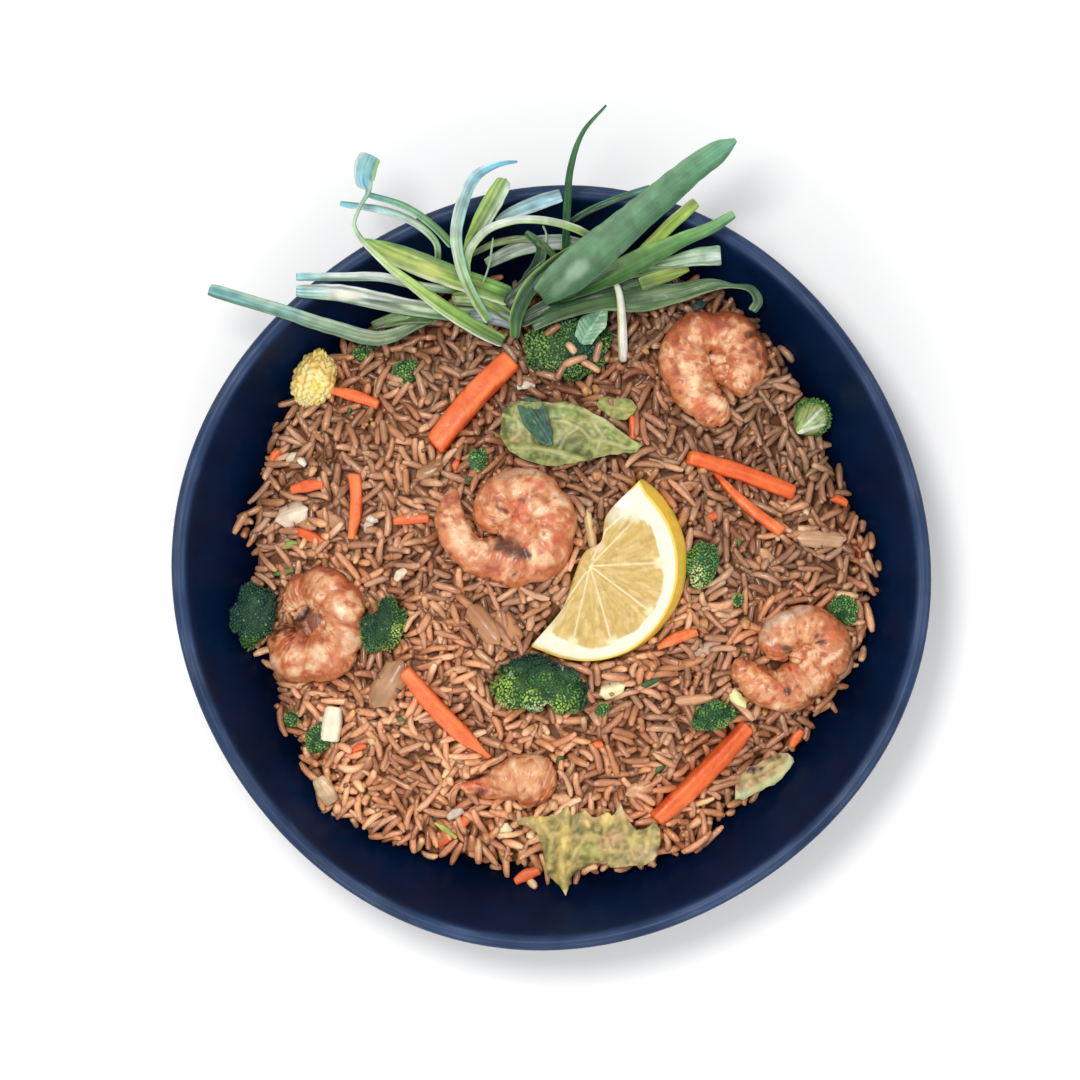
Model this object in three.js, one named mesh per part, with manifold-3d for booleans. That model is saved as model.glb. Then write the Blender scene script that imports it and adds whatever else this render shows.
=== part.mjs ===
// Fried rice with prawns in a round glazed bowl.
// Millimetres, +Z up. The origin is the centre of the bowl's flat foot.
// +Y points to the side of the bowl where the spring-onion garnish hangs over the rim.
import * as THREE from "three";
import { mergeVertices } from "three/addons/utils/BufferGeometryUtils.js";
import Module from "manifold-3d";

const wasm = await Module();
wasm.setup();

// ---------------------------------------------------------------- bowl sizes
const SEGMENTS = 48; // facets round the bowl and the heap
const FOOT_RADIUS = 47; // flat disc the bowl stands on
const FLOOR_Z = 7; // top of the bowl's floor on the axis
const WALL = 5; // wall thickness
const LIP_RADIUS = 2.45; // rounding of the rim
const LIP_CENTRE = [117.55, 55.5]; // radius and height of the lip's centre
const INNER_END = [115.42, 56.8]; // where the inner wall meets the lip
const WALL_POWER = 3.8; // how late the wall turns up
const BOWL_RADIUS = 120; // mean radius over the rim
// the rim is thrown by hand: small harmonics of its radius, in millimetres
const RIM_COS = [0, -0.43, -0.26, 0.7];
const RIM_SIN = [0, 0.54, -0.34, -0.85];

// ---------------------------------------------------------------- heap sizes
const HEAP_RADIUS = 98.3; // mean radius of the rice heap
const HEAP_COS = [0.78, 0.48, -0.03, -1.23, 1.84, 1.15];
const HEAP_SIN = [-0.55, 1.25, 0.65, -1.45, -0.73, -1.32];
const HEAP_EDGE = 4.5; // height of the heap's edge above the bowl's wall
const HEAP_PEAK = 62; // height of the heap's middle
const HEAP_POWER = 2.4; // how late the heap falls off
const HEAP_GAP = 0.5; // between the rice and the glaze
const GAP = 0.4; // kept round every piece that sits in or on another

const harmonics = (cos, sin, a) =>
  cos.reduce((s, c, i) => s + c * Math.cos((i + 1) * a) + sin[i] * Math.sin((i + 1) * a), 0);
const smooth = (t) => {
  const c = Math.min(1, Math.max(0, t));
  return c * c * (3 - 2 * c);
};
// a list of key values spread evenly over 0..1, read smoothly at t
const keys = (list, t) => {
  const p = Math.min(0.999999, Math.max(0, t)) * (list.length - 1);
  const i = Math.floor(p);
  return list[i] + (list[i + 1] - list[i]) * smooth(p - i);
};
const rad = THREE.MathUtils.degToRad;

// ------------------------------------------------------------- bowl surfaces
const innerZ = (r) => FLOOR_Z + (INNER_END[1] - FLOOR_Z) * (r / INNER_END[0]) ** WALL_POWER;
const innerSlope = (r) =>
  Math.atan(
    (((INNER_END[1] - FLOOR_Z) * WALL_POWER) / INNER_END[0]) *
      (r / INNER_END[0]) ** (WALL_POWER - 1),
  );
const INNER_RADII = [0, 44, 66, 82, 94, 105, INNER_END[0]];
// height of the faceted inner wall, so that the rice can follow it exactly
const wallZ = (r) => {
  let i = 1;
  while (i < INNER_RADII.length - 1 && r > INNER_RADII[i]) i++;
  const [a, b] = [INNER_RADII[i - 1], INNER_RADII[i]];
  return innerZ(a) + ((innerZ(b) - innerZ(a)) * (r - a)) / (b - a);
};
// the rim's unevenness fades to a true circle at the foot
const outOfRound = (angle, z) =>
  1 + (harmonics(RIM_COS, RIM_SIN, angle) / BOWL_RADIUS) * smooth((z - 4) / 40);

// ------------------------------------------------------------- heap surface
const heapRadius = (a) => HEAP_RADIUS + harmonics(HEAP_COS, HEAP_SIN, a);
const lumps = (x, y) =>
  0.9 * Math.sin(0.11 * x + 0.7) * Math.cos(0.13 * y - 0.4) +
  0.6 * Math.sin(0.23 * x - 0.17 * y + 1.3) +
  0.4 * Math.sin(0.31 * y + 0.19 * x);
const heapZ = (x, y) => {
  const r = Math.hypot(x, y);
  const R = heapRadius(Math.atan2(y, x));
  const f = Math.min(1, r / R);
  const edge = wallZ(R) + HEAP_EDGE;
  return edge + (HEAP_PEAK - edge) * (1 - f ** HEAP_POWER) + lumps(x, y) * (1 - f ** 6);
};
const heapNormal = (x, y) => {
  const d = 4;
  return new THREE.Vector3(
    (heapZ(x - d, y) - heapZ(x + d, y)) / (2 * d),
    (heapZ(x, y - d) - heapZ(x, y + d)) / (2 * d),
    1,
  ).normalize();
};

// ---------------------------------------------------------- geometry helpers
// moves every vertex of a closed three.js geometry by a function, then merges
// shared vertices, drops collapsed faces and turns the faces outward
function shaped(geometry, move) {
  const p = geometry.attributes.position;
  const v = new THREE.Vector3();
  for (let i = 0; i < p.count; i++) {
    v.fromBufferAttribute(p, i);
    move(v);
    p.setXYZ(i, v.x, v.y, v.z);
  }
  geometry.deleteAttribute("normal");
  geometry.deleteAttribute("uv");
  const g = mergeVertices(geometry, 1e-4);
  const q = g.attributes.position;
  const faces = [];
  let volume = 0;
  const [a, b, c] = [new THREE.Vector3(), new THREE.Vector3(), new THREE.Vector3()];
  for (let i = 0; i < g.index.count; i += 3) {
    const t = [g.index.getX(i), g.index.getX(i + 1), g.index.getX(i + 2)];
    if (t[0] === t[1] || t[1] === t[2] || t[2] === t[0]) continue;
    faces.push(t);
    a.fromBufferAttribute(q, t[0]);
    b.fromBufferAttribute(q, t[1]);
    c.fromBufferAttribute(q, t[2]);
    volume += a.dot(b.cross(c));
  }
  g.setIndex(faces.flatMap((t) => (volume < 0 ? [t[0], t[2], t[1]] : t)));
  return g;
}

function solidOf(geometry, matrix) {
  const g = geometry.clone();
  if (matrix) g.applyMatrix4(matrix);
  return new wasm.Manifold(
    new wasm.Mesh({
      numProp: 3,
      vertProperties: new Float32Array(g.attributes.position.array),
      triVerts: new Uint32Array(g.index.array),
    }),
  );
}

function geometryOf(solid) {
  const m = solid.getMesh();
  const position = new Float32Array(m.numVert * 3);
  for (let i = 0; i < m.numVert; i++)
    position.set(m.vertProperties.subarray(i * m.numProp, i * m.numProp + 3), i * 3);
  return new THREE.BufferGeometry()
    .setAttribute("position", new THREE.BufferAttribute(position, 3))
    .setIndex(new THREE.BufferAttribute(new Uint32Array(m.triVerts), 1));
}

const largest = (solid) =>
  solid.decompose().reduce((best, s) => (s.volume() > best.volume() ? s : best));

// a lathe whose profile is [radius, height] pairs, turned so that +Z is up
const lathe = (profile, move) =>
  shaped(
    new THREE.LatheGeometry(
      profile.map(([r, z]) => new THREE.Vector2(r, z)),
      SEGMENTS,
    ),
    (v) => {
      v.set(v.x, -v.z, v.y);
      move(v);
    },
  );

// ------------------------------------------------------------ kinds of piece
// Each maker returns a geometry about the origin, lying in XY with +Z up, and
// grown on all sides by g.

// a prawn: a fat section swept along a curled centreline; each point of the line is
// [x, y, half width], and height is the section's height over its width
const PINHOLE = 1.5;
const prawn =
  ({ line, height, curled = true, ring = 8, steps = 14 }) =>
  (g) => {
    const path = new THREE.CatmullRomCurve3(line.map(([x, y]) => new THREE.Vector3(x, y, 0)));
    return shaped(new THREE.SphereGeometry(1, ring, steps), (v) => {
      const pole = Math.acos(Math.min(1, Math.max(-1, v.y))) / Math.PI;
      const s = Math.hypot(v.x, v.z);
      const [cu, su] = s > 1e-5 ? [v.x / s, v.z / s] : [0, 0];
      const t = 0.6 * pole + 0.4 * (0.5 - 0.5 * Math.cos(Math.PI * pole));
      const round = s > 1e-5 ? Math.sqrt(Math.max(0, 1 - Math.abs(2 * t - 1) ** 8)) : 0;
      const at = path.getPoint(t);
      const along = path.getTangent(t);
      const half = keys(
        line.map((q) => q[2]),
        t,
      );
      // the inner side of a curl stops just short of the curl's middle
      const inner = cu < 0 && curled ? at.length() - PINHOLE + 1.4 * g : Infinity;
      const w = Math.min(half + g, inner) * round * cu;
      const grip = g * Math.sign(t - 0.5) * smooth((Math.abs(2 * t - 1) - 0.6) / 0.25);
      v.set(
        at.x + along.y * w + along.x * grip,
        at.y - along.x * w + along.y * grip,
        (half * height + g) * round * su,
      );
    });
  };
// centreline points given as [degrees, radius, half width] round the curl's middle
const curl = (turns) =>
  turns.map(([a, r, w]) => [r * Math.cos(rad(a)), r * Math.sin(rad(a)), w]);

// a broccoli floret: a lumpy dome over a narrower underside
const floret =
  ({ rx, ry, rz, lumpy = 0.13, seed = 0, ring = 9, steps = 7 }) =>
  (g) =>
    shaped(new THREE.SphereGeometry(1, ring, steps), (v) => {
      const a = Math.atan2(v.z, v.x);
      const b = Math.acos(Math.min(1, Math.max(-1, v.y)));
      const k = 1 + lumpy * Math.sin(3 * a + seed) * Math.sin(3 * b) * Math.sin(b);
      const up = v.y;
      const tuck = up < 0 ? 1 + 0.35 * up : 1;
      v.set(v.x * k * tuck * (rx + g), -v.z * k * tuck * (ry + g), up * k * (rz + g));
    });

// a cut strip, block or flake: a box, bent and tapered along its length
const strip =
  ({ length, width, thick, bend = 0, sag = 0, taper = [1, 1], skew = 0, parts = 4 }) =>
  (g) =>
    shaped(new THREE.BoxGeometry(1, 1, 1, parts, 1, 1), (v) => {
      const t = v.x + 0.5;
      const k = keys(taper, t);
      const arc = 1 - 4 * v.x * v.x;
      const y = v.y * (width * k + 2 * g);
      v.set(
        v.x * (length + 2 * g) + skew * v.y * width,
        y + bend * arc,
        v.z * (thick * Math.sqrt(k) + 2 * g) + sag * arc,
      );
    });

// a soft leaf: a thin wavy sheet with an uneven outline
const leaf =
  ({ length, width, thick = 1.1, wave = 1.6, curl = 2, seed = 0, nx = 7, ny = 3, outline }) =>
  (g) =>
    shaped(new THREE.BoxGeometry(1, 1, 1, nx, ny, 1), (v) => {
      const t = v.x + 0.5;
      const k = keys(outline, t);
      const z =
        wave * Math.sin(0.42 * length * v.x + seed) * Math.cos(0.5 * width * v.y + seed) +
        curl * (4 * v.y * v.y - 0.5) * k;
      const y = v.y * (width * k + 2 * g) + 0.04 * width * Math.sin(5 * t + seed);
      v.set(v.x * (length + 2 * g), y, z + v.z * (thick + 2 * g));
    });

// a spring-onion strip: a ribbon along a curve; each point is [x, y, z, width]
const ribbon =
  ({ points, thick = 0.9, steps = 12, fold = 0 }) =>
  (g) => {
    const path = new THREE.CatmullRomCurve3(points.map(([x, y, z]) => new THREE.Vector3(x, y, z)));
    const widths = new THREE.CatmullRomCurve3(
      points.map((p, i) => new THREE.Vector3(p[3], 10 * i, 0)),
    );
    return shaped(new THREE.BoxGeometry(1, 1, 1, steps, 1, 1), (v) => {
      const t = v.x + 0.5;
      const at = path.getPoint(t);
      const along = path.getTangent(t);
      const side = new THREE.Vector3(-along.y, along.x, 0).normalize();
      const up = new THREE.Vector3().crossVectors(along, side);
      if (fold) side.applyAxisAngle(along, fold), up.applyAxisAngle(along, fold);
      const w = Math.max(0.7, widths.getPoint(t).x);
      at.addScaledVector(side, v.y * (w + 2 * g)).addScaledVector(up, v.z * (thick + 2 * g));
      if (t < 1e-6 || t > 1 - 1e-6) at.addScaledVector(along, t < 0.5 ? -g : g);
      v.copy(at);
    });
  };

// the half slice of lemon: a half disc, narrower at its cut face so that its rind shows
const LEMON_RADIUS = 31.7;
const LEMON_THICK = 9;
const LEMON_TAPER = [0.9, 2.5]; // least rind showing, and how much more on one side
const LEMON_TAPER_HEADING = rad(62); // from the slice's own middle line
const lemonHalf = (g) => {
  const outline = new THREE.Shape();
  const R = LEMON_RADIUS + g;
  outline.moveTo(-g, -R);
  outline.lineTo(0, -R);
  outline.absarc(0, 0, R, -Math.PI / 2, Math.PI / 2, false);
  outline.lineTo(-g, R);
  outline.lineTo(-2.6 - g, 16);
  outline.lineTo(0.4 - g, 8.5);
  outline.lineTo(-2 - g, 3);
  outline.lineTo(-0.5 - g, -6);
  outline.lineTo(1.8 - g, -15);
  outline.closePath();
  const geometry = new THREE.ExtrudeGeometry(outline, {
    depth: 1,
    bevelEnabled: false,
    curveSegments: 20,
  });
  return shaped(geometry, (v) => {
    const r = Math.hypot(v.x, v.y);
    const a = Math.atan2(v.y, v.x);
    if (r > 0.9 * LEMON_RADIUS) {
      const taper =
        LEMON_TAPER[0] + LEMON_TAPER[1] * Math.max(0, Math.cos(a - LEMON_TAPER_HEADING));
      v.x -= v.z * taper * Math.cos(a);
      v.y -= v.z * taper * Math.sin(a);
    }
    v.z = (v.z - 1) * (LEMON_THICK + 2 * g) + g;
  });
};

// ------------------------------------------------------------------ the part
const part = new THREE.Group();
const placed = [];

const COLOURS = {
  glaze: [0x0b1a38, 0.18],
  rice: [0xb98a66, 0.6],
  prawn: [0xe6a878, 0.4],
  lemon: [0xf1dc8a, 0.35],
  carrot: [0xee6a3a, 0.4],
  broccoli: [0x35602e, 0.65],
  corn: [0xf0d272, 0.5],
  lettuce: [0xb0b95c, 0.45],
  cabbage: [0xcdd6a8, 0.45],
  onion: [0xd8bf9c, 0.35],
  green: [0x5f9a58, 0.4],
  pale: [0xc9ddd0, 0.4],
};

function mesh(name, geometry, colour) {
  const [color, roughness] = COLOURS[colour];
  const g = geometry.index ? geometry.toNonIndexed() : geometry;
  g.computeVertexNormals();
  const m = new THREE.Mesh(
    g,
    new THREE.MeshStandardMaterial({ color, roughness, metalness: 0, flatShading: true }),
  );
  m.name = name;
  return m;
}

// Sets a piece in place, cut clear of every piece that was set before it.
function set(name, colour, make, matrix = new THREE.Matrix4()) {
  let solid = solidOf(make(0), matrix);
  let cut = false;
  for (const other of [keepOut, ...placed]) {
    if (solid.intersect(other).volume() > 1e-4) {
      solid = solid.subtract(other);
      cut = true;
    }
  }
  if (cut) solid = largest(solid);
  placed.push(solidOf(make(GAP), matrix));
  const inverse = matrix.clone().invert();
  const m = mesh(name, cut ? geometryOf(solid).applyMatrix4(inverse) : make(0), colour);
  matrix.decompose(m.position, m.quaternion, m.scale);
  part.add(m);
}

// where a piece lies on the rice: heading in degrees, lift above the surface,
// lean is how far it follows the slope, roll turns it about its own length
function onRice(x, y, { heading = 0, lift = 0, lean = 0.8, roll = 0, pitch = 0 } = {}) {
  const normal = heapNormal(x, y).lerp(new THREE.Vector3(0, 0, 1), 1 - lean).normalize();
  const turn = new THREE.Quaternion()
    .setFromUnitVectors(new THREE.Vector3(0, 0, 1), normal)
    .multiply(new THREE.Quaternion().setFromAxisAngle(new THREE.Vector3(0, 0, 1), rad(heading)))
    .multiply(
      new THREE.Quaternion().setFromEuler(new THREE.Euler(rad(roll), rad(pitch), 0, "XYZ")),
    );
  const at = new THREE.Vector3(x, y, heapZ(x, y) + lift);
  return new THREE.Matrix4().compose(at, turn, new THREE.Vector3(1, 1, 1));
}

// the bowl's wall with its gap: pieces at the heap's edge end against it
const wallKeepOut = lathe(
  [
    [0, -9],
    [150, -9],
    [150, 64],
    ...[INNER_END[0], ...INNER_RADII.slice(1, -1).reverse()].map((r) => [
      r - (GAP + 0.1) * Math.sin(innerSlope(r)),
      innerZ(r) + (GAP + 0.1) * Math.cos(innerSlope(r)),
    ]),
    [0, FLOOR_Z + GAP],
  ],
  (v) => {
    const a = Math.atan2(v.y, v.x);
    const k = outOfRound(a, v.z);
    v.set(v.x * k, v.y * k, v.z);
  },
);
const keepOut = solidOf(wallKeepOut);

// ---- spring-onion strips, [x, y, z, width] along each; tips hang free past the rim
const STRIPS = {
  onion_strip_west: [[-107.9, 88, 68, 4.3], [-84.7, 81.2, 60.2, 4.4], [-69.1, 76.3, 56, 4.7], [-54.6, 73.2, 52, 4.7], [-42, 77.8, 50, 2.8], [-36.6, 79.7, 49.5, 1.9]],
  onion_strip_pale_upper: [[-80.8, 92.2, 61.2, 2.6], [-67, 92.3, 59.8, 2.7], [-54.4, 92.3, 57.3, 3], [-41.9, 89.6, 54.8, 2.8], [-28.6, 88.1, 53, 2.5]],
  onion_strip_pale_lower: [[-80.8, 87.8, 61, 3.8], [-67, 87.1, 59.4, 5.4], [-54.4, 84.7, 56.6, 5.7], [-41.9, 82.4, 54, 5.1], [-29.2, 80.9, 51.6, 4.7], [-15.6, 80.9, 50.5, 5.1]],
  onion_strip_folded: [[-54.4, 127.5, 82, 4.7], [-58.2, 118.7, 77, 1.6], [-61.2, 113.2, 73, 1.3], [-62.2, 107.5, 70, 1.6], [-53, 96.8, 65, 2.5], [-41.7, 88, 61.8, 3.8], [-30.7, 80.3, 58.4, 4.7], [-22.8, 75.7, 55.8, 4.7], [-15.5, 72, 53.4, 4.1]],
  onion_strip_left_low: [[-66.8, 115.2, 64.6, 1.9], [-52.1, 112.9, 61.4, 2.5], [-42.4, 108.7, 59.7, 2.5], [-36.7, 103.1, 58, 2.2], [-36.1, 97.2, 55.5, 1.9]],
  onion_strip_left_high: [[-58.4, 118, 68.5, 1.9], [-45.7, 114, 63.6, 2.2], [-36.9, 107.8, 59.8, 2.5], [-31.7, 102.3, 57.4, 2.5]],
  onion_leaf_lime: [[-59.4, 103.4, 61, 2.5], [-51.2, 100, 60.6, 6.3], [-41.7, 96.3, 59.6, 7.6], [-29.8, 91.7, 58, 7], [-19.6, 88.3, 56, 7], [-13.6, 86.2, 54.5, 6.3]],
  onion_strip_crook: [[-10.9, 126.9, 90, 0.8], [-16.8, 126.1, 89, 1.9], [-23.8, 122.6, 86, 3.5], [-28.2, 114.1, 80, 4], [-30.1, 104.7, 74.5, 3.8], [-28.6, 94.7, 69, 3.5], [-24.6, 85.4, 64, 3.2], [-20, 78.3, 60.4, 2.8]],
  onion_leaf_double: [[-14.7, 121.4, 84, 5.1], [-18.8, 114.5, 79, 6.3], [-23.5, 106.5, 71.5, 5.1], [-27.4, 99.3, 64.5, 2.2], [-28.5, 94.4, 61, 1.9]],
  onion_strip_arch: [[-26.6, 91.8, 61.4, 1.9], [-26.8, 96.7, 66.3, 2.4], [-25.1, 101.4, 71, 2.5], [-19.4, 106.8, 77.3, 2.5], [-10.7, 109.3, 79, 2.5], [-0.7, 108.9, 78, 2.5], [7.1, 106.9, 74, 2.5], [12.5, 104.4, 69.3, 2.2]],
  onion_strip_blue: [[2.8, 118, 60.9, 4.4], [-5.4, 115.4, 59.8, 4.7], [-13.3, 112.1, 57.8, 4.1], [-17.4, 109.6, 56.4, 2.8]],
  onion_leaf_broad: [[57, 133.5, 92, 1.6], [51.7, 130.1, 90, 7], [43, 124, 86, 8.5], [32.5, 115.4, 81, 9.8], [22.9, 107.5, 77, 10.8], [13.5, 99.4, 73, 12.6], [4.1, 91.9, 67.5, 12], [-3.8, 86.1, 62.5, 7]],
  onion_strip_behind: [[30.9, 120.4, 62.4, 1.9], [21.5, 117.3, 60.2, 2.2], [12, 113.4, 58.8, 2.2], [6, 110, 57.4, 1.9]],
  onion_stub_lime: [[45.4, 115.6, 65.4, 3.8], [37.6, 108.8, 62.9, 4.1], [31.4, 102.8, 60.9, 3.8], [25.6, 97.6, 59.2, 3]],
  onion_leaf_east: [[57, 111.3, 75, 2.8], [50.2, 107.3, 73, 3.8], [41.2, 103.7, 70, 4.7], [31.5, 99.2, 67, 6.6], [20.7, 93.9, 63.5, 7.3], [11.4, 89.4, 59.6, 5.1], [2.5, 85.2, 56, 2.5]],
  onion_leaf_mint: [[53.3, 99.1, 59.9, 6.6], [45.1, 98.5, 59.7, 5.4], [33.2, 96.3, 60.2, 1.6]],
  onion_leaf_under: [[43.3, 94.9, 56.4, 1.6], [36.6, 93, 57, 4.1], [27.8, 90.1, 57.5, 4.7]],
  onion_leaf_curl: [[-6, 76.1, 59.4, 2.2], [2.5, 80.3, 59, 3.5], [15.1, 83.8, 57, 4.4], [27.8, 85.2, 55.6, 7.9], [39.8, 87.4, 55.6, 6.3], [50.7, 89.9, 56, 4.1], [57.5, 89.6, 56.5, 1.6], [63, 88.6, 55.5, 2.5], [65.2, 84.9, 54, 3.2], [63.4, 81.8, 52.5, 2.8]],
  onion_leaf_channel: [[15, 104.6, 66.5, 2.5], [7.6, 100.6, 64, 3.8], [-1, 94.7, 62, 5.1], [-7.6, 88.1, 60.4, 5.1], [-11.1, 80.6, 58.4, 4.4], [-12, 73.1, 56.6, 2.8]],
  onion_stem_north: [[16.7, 144.1, 94, 0.8], [9.7, 136.4, 88, 1.4], [5.9, 126.3, 80, 2.1], [4.7, 114.4, 70, 2.5], [4.4, 105.3, 63, 2.5], [4.1, 98.7, 58.4, 2.2]],
  onion_leaf_crescent: [[-8.3, 106.4, 61, 1.9], [-3.5, 101.7, 59, 3.2], [-4.8, 96.4, 57.2, 3.5], [-8.9, 91.8, 56, 2.2]],
  onion_strip_white: [[19.7, 91.3, 60.4, 1.6], [21.2, 87.3, 59, 2.2], [22.1, 79.4, 57.4, 2.8], [22.4, 71.2, 55, 3.2], [22.5, 65.7, 53, 2.8]],
};
const PALE = /pale|mint|white|arch|blue|west/;
for (const [name, points] of Object.entries(STRIPS))
  set(name, PALE.test(name) ? "pale" : "green", ribbon({ points, steps: Math.round(1.3 * points.length) }));

// ---- lemon, leaning a little on the rice
const LEMON_AT = [10.1, 1.9, 64.8];
const LEMON_HEADING = rad(-33.6);
const LEMON_TILT = rad(8); // raised towards the side where the rind shows
const LEMON_TILT_HEADING = rad(25);
set(
  "lemon_slice",
  "lemon",
  lemonHalf,
  new THREE.Matrix4().compose(
    new THREE.Vector3(...LEMON_AT),
    new THREE.Quaternion()
      .setFromAxisAngle(
        new THREE.Vector3(-Math.sin(LEMON_TILT_HEADING), Math.cos(LEMON_TILT_HEADING), 0),
        -LEMON_TILT,
      )
      .multiply(
        new THREE.Quaternion().setFromAxisAngle(new THREE.Vector3(0, 0, 1), LEMON_HEADING),
      ),
    new THREE.Vector3(1, 1, 1),
  ),
);

// ---- prawns, curled flat on their sides
const PRAWNS = {
  prawn_centre: [
    -9.5, 13.1, 1.6,
    { line: curl([[150, 25, 4.2], [176, 22.6, 5.8], [203, 18.6, 5.4], [232, 12.6, 7.4], [268, 10.3, 8.7], [310, 9.4, 8.7], [352, 9, 8.4], [394, 9.3, 8.6], [436, 9.8, 8.9], [478, 10, 8.9], [518, 9.2, 7.9], [556, 7.4, 5.6]]), height: 0.82 },
  ],
  prawn_north_east: [
    51, 67.1, 1.6,
    { line: curl([[-70, 10, 8], [-34, 9.6, 8.8], [8, 9.1, 8.4], [46, 8.7, 8], [86, 7.8, 6.8], [126, 8.4, 7.4], [166, 9, 8.1], [204, 9.6, 8.1], [236, 11.6, 7.3], [258, 14.8, 6.7], [273, 17.6, 6.2], [285, 20, 5]]), height: 0.86 },
  ],
  prawn_west: [
    -75.5, -17.7, 2.2,
    { line: curl([[-179, 12, 6.4], [-152, 11.4, 8.4], [-124, 11, 9.2], [-88, 10, 8.5], [-54, 10.2, 8.2], [-26, 10.2, 7.6], [0, 10.4, 7], [26, 10.9, 8], [52, 11.4, 7.8], [80, 11.4, 7.2], [108, 11.4, 6], [136, 11, 4.4], [160, 10.8, 3.2]]), height: 0.88 },
  ],
  prawn_east: [
    79.7, -26.1, 2,
    { line: curl([[185, 21.4, 3.4], [198, 20, 5.2], [214, 18, 5.7], [234, 15.6, 6.6], [256, 11.8, 7.8], [286, 8.6, 7.5], [322, 8, 7.2], [360, 8.1, 7.3], [400, 8.1, 7.3], [440, 7.9, 7], [480, 8.1, 7.3], [520, 8.6, 7.6], [560, 8.4, 6.4]]), height: 0.92 },
  ],
  prawn_south: [
    -9.1, -67.8, 0.4,
    { line: [[-21.3, -0.6, 0.6], [-16.9, -1.3, 2.4], [-11.6, -1.4, 3.8], [-6.3, 0.2, 6.2], [-1, 1.2, 8.4], [4.4, 0, 9], [10, -2.4, 7]], height: 0.78, curled: false, ring: 9, steps: 11 },
  ],
};
for (const [name, [x, y, lift, shape]] of Object.entries(PRAWNS))
  set(name, "prawn", prawn(shape), onRice(x, y, { lift, lean: 0.85 }));

// ---- carrot sticks
const CARROTS = {
  carrot_north: [-24.9, 52.5, -130.6, 1.6, { length: 37.4, width: 7.6, thick: 6, bend: -1, sag: 0.8, taper: [0.95, 1, 0.95], skew: 0.1 }],
  carrot_east_thick: [59.8, 29.7, -17.5, 1, { length: 37.9, width: 5.1, thick: 5, bend: 0.6, sag: 0.8, taper: [0.9, 1, 1] }],
  carrot_east_thin: [62, 21.4, -43.6, 3.6, { length: 29.7, width: 3.1, thick: 3.2, bend: -1.4, sag: 0.6, taper: [0.5, 1, 1.1] }, -8],
  carrot_south_west: [-33.2, -45.7, -46, 1.4, { length: 39.2, width: 5.8, thick: 5, bend: -1.3, sag: 0.6, taper: [0.75, 1, 0.95, 0.25] }],
  carrot_south_east: [47.5, -64.7, -136.2, 1.6, { length: 42.5, width: 6, thick: 5.4, bend: 0.8, sag: 0.8, taper: [0.8, 1, 1, 0.8] }],
  carrot_small_west: [-63.2, 19.9, -93.6, 0.8, { length: 20.9, width: 3.9, thick: 3.4, bend: 1.2, taper: [1, 0.9, 0.6] }],
  carrot_small_north_west: [-63.1, 54.4, -18.1, 0.8, { length: 17.5, width: 3.8, thick: 3, bend: 0.6, taper: [0.5, 1, 0.8] }],
  carrot_small_middle: [39.6, -22.4, 22.1, 1.2, { length: 13.6, width: 3.6, thick: 3, bend: 0.8, taper: [0.4, 1, 0.6] }],
};
for (const [name, [x, y, heading, lift, shape, pitch = 0]] of Object.entries(CARROTS))
  set(name, "carrot", strip(shape), onRice(x, y, { heading, lift, pitch }));

// ---- broccoli florets
const BROCCOLI = {
  broccoli_north: [5, 70.2, 10, 2.4, { rx: 14.8, ry: 11.6, rz: 8, seed: 0.4, ring: 12, steps: 8 }],
  broccoli_middle: [-3.4, -37.2, -6, 0.4, { rx: 16.8, ry: 10.4, rz: 7.6, seed: 2.1, ring: 12, steps: 8 }],
  broccoli_west: [-95, -14.6, 80, 5.5, { rx: 11.2, ry: 7.6, rz: 7, seed: 1.2 }],
  broccoli_west_inner: [-53.4, -18, 70, 1.4, { rx: 9.8, ry: 7.6, rz: 6.4, seed: 3.3 }],
  broccoli_east_inner: [47.4, 1.4, 85, 1, { rx: 8.4, ry: 5.3, rz: 5.6, seed: 4.4 }],
  broccoli_north_east: [82, 47.6, 30, 4, { rx: 7.2, ry: 6.3, rz: 5.6, seed: 5.2 }],
  broccoli_east: [92.6, -13, -20, 1, { rx: 5.4, ry: 4.6, rz: 4.4, seed: 0.9, ring: 8, steps: 6 }],
  broccoli_south_east: [50.9, -46.5, 10, 1, { rx: 7.8, ry: 5, rz: 4.6, seed: 2.7 }],
  broccoli_south_west: [-74.3, -54.1, 70, 0.8, { rx: 5.2, ry: 4.1, rz: 4, seed: 1.8, ring: 8, steps: 6 }],
};
for (const [name, [x, y, heading, lift, shape]] of Object.entries(BROCCOLI))
  set(name, "broccoli", floret(shape), onRice(x, y, { heading, lift }));

// ---- a piece of baby corn, standing half out of the rice at the heap's edge
set(
  "baby_corn",
  "corn",
  floret({ rx: 9.4, ry: 7, rz: 6.4, lumpy: 0.08, seed: 1, ring: 10, steps: 7 }),
  onRice(-75.6, 60.4, { heading: 70, lift: 5 }),
);

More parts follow.
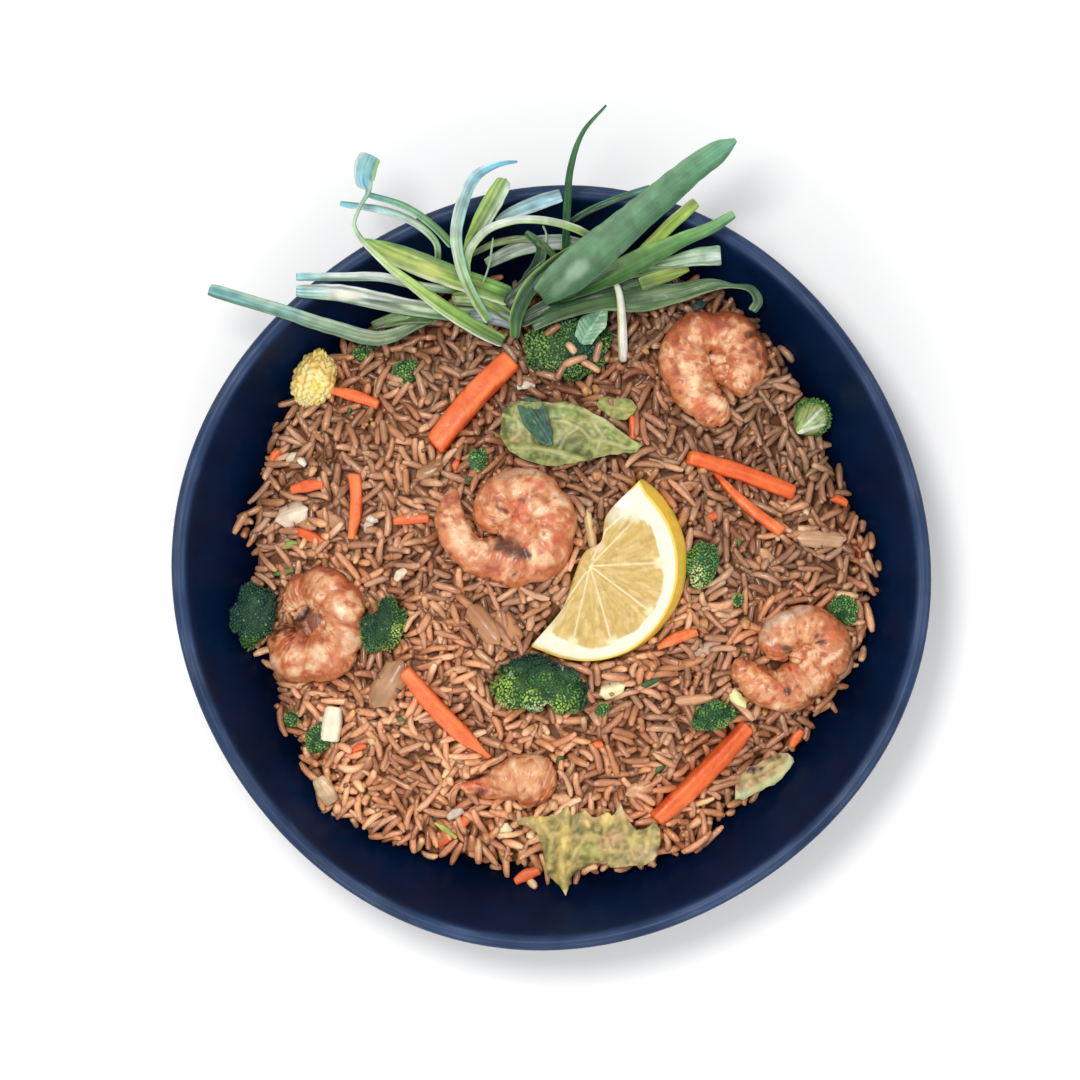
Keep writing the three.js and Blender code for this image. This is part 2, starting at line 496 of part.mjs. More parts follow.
// ---- leaves
const LEAVES = {
  lettuce_leaf: [6.3, 43, -4, 3, { length: 45, width: 19.5, curl: 2.2, wave: 1.4, seed: 0.6, outline: [0.35, 0.95, 1, 0.8, 0.2] }, "lettuce"],
  lettuce_small: [20.8, 50.6, 6, 2.6, { length: 11.8, width: 7, curl: 0.8, wave: 0.4, seed: 2, nx: 4, ny: 2, outline: [0.4, 1, 0.5] }, "lettuce"],
  lettuce_south: [12, -88.2, -6, 2.6, { length: 43.5, width: 23, curl: 2, wave: 1.6, seed: 3.1, outline: [0.4, 1, 0.8, 0.7, 0.35] }, "lettuce"],
  cabbage_stalk: [67.3, -66.4, 38, 2, { length: 24, width: 8.5, thick: 1.8, curl: 1.8, wave: 0.4, seed: 1.4, nx: 6, ny: 3, outline: [0.6, 1, 0.7, 0.35] }, "cabbage"],
  broccoli_flap: [13.2, 77.6, 62, 11.2, { length: 14.5, width: 8.6, thick: 0.9, curl: 0.8, wave: 0.5, seed: 0.2, nx: 5, ny: 2, outline: [0.7, 1, 0.3] }, "green"],
};
for (const [name, [x, y, heading, lift, shape, colour]] of Object.entries(LEAVES))
  set(name, colour, leaf(shape), onRice(x, y, { heading, lift, lean: 0.9 }));

// ---- onion and other pale pieces
const ONIONS = {
  onion_white_block: [-69.9, -49.3, 82, 1.6, { length: 11.2, width: 6.4, thick: 4, taper: [0.95, 1, 0.8], parts: 2 }],
  onion_north_west: [-82.6, 17.1, 20, 1.4, { length: 10.4, width: 8, thick: 3, sag: 1, taper: [0.7, 1, 0.8], parts: 3 }],
  onion_east: [85.6, 9.6, 0, 1.4, { length: 15.5, width: 5.6, thick: 2.2, sag: 0.6, taper: [0.9, 1, 0.9], parts: 3 }],
  onion_south_west: [-51.9, -36.4, 58, 1, { length: 15.8, width: 10, thick: 2, sag: 1.2, taper: [0.7, 1, 0.7], parts: 3 }],
  onion_middle: [-21.5, -17.4, -52, 1.2, { length: 15, width: 7, thick: 1.8, sag: 1, taper: [0.6, 1, 0.6], parts: 3 }],
  onion_south_pale: [-72.1, -70.5, -58, 1.4, { length: 9.4, width: 6.2, thick: 3.4, taper: [0.7, 1, 0.8], parts: 2 }],
};
for (const [name, [x, y, heading, lift, shape]] of Object.entries(ONIONS))
  set(name, "onion", strip(shape), onRice(x, y, { heading, lift }));

// ---- the heap of rice: fractions of the outline along its underside and top
const UNDER = [0.5, 0.8];
const OVER = [0.97, 0.89, 0.77, 0.61, 0.42, 0.22];
const heapProfile = [
  [0, -1],
  ...UNDER.map((f) => [f, -1]),
  [1, 0],
  ...OVER.map((f) => [f, 1]),
  [0, 1],
];
const heap = lathe(heapProfile, (v) => {
  const a = Math.atan2(v.y, v.x);
  const f = Math.hypot(v.x, v.y);
  const r = f * heapRadius(a);
  const side = v.z;
  let z = wallZ(r) + HEAP_GAP;
  if (side > 0.5) z = heapZ(r * Math.cos(a), r * Math.sin(a));
  else if (side > -0.5) z = wallZ(r) + 0.45 * HEAP_EDGE;
  const k = side > 0.5 ? 1 : outOfRound(a, z);
  v.set(r * k * Math.cos(a), r * k * Math.sin(a), z);
});
let rice = solidOf(heap);
for (const piece of placed) rice = rice.subtract(piece);
part.add(mesh("rice_heap", geometryOf(largest(rice)), "rice"));

// ---- the bowl: foot, outer wall, lip, inner wall
const outer = (r) => {
  const s = innerSlope(r);
  return [r + WALL * Math.sin(s), innerZ(r) - WALL * Math.cos(s)];
};
const lipStart = -rad(31);
const lipEnd = rad(149);
const lip = [0, 0.28, 0.52, 0.76].map((t) => {
  const a = lipStart + (lipEnd - lipStart) * t;
  return [LIP_CENTRE[0] + LIP_RADIUS * Math.cos(a), LIP_CENTRE[1] + LIP_RADIUS * Math.sin(a)];
});
const bowlProfile = [
  [0, 0],
  [FOOT_RADIUS - 1, 0],
  [FOOT_RADIUS, 1],
  ...[52, 72, 90, 105].map(outer),
  ...lip,
  ...INNER_RADII.slice(1)
    .reverse()
    .map((r) => [r, innerZ(r)]),
  [0, FLOOR_Z],
];
const bowl = lathe(bowlProfile, (v) => {
  const a = Math.atan2(v.y, v.x);
  const k = outOfRound(a, v.z);
  v.set(v.x * k, v.y * k, v.z);
});
part.add(mesh("bowl", bowl, "glaze"));

export default part;
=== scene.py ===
"""Fried rice with prawns in a round glazed bowl: the visual model.

Millimetres in all tables and mesh code, metres in the scene. +Z is up, and the origin
is the centre of the bowl's foot.
"""

import math

import bpy
import numpy as np
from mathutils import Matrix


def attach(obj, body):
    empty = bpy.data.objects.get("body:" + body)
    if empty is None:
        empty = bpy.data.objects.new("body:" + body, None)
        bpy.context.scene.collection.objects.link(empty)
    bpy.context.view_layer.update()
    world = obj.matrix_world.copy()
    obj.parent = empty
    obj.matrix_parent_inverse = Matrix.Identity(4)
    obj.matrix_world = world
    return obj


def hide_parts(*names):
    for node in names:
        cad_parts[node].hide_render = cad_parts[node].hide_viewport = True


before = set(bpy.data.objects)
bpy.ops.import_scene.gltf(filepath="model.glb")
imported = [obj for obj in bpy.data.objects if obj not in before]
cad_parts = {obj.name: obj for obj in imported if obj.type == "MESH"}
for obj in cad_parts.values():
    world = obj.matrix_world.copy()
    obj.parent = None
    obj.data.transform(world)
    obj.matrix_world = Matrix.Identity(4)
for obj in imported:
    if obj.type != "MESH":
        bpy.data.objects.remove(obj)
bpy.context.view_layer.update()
MM = 0.001

# ------------------------------------------------------------------ noise


def _hash(ix, iy, iz, seed):
    h = (ix * 374761393 + iy * 668265263 + iz * 1442695041 + seed * 1274126177) & 0xFFFFFFFF
    h = ((h ^ (h >> 13)) * 1274126177) & 0xFFFFFFFF
    h = ((h ^ (h >> 15)) * 668265263) & 0xFFFFFFFF
    return ((h ^ (h >> 16)) & 0xFFFFFF) / float(0xFFFFFF)


def noise(p, scale=1.0, seed=0):
    """Smooth value noise from -1 to 1 at points p (..., 3), features about scale wide."""
    q = np.asarray(p, float) / scale
    i = np.floor(q).astype(np.int64)
    f = q - i
    f = f * f * (3 - 2 * f)
    total = 0
    for dx in (0, 1):
        wx = f[..., 0] if dx else 1 - f[..., 0]
        for dy in (0, 1):
            wy = f[..., 1] if dy else 1 - f[..., 1]
            for dz in (0, 1):
                wz = f[..., 2] if dz else 1 - f[..., 2]
                total = total + wx * wy * wz * _hash(
                    i[..., 0] + dx, i[..., 1] + dy, i[..., 2] + dz, seed
                )
    return 2 * total - 1


def fbm(p, scale, octaves=3, seed=0):
    out, amp, norm = 0, 1.0, 0.0
    for k in range(octaves):
        out = out + amp * noise(p, scale / 2**k, seed + 17 * k)
        norm += amp
        amp *= 0.5
    return out / norm


def cells(p, scale, seed=0):
    """Distance to the nearest of a jittered lattice of points, in cells, and that point's own number."""
    q = np.asarray(p, float) / scale
    base = np.floor(q).astype(np.int64)
    best = np.full(q.shape[:-1], 9.0)
    own = np.zeros(q.shape[:-1])
    for dx in (-1, 0, 1):
        for dy in (-1, 0, 1):
            for dz in (-1, 0, 1):
                i = base + np.array([dx, dy, dz])
                c = np.stack(
                    [i[..., k] + _hash(i[..., 0], i[..., 1], i[..., 2], seed + 31 * k) for k in range(3)],
                    -1,
                )
                d = np.sqrt(((q - c) ** 2).sum(-1))
                near_it = d < best
                best = np.where(near_it, d, best)
                own = np.where(near_it, _hash(i[..., 0], i[..., 1], i[..., 2], seed + 7), own)
    return best, own


def flat(x, y):
    return np.stack([x, y, np.zeros_like(np.asarray(x, float) + np.asarray(y, float))], -1)


def smooth(t):
    c = np.clip(t, 0, 1)
    return c * c * (3 - 2 * c)


def keys(values, t):
    v = np.asarray(values, float)
    p = np.clip(t, 0, 0.999999) * (len(v) - 1)
    i = p.astype(int) if isinstance(p, np.ndarray) else int(p)
    f = smooth(p - i)
    if v.ndim > 1:
        f = np.asarray(f)[..., None]
    return v[i] + (v[np.minimum(i + 1, len(v) - 1)] - v[i]) * f


def spline(points, t):
    """Centripetal spline through points (n, k), at t from 0 to 1 spread evenly over the points."""
    P = np.asarray(points, float)
    n = len(P)
    s = np.clip(np.asarray(t, float), 0, 1) * (n - 1)
    i = np.minimum(s.astype(int), n - 2)
    w = (s - i)[..., None]
    ext = np.vstack([2 * P[0] - P[1], P, 2 * P[-1] - P[-2]])
    a, b, c, d = ext[i], ext[i + 1], ext[i + 2], ext[i + 3]
    d0 = np.maximum(((b - a) ** 2).sum(-1), 1e-9)[..., None] ** 0.25
    d1 = np.maximum(((c - b) ** 2).sum(-1), 1e-9)[..., None] ** 0.25
    d2 = np.maximum(((d - c) ** 2).sum(-1), 1e-9)[..., None] ** 0.25
    t1 = ((b - a) / d0 - (c - a) / (d0 + d1) + (c - b) / d1) * d1
    t2 = ((c - b) / d1 - (d - b) / (d1 + d2) + (d - c) / d2) * d1
    return b + t1 * w + (-3 * b + 3 * c - 2 * t1 - t2) * w**2 + (2 * b - 2 * c + t1 + t2) * w**3


def unit(v):
    return v / np.maximum(np.linalg.norm(v, axis=-1, keepdims=True), 1e-12)


def tangent(points, t):
    return unit(spline(points, np.minimum(1, t + 1e-3)) - spline(points, np.maximum(0, t - 1e-3)))


# ------------------------------------------------------------------ mesh helpers


def quads(nu, nv, wrap_u=False, wrap_v=False):
    iu = np.arange(nu if wrap_u else nu - 1)
    iv = np.arange(nv if wrap_v else nv - 1)
    U, V = np.meshgrid(iu, iv, indexing="ij")
    U2, V2 = (U + 1) % nu, (V + 1) % nv
    return np.stack([U * nv + V, U2 * nv + V, U2 * nv + V2, U * nv + V2], -1).reshape(-1, 4)


def outward(v, faces):
    c = v.mean(0)
    total = 0.0
    for f in faces:
        for k in range(1, f.shape[1] - 1):
            total += np.einsum(
                "ij,ij->", v[f[:, 0]] - c, np.cross(v[f[:, k]] - c, v[f[:, k + 1]] - c)
            )
    return faces if total >= 0 else [f[:, ::-1] for f in faces]


def tube(rings, start, end, ring_colour, start_colour=None, end_colour=None):
    """A closed skin over rings (n, m, 3) with a pole at each end."""
    n, m, _ = rings.shape
    v = np.vstack([rings.reshape(-1, 3), start, end])
    j = np.arange(m)
    first = np.stack([np.full(m, n * m), j, (j + 1) % m], -1)
    last = np.stack([np.full(m, n * m + 1), (n - 1) * m + (j + 1) % m, (n - 1) * m + j], -1)
    c = ring_colour.reshape(-1, 3)
    sc = ring_colour[0].mean(0) if start_colour is None else start_colour
    ec = ring_colour[-1].mean(0) if end_colour is None else end_colour
    return v, outward(v, [quads(n, m, wrap_v=True), first, last]), np.vstack([c, sc, ec])


def sheet(top, bottom, top_colour, bottom_colour=None):
    """A closed skin between two grids (n, m, 3) that have the same outline."""
    n, m, _ = top.shape
    v = np.vstack([top.reshape(-1, 3), bottom.reshape(-1, 3)])
    q = quads(n, m)
    k = n * m
    edge = np.concatenate(
        [
            np.arange(m),
            np.arange(1, n) * m + m - 1,
            (n - 1) * m + np.arange(m - 2, -1, -1),
            np.arange(n - 2, 0, -1) * m,
        ]
    )
    after = np.roll(edge, -1)
    side = np.stack([edge, edge + k, after + k, after], -1)
    c = top_colour.reshape(-1, 3)
    b = c * 0.93 if bottom_colour is None else bottom_colour.reshape(-1, 3)
    vol = outward(v, [q, q[:, ::-1] + k, side[:, ::-1]])
    return v, vol, np.vstack([c, b])


def linear(c):
    c = np.clip(np.asarray(c, float), 0, 255) / 255
    return np.where(c <= 0.04045, c / 12.92, ((c + 0.055) / 1.055) ** 2.4)


def add(name, parts, material, replaces=()):
    """Joins parts [(vertices mm, [faces], colours sRGB 0-255)] into one piece of the dish."""
    verts = np.concatenate([p[0] for p in parts])
    tint = np.concatenate([np.broadcast_to(p[2], p[0].shape) for p in parts])
    loops, starts, offset, at = [], [], 0, 0
    for v, faces, _ in parts:
        for f in faces:
            f = np.asarray(f) + offset
            loops.append(f.ravel())
            starts.append(at + np.arange(len(f)) * f.shape[1])
            at += f.size
        offset += len(v)
    loops, starts = np.concatenate(loops), np.concatenate(starts)
    mesh = bpy.data.meshes.new(name)
    mesh.vertices.add(len(verts))
    mesh.vertices.foreach_set("co", (verts * MM).astype(np.float32).ravel())
    mesh.loops.add(len(loops))
    mesh.loops.foreach_set("vertex_index", loops.astype(np.int32))
    mesh.polygons.add(len(starts))
    mesh.polygons.foreach_set("loop_start", starts.astype(np.int32))
    mesh.polygons.foreach_set("use_smooth", np.ones(len(starts), bool))
    mesh.update(calc_edges=True)
    mesh.validate()
    colour = np.ones((len(verts), 4), np.float32)
    colour[:, :3] = linear(tint)
    attribute = mesh.color_attributes.new("tint", "FLOAT_COLOR", "POINT")
    attribute.data.foreach_set("color", colour.ravel())
    obj = bpy.data.objects.new(name, mesh)
    bpy.context.scene.collection.objects.link(obj)
    mesh.materials.append(material)
    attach(obj, "root")
    if replaces:
        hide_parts(*replaces)
    return obj


# ------------------------------------------------------------------ paint helpers
# The picture plane: places are given in pixels of a 1080 by 1080 picture taken from
# straight above, which is 341.5 mm wide at a height of 58 mm.
CAMERA = (-3.83, 9.17, 2058.0)
PER_PX = 0.3162


def seen(P):
    k = (CAMERA[2] - 58.0) / (CAMERA[2] - P[..., 2])
    x = CAMERA[0] + (P[..., 0] - CAMERA[0]) * k
    y = CAMERA[1] + (P[..., 1] - CAMERA[1]) * k
    return x / PER_PX + 552.1, 569 - y / PER_PX


def from_px(px, py, z=58.0):
    k = (CAMERA[2] - z) / (CAMERA[2] - 58.0)
    x = (np.asarray(px, float) - 552.1) * PER_PX
    y = (569 - np.asarray(py, float)) * PER_PX
    return CAMERA[0] + (x - CAMERA[0]) * k, CAMERA[1] + (y - CAMERA[1]) * k


def blob(P, px, py, rx, ry=None, angle=0.0, soft=0.5):
    """1 inside an ellipse of the picture plane, fading out at its edge."""
    u, v = seen(P)
    a = math.radians(angle)
    dx, dy = u - px, v - py
    e = np.sqrt(
        ((dx * math.cos(a) + dy * math.sin(a)) / rx) ** 2
        + ((-dx * math.sin(a) + dy * math.cos(a)) / (ry or rx)) ** 2
    )
    return smooth((1 + soft * 0.5 - e) / soft)


def near(P, points, width, soft=0.8):
    """1 within width of a line through points of the picture plane, fading out beside it."""
    u, v = seen(P)
    best = np.full(u.shape, 1e9)
    for (ax, ay), (bx, by) in zip(points[:-1], points[1:]):
        dx, dy = bx - ax, by - ay
        t = np.clip(((u - ax) * dx + (v - ay) * dy) / (dx * dx + dy * dy + 1e-9), 0, 1)
        best = np.minimum(best, np.hypot(u - ax - t * dx, v - ay - t * dy))
    return smooth((1 + soft * 0.5 - best / width) / soft)


def mix(colour, target, mask):
    m = np.asarray(mask)[..., None]
    return colour + (np.asarray(target, float) - colour) * m


def plain(shape, colour):
    return np.broadcast_to(np.asarray(colour, float), tuple(shape) + (3,)).copy()


# ------------------------------------------------------------------ bowl and heap surfaces
RIM_COS = (0, -0.43, -0.26, 0.7)
RIM_SIN = (0, 0.54, -0.34, -0.85)
HEAP_COS = (0.78, 0.48, -0.03, -1.23, 1.84, 1.15)
HEAP_SIN = (-0.55, 1.25, 0.65, -1.45, -0.73, -1.32)
INNER_RADII = np.array([0, 44, 66, 82, 94, 105, 115.42])
WALL = 5.0


def harmonics(cos, sin, a):
    return sum(c * np.cos((i + 1) * a) + s * np.sin((i + 1) * a) for i, (c, s) in enumerate(zip(cos, sin)))


def inner_z(r):
    return 7 + 49.8 * (np.asarray(r, float) / 115.42) ** 3.8


def inner_slope(r):
    return np.arctan(49.8 * 3.8 / 115.42 * (np.asarray(r, float) / 115.42) ** 2.8)


def wall_z(r):
    return np.interp(r, INNER_RADII, inner_z(INNER_RADII))


def out_of_round(a, z):
    return 1 + harmonics(RIM_COS, RIM_SIN, a) / 120 * smooth((np.asarray(z, float) - 4) / 40)


def heap_radius(a):
    return 98.3 + harmonics(HEAP_COS, HEAP_SIN, a)


def lumps(x, y):
    return (
        0.9 * np.sin(0.11 * x + 0.7) * np.cos(0.13 * y - 0.4)
        + 0.6 * np.sin(0.23 * x - 0.17 * y + 1.3)
        + 0.4 * np.sin(0.31 * y + 0.19 * x)
    )


def heap_z(x, y):
    x, y = np.asarray(x, float), np.asarray(y, float)
    R = heap_radius(np.arctan2(y, x))
    f = np.minimum(1, np.hypot(x, y) / R)
    edge = wall_z(R) + 4.5
    return edge + (62 - edge) * (1 - f**2.4) + lumps(x, y) * (1 - f**6)


def heap_normal(x, y):
    d = 4.0
    return unit(
        np.array(
            [
                (heap_z(x - d, y) - heap_z(x + d, y)) / (2 * d),
                (heap_z(x, y - d) - heap_z(x, y + d)) / (2 * d),
                1.0,
            ]
        )
    )


def turn(axis, angle):
    axis = unit(np.asarray(axis, float))
    x, y, z = axis
    c, s = math.cos(angle), math.sin(angle)
    k = 1 - c
    return np.array(
        [
            [c + x * x * k, x * y * k - z * s, x * z * k + y * s],
            [y * x * k + z * s, c + y * y * k, y * z * k - x * s],
            [z * x * k - y * s, z * y * k + x * s, c + z * z * k],
        ]
    )


def align(n):
    """The turn that takes +Z to n."""
    z = np.array([0, 0, 1.0])
    c = np.cross(z, n)
    s = np.linalg.norm(c)
    if s < 1e-9:
        return np.eye(3)
    return turn(c / s, math.atan2(s, float(np.dot(z, n))))


class Place:
    """Where a piece lies on the rice, as a turn and an offset."""

    def __init__(self, R, at):
        self.R, self.at = R, np.asarray(at, float)

    def __call__(self, P):
        return P @ self.R.T + self.at


def on_rice(x, y, heading=0.0, lift=0.0, lean=0.8, roll=0.0, pitch=0.0):
    n = unit(heap_normal(x, y) * lean + np.array([0, 0, 1.0]) * (1 - lean))
    R = (
        align(n)
        @ turn((0, 0, 1), math.radians(heading))
        @ turn((1, 0, 0), math.radians(roll))
        @ turn((0, 1, 0), math.radians(pitch))
    )
    return Place(R, (x, y, float(heap_z(x, y)) + lift))


# ------------------------------------------------------------------ materials


def food(name, rough=(0.4, 0.6), vary=(260, 0.12), bumps=((900, 0.00015),), sss=0.0, sss_radius=(1, 0.5, 0.3),
         sss_scale=0.003, spec=0.5, coat=0.0, coat_rough=0.15, speck=None, detail=4.0, transmission=0.0):
    """A finish whose colour is painted on the mesh, broken up by noise, with fine relief."""
    m = bpy.data.materials.new(name)
    m.use_nodes = True
    nt = m.node_tree
    nt.nodes.clear()
    out = nt.nodes.new("ShaderNodeOutputMaterial")
    bs = nt.nodes.new("ShaderNodeBsdfPrincipled")
    nt.links.new(bs.outputs[0], out.inputs["Surface"])
    tc = nt.nodes.new("ShaderNodeTexCoord")
    tint = nt.nodes.new("ShaderNodeAttribute")
    tint.attribute_name = "tint"
    n1 = nt.nodes.new("ShaderNodeTexNoise")
    n1.inputs["Scale"].default_value = vary[0]
    n1.inputs["Detail"].default_value = detail
    nt.links.new(tc.outputs["Object"], n1.inputs["Vector"])
    gain = nt.nodes.new("ShaderNodeMapRange")
    gain.inputs["From Min"].default_value = 0.3
    gain.inputs["From Max"].default_value = 0.7
    gain.inputs["To Min"].default_value = 1 - vary[1]
    gain.inputs["To Max"].default_value = 1 + vary[1]
    nt.links.new(n1.outputs["Fac"], gain.inputs["Value"])
    times = nt.nodes.new("ShaderNodeVectorMath")
    times.operation = "SCALE"
    nt.links.new(tint.outputs["Color"], times.inputs[0])
    nt.links.new(gain.outputs["Result"], times.inputs["Scale"])
    colour = times.outputs["Vector"]
    if speck:
        scale, target, threshold, amount = speck
        n3 = nt.nodes.new("ShaderNodeTexNoise")
        n3.inputs["Scale"].default_value = scale
        n3.inputs["Detail"].default_value = 2.0
        nt.links.new(tc.outputs["Object"], n3.inputs["Vector"])
        step = nt.nodes.new("ShaderNodeMapRange")
        step.inputs["From Min"].default_value = threshold
        step.inputs["From Max"].default_value = threshold + 0.08
        step.inputs["To Min"].default_value = 0.0
        step.inputs["To Max"].default_value = amount
        nt.links.new(n3.outputs["Fac"], step.inputs["Value"])
        mx = nt.nodes.new("ShaderNodeMix")
        mx.data_type = "RGBA"
        nt.links.new(step.outputs["Result"], mx.inputs["Factor"])
        nt.links.new(colour, mx.inputs["A"])
        mx.inputs["B"].default_value = (*linear(target), 1.0)
        colour = mx.outputs["Result"]
    nt.links.new(colour, bs.inputs["Base Color"])
    r = nt.nodes.new("ShaderNodeMapRange")
    r.inputs["From Min"].default_value = 0.3
    r.inputs["From Max"].default_value = 0.7
    r.inputs["To Min"].default_value = rough[0]
    r.inputs["To Max"].default_value = rough[1]
    n2 = nt.nodes.new("ShaderNodeTexNoise")
    n2.inputs["Scale"].default_value = vary[0] * 1.7
    n2.inputs["Detail"].default_value = 3.0
    nt.links.new(tc.outputs["Object"], n2.inputs["Vector"])
    nt.links.new(n2.outputs["Fac"], r.inputs["Value"])
    nt.links.new(r.outputs["Result"], bs.inputs["Roughness"])
    last = None
    for scale, distance in bumps:
        nb = nt.nodes.new("ShaderNodeTexNoise")
        nb.inputs["Scale"].default_value = scale
        nb.inputs["Detail"].default_value = 3.0
        nt.links.new(tc.outputs["Object"], nb.inputs["Vector"])
        b = nt.nodes.new("ShaderNodeBump")
        b.inputs["Strength"].default_value = 0.8
        b.inputs["Distance"].default_value = distance
        nt.links.new(nb.outputs["Fac"], b.inputs["Height"])
        if last is not None:
            nt.links.new(last, b.inputs["Normal"])
        last = b.outputs["Normal"]
    if last is not None:
        nt.links.new(last, bs.inputs["Normal"])
    bs.inputs["Specular IOR Level"].default_value = spec
    if sss:
        bs.inputs["Subsurface Weight"].default_value = sss
        bs.inputs["Subsurface Radius"].default_value = sss_radius
        bs.inputs["Subsurface Scale"].default_value = sss_scale
    if coat:
        bs.inputs["Coat Weight"].default_value = coat
        bs.inputs["Coat Roughness"].default_value = coat_rough
    if transmission:
        bs.inputs["Transmission Weight"].default_value = transmission
    return m


GLAZE = food("glaze", rough=(0.30, 0.42), vary=(60, 0.25), bumps=((45, 0.0002), (400, 0.00003)), spec=0.13)
RICE = food("rice_grain", rough=(0.24, 0.5), vary=(700, 0.14), bumps=((1500, 0.00016), (600, 0.0002)), sss=0.45, sss_radius=(1.0, 0.55, 0.35), sss_scale=0.0022, spec=0.6, coat=0.3, coat_rough=0.16)
CORE = food("rice_core", rough=(0.35, 0.6), vary=(300, 0.25), bumps=((500, 0.0006), (1500, 0.0002)), spec=0.3)
PRAWN = food("prawn_flesh", rough=(0.28, 0.5), vary=(420, 0.10), bumps=((1300, 0.00026), (420, 0.00045)), sss=0.2, sss_radius=(1.0, 0.45, 0.25), sss_scale=0.0022, spec=0.5, coat=0.3, coat_rough=0.2, speck=(1500, (150, 70, 42), 0.62, 0.55))
LEMON = food("lemon_flesh", rough=(0.38, 0.6), vary=(500, 0.06), bumps=((900, 0.00012),), sss=0.3, sss_radius=(1.0, 0.8, 0.35), sss_scale=0.003, spec=0.5, coat=0.06, coat_rough=0.3)
CARROT = food("carrot_flesh", rough=(0.32, 0.5), vary=(350, 0.09), bumps=((900, 0.0002), (300, 0.0002)), sss=0.2, sss_radius=(1.0, 0.35, 0.15), sss_scale=0.002, spec=0.5)
BROCCOLI_SKIN = food("broccoli_buds", rough=(0.5, 0.75), vary=(600, 0.22), bumps=((1600, 0.00015),), spec=0.35)
CORN = food("corn_kernels", rough=(0.35, 0.55), vary=(300, 0.10), bumps=((900, 0.00012),), sss=0.15, sss_radius=(1, 0.7, 0.2), sss_scale=0.002)
LEAF = food("leaf_skin", rough=(0.3, 0.55), vary=(320, 0.12), bumps=((700, 0.0002), (1800, 0.00008)), sss=0.12, sss_radius=(0.6, 1.0, 0.3), sss_scale=0.0015)
ONION = food("onion_flesh", rough=(0.3, 0.5), vary=(260, 0.12), bumps=((500, 0.0002),), sss=0.35, sss_radius=(1, 0.6, 0.35), sss_scale=0.002, coat=0.15)
SCALLION = food("scallion_skin", rough=(0.3, 0.5), vary=(220, 0.10), bumps=((600, 0.00012),), sss=0.1, sss_radius=(0.7, 1.0, 0.6), sss_scale=0.0015)

# ------------------------------------------------------------------ the bowl


def lathe_bowl():
    def outer(r):
        s = inner_slope(r)
        return np.stack([r + WALL * np.sin(s), inner_z(r) - WALL * np.cos(s)], -1)

    foot = np.array([[0.4, 0.0], [24, 0.0], [40, 0.0], [45.8, 0.0], [46.6, 0.2], [47, 1.0]])
    out = outer(np.linspace(52, 105, 16))
    arc = np.radians(np.linspace(-31, 149, 13))
    lip = np.stack([117.55 + 2.45 * np.cos(arc), 55.5 + 2.45 * np.sin(arc)], -1)
    ri = np.concatenate([np.linspace(114.8, 94, 16), np.linspace(91, 0.4, 16)])
    inner = np.stack([ri, inner_z(ri)], -1)
    profile = np.vstack([foot, out, lip, inner])
    n = 240
    a = np.linspace(0, 2 * np.pi, n, endpoint=False)
    r = profile[:, 0][:, None]
    z = np.broadcast_to(profile[:, 1][:, None], (len(profile), n))
    k = out_of_round(a[None, :], z)
    P = np.stack([r * k * np.cos(a), r * k * np.sin(a), z], -1)
    # thrown by hand: faint turning rings and an unevenly thick glaze inside
    inside = (np.arange(len(profile)) > len(foot) + len(out) + 6)[:, None]
    ripple = 0.10 * np.sin(r * 0.9) + 0.25 * noise(P, 26, 3)
    P[..., 2] += np.where(inside, ripple * smooth((z - 8) / 20), 0)
    c = plain(P.shape[:2], (1, 24, 54))
    # painted reflection: the top of the lip is painted a lighter navy, where the glaze would reflect the light above
    c = mix(c, (38, 56, 88), smooth((z - 55.2) / 2.4))
    # painted shade: the inside wall is painted darker the deeper it goes into the bowl
    c = mix(c, (0, 10, 36), 0.8 * smooth((52 - z) / 26) * inside)
    # painted highlight: a thin bright line along the crest of the lip
    c = mix(c, (120, 132, 160), 0.35 * smooth(1 - np.abs(z - 57.6) / 0.5) * smooth(0.5 + 0.9 * noise(P, 14, 8)))
    # dust-fine specks where the glaze is thin on the lip
    c = mix(c, (70, 78, 96), 0.5 * (noise(P, 1.6, 12) > 0.62) * smooth((z - 55) / 2))
    return tube(P, (0, 0, 0), (0, 0, 7), c)


add("bowl_visual", [lathe_bowl()], GLAZE, ("bowl",))

# ------------------------------------------------------------------ height maps
STEP, HALF = 0.5, 114.0
COUNT = int(2 * HALF / STEP) + 1
AXIS = np.linspace(-HALF, HALF, COUNT)
GX, GY = np.meshgrid(AXIS, AXIS, indexing="ij")
GA, GR = np.arctan2(GY, GX), np.hypot(GX, GY)


def cell(x, y):
    return (
        np.clip(np.round((np.asarray(x) + HALF) / STEP).astype(int), 0, COUNT - 1),
        np.clip(np.round((np.asarray(y) + HALF) / STEP).astype(int), 0, COUNT - 1),
    )


def raster(obj, low, high):
    """Lowest and highest surface of a CAD node over each cell."""
    mesh = obj.data
    mesh.calc_loop_triangles()
    v = np.zeros(len(mesh.vertices) * 3, np.float32)
    mesh.vertices.foreach_get("co", v)
    v = v.reshape(-1, 3).astype(float) / MM
    t = np.zeros(len(mesh.loop_triangles) * 3, np.int32)
    mesh.loop_triangles.foreach_get("vertices", t)
    for a, b, c in v[t.reshape(-1, 3)]:
        n = int(max(np.linalg.norm(b - a), np.linalg.norm(c - a), np.linalg.norm(c - b)) / 0.35) + 2
        i, j = np.meshgrid(np.linspace(0, 1, n), np.linspace(0, 1, n), indexing="ij")
        keep = i + j <= 1.0001
        i, j = i[keep][:, None], j[keep][:, None]
        P = a + (b - a) * i + (c - a) * j
        ix, iy = cell(P[:, 0], P[:, 1])
        np.minimum.at(low, (ix, iy), P[:, 2])
        np.maximum.at(high, (ix, iy), P[:, 2])


WALL_MAP = inner_z(np.minimum(GR / out_of_round(GA, 50), 116))
HEAP_R = heap_radius(GA)
edge_noise = 2.4 * noise(flat(GX, GY), 8, 5) + 2.4 * noise(flat(GX, GY), 19, 6) + 1.0 * noise(flat(GX, GY), 4, 7)
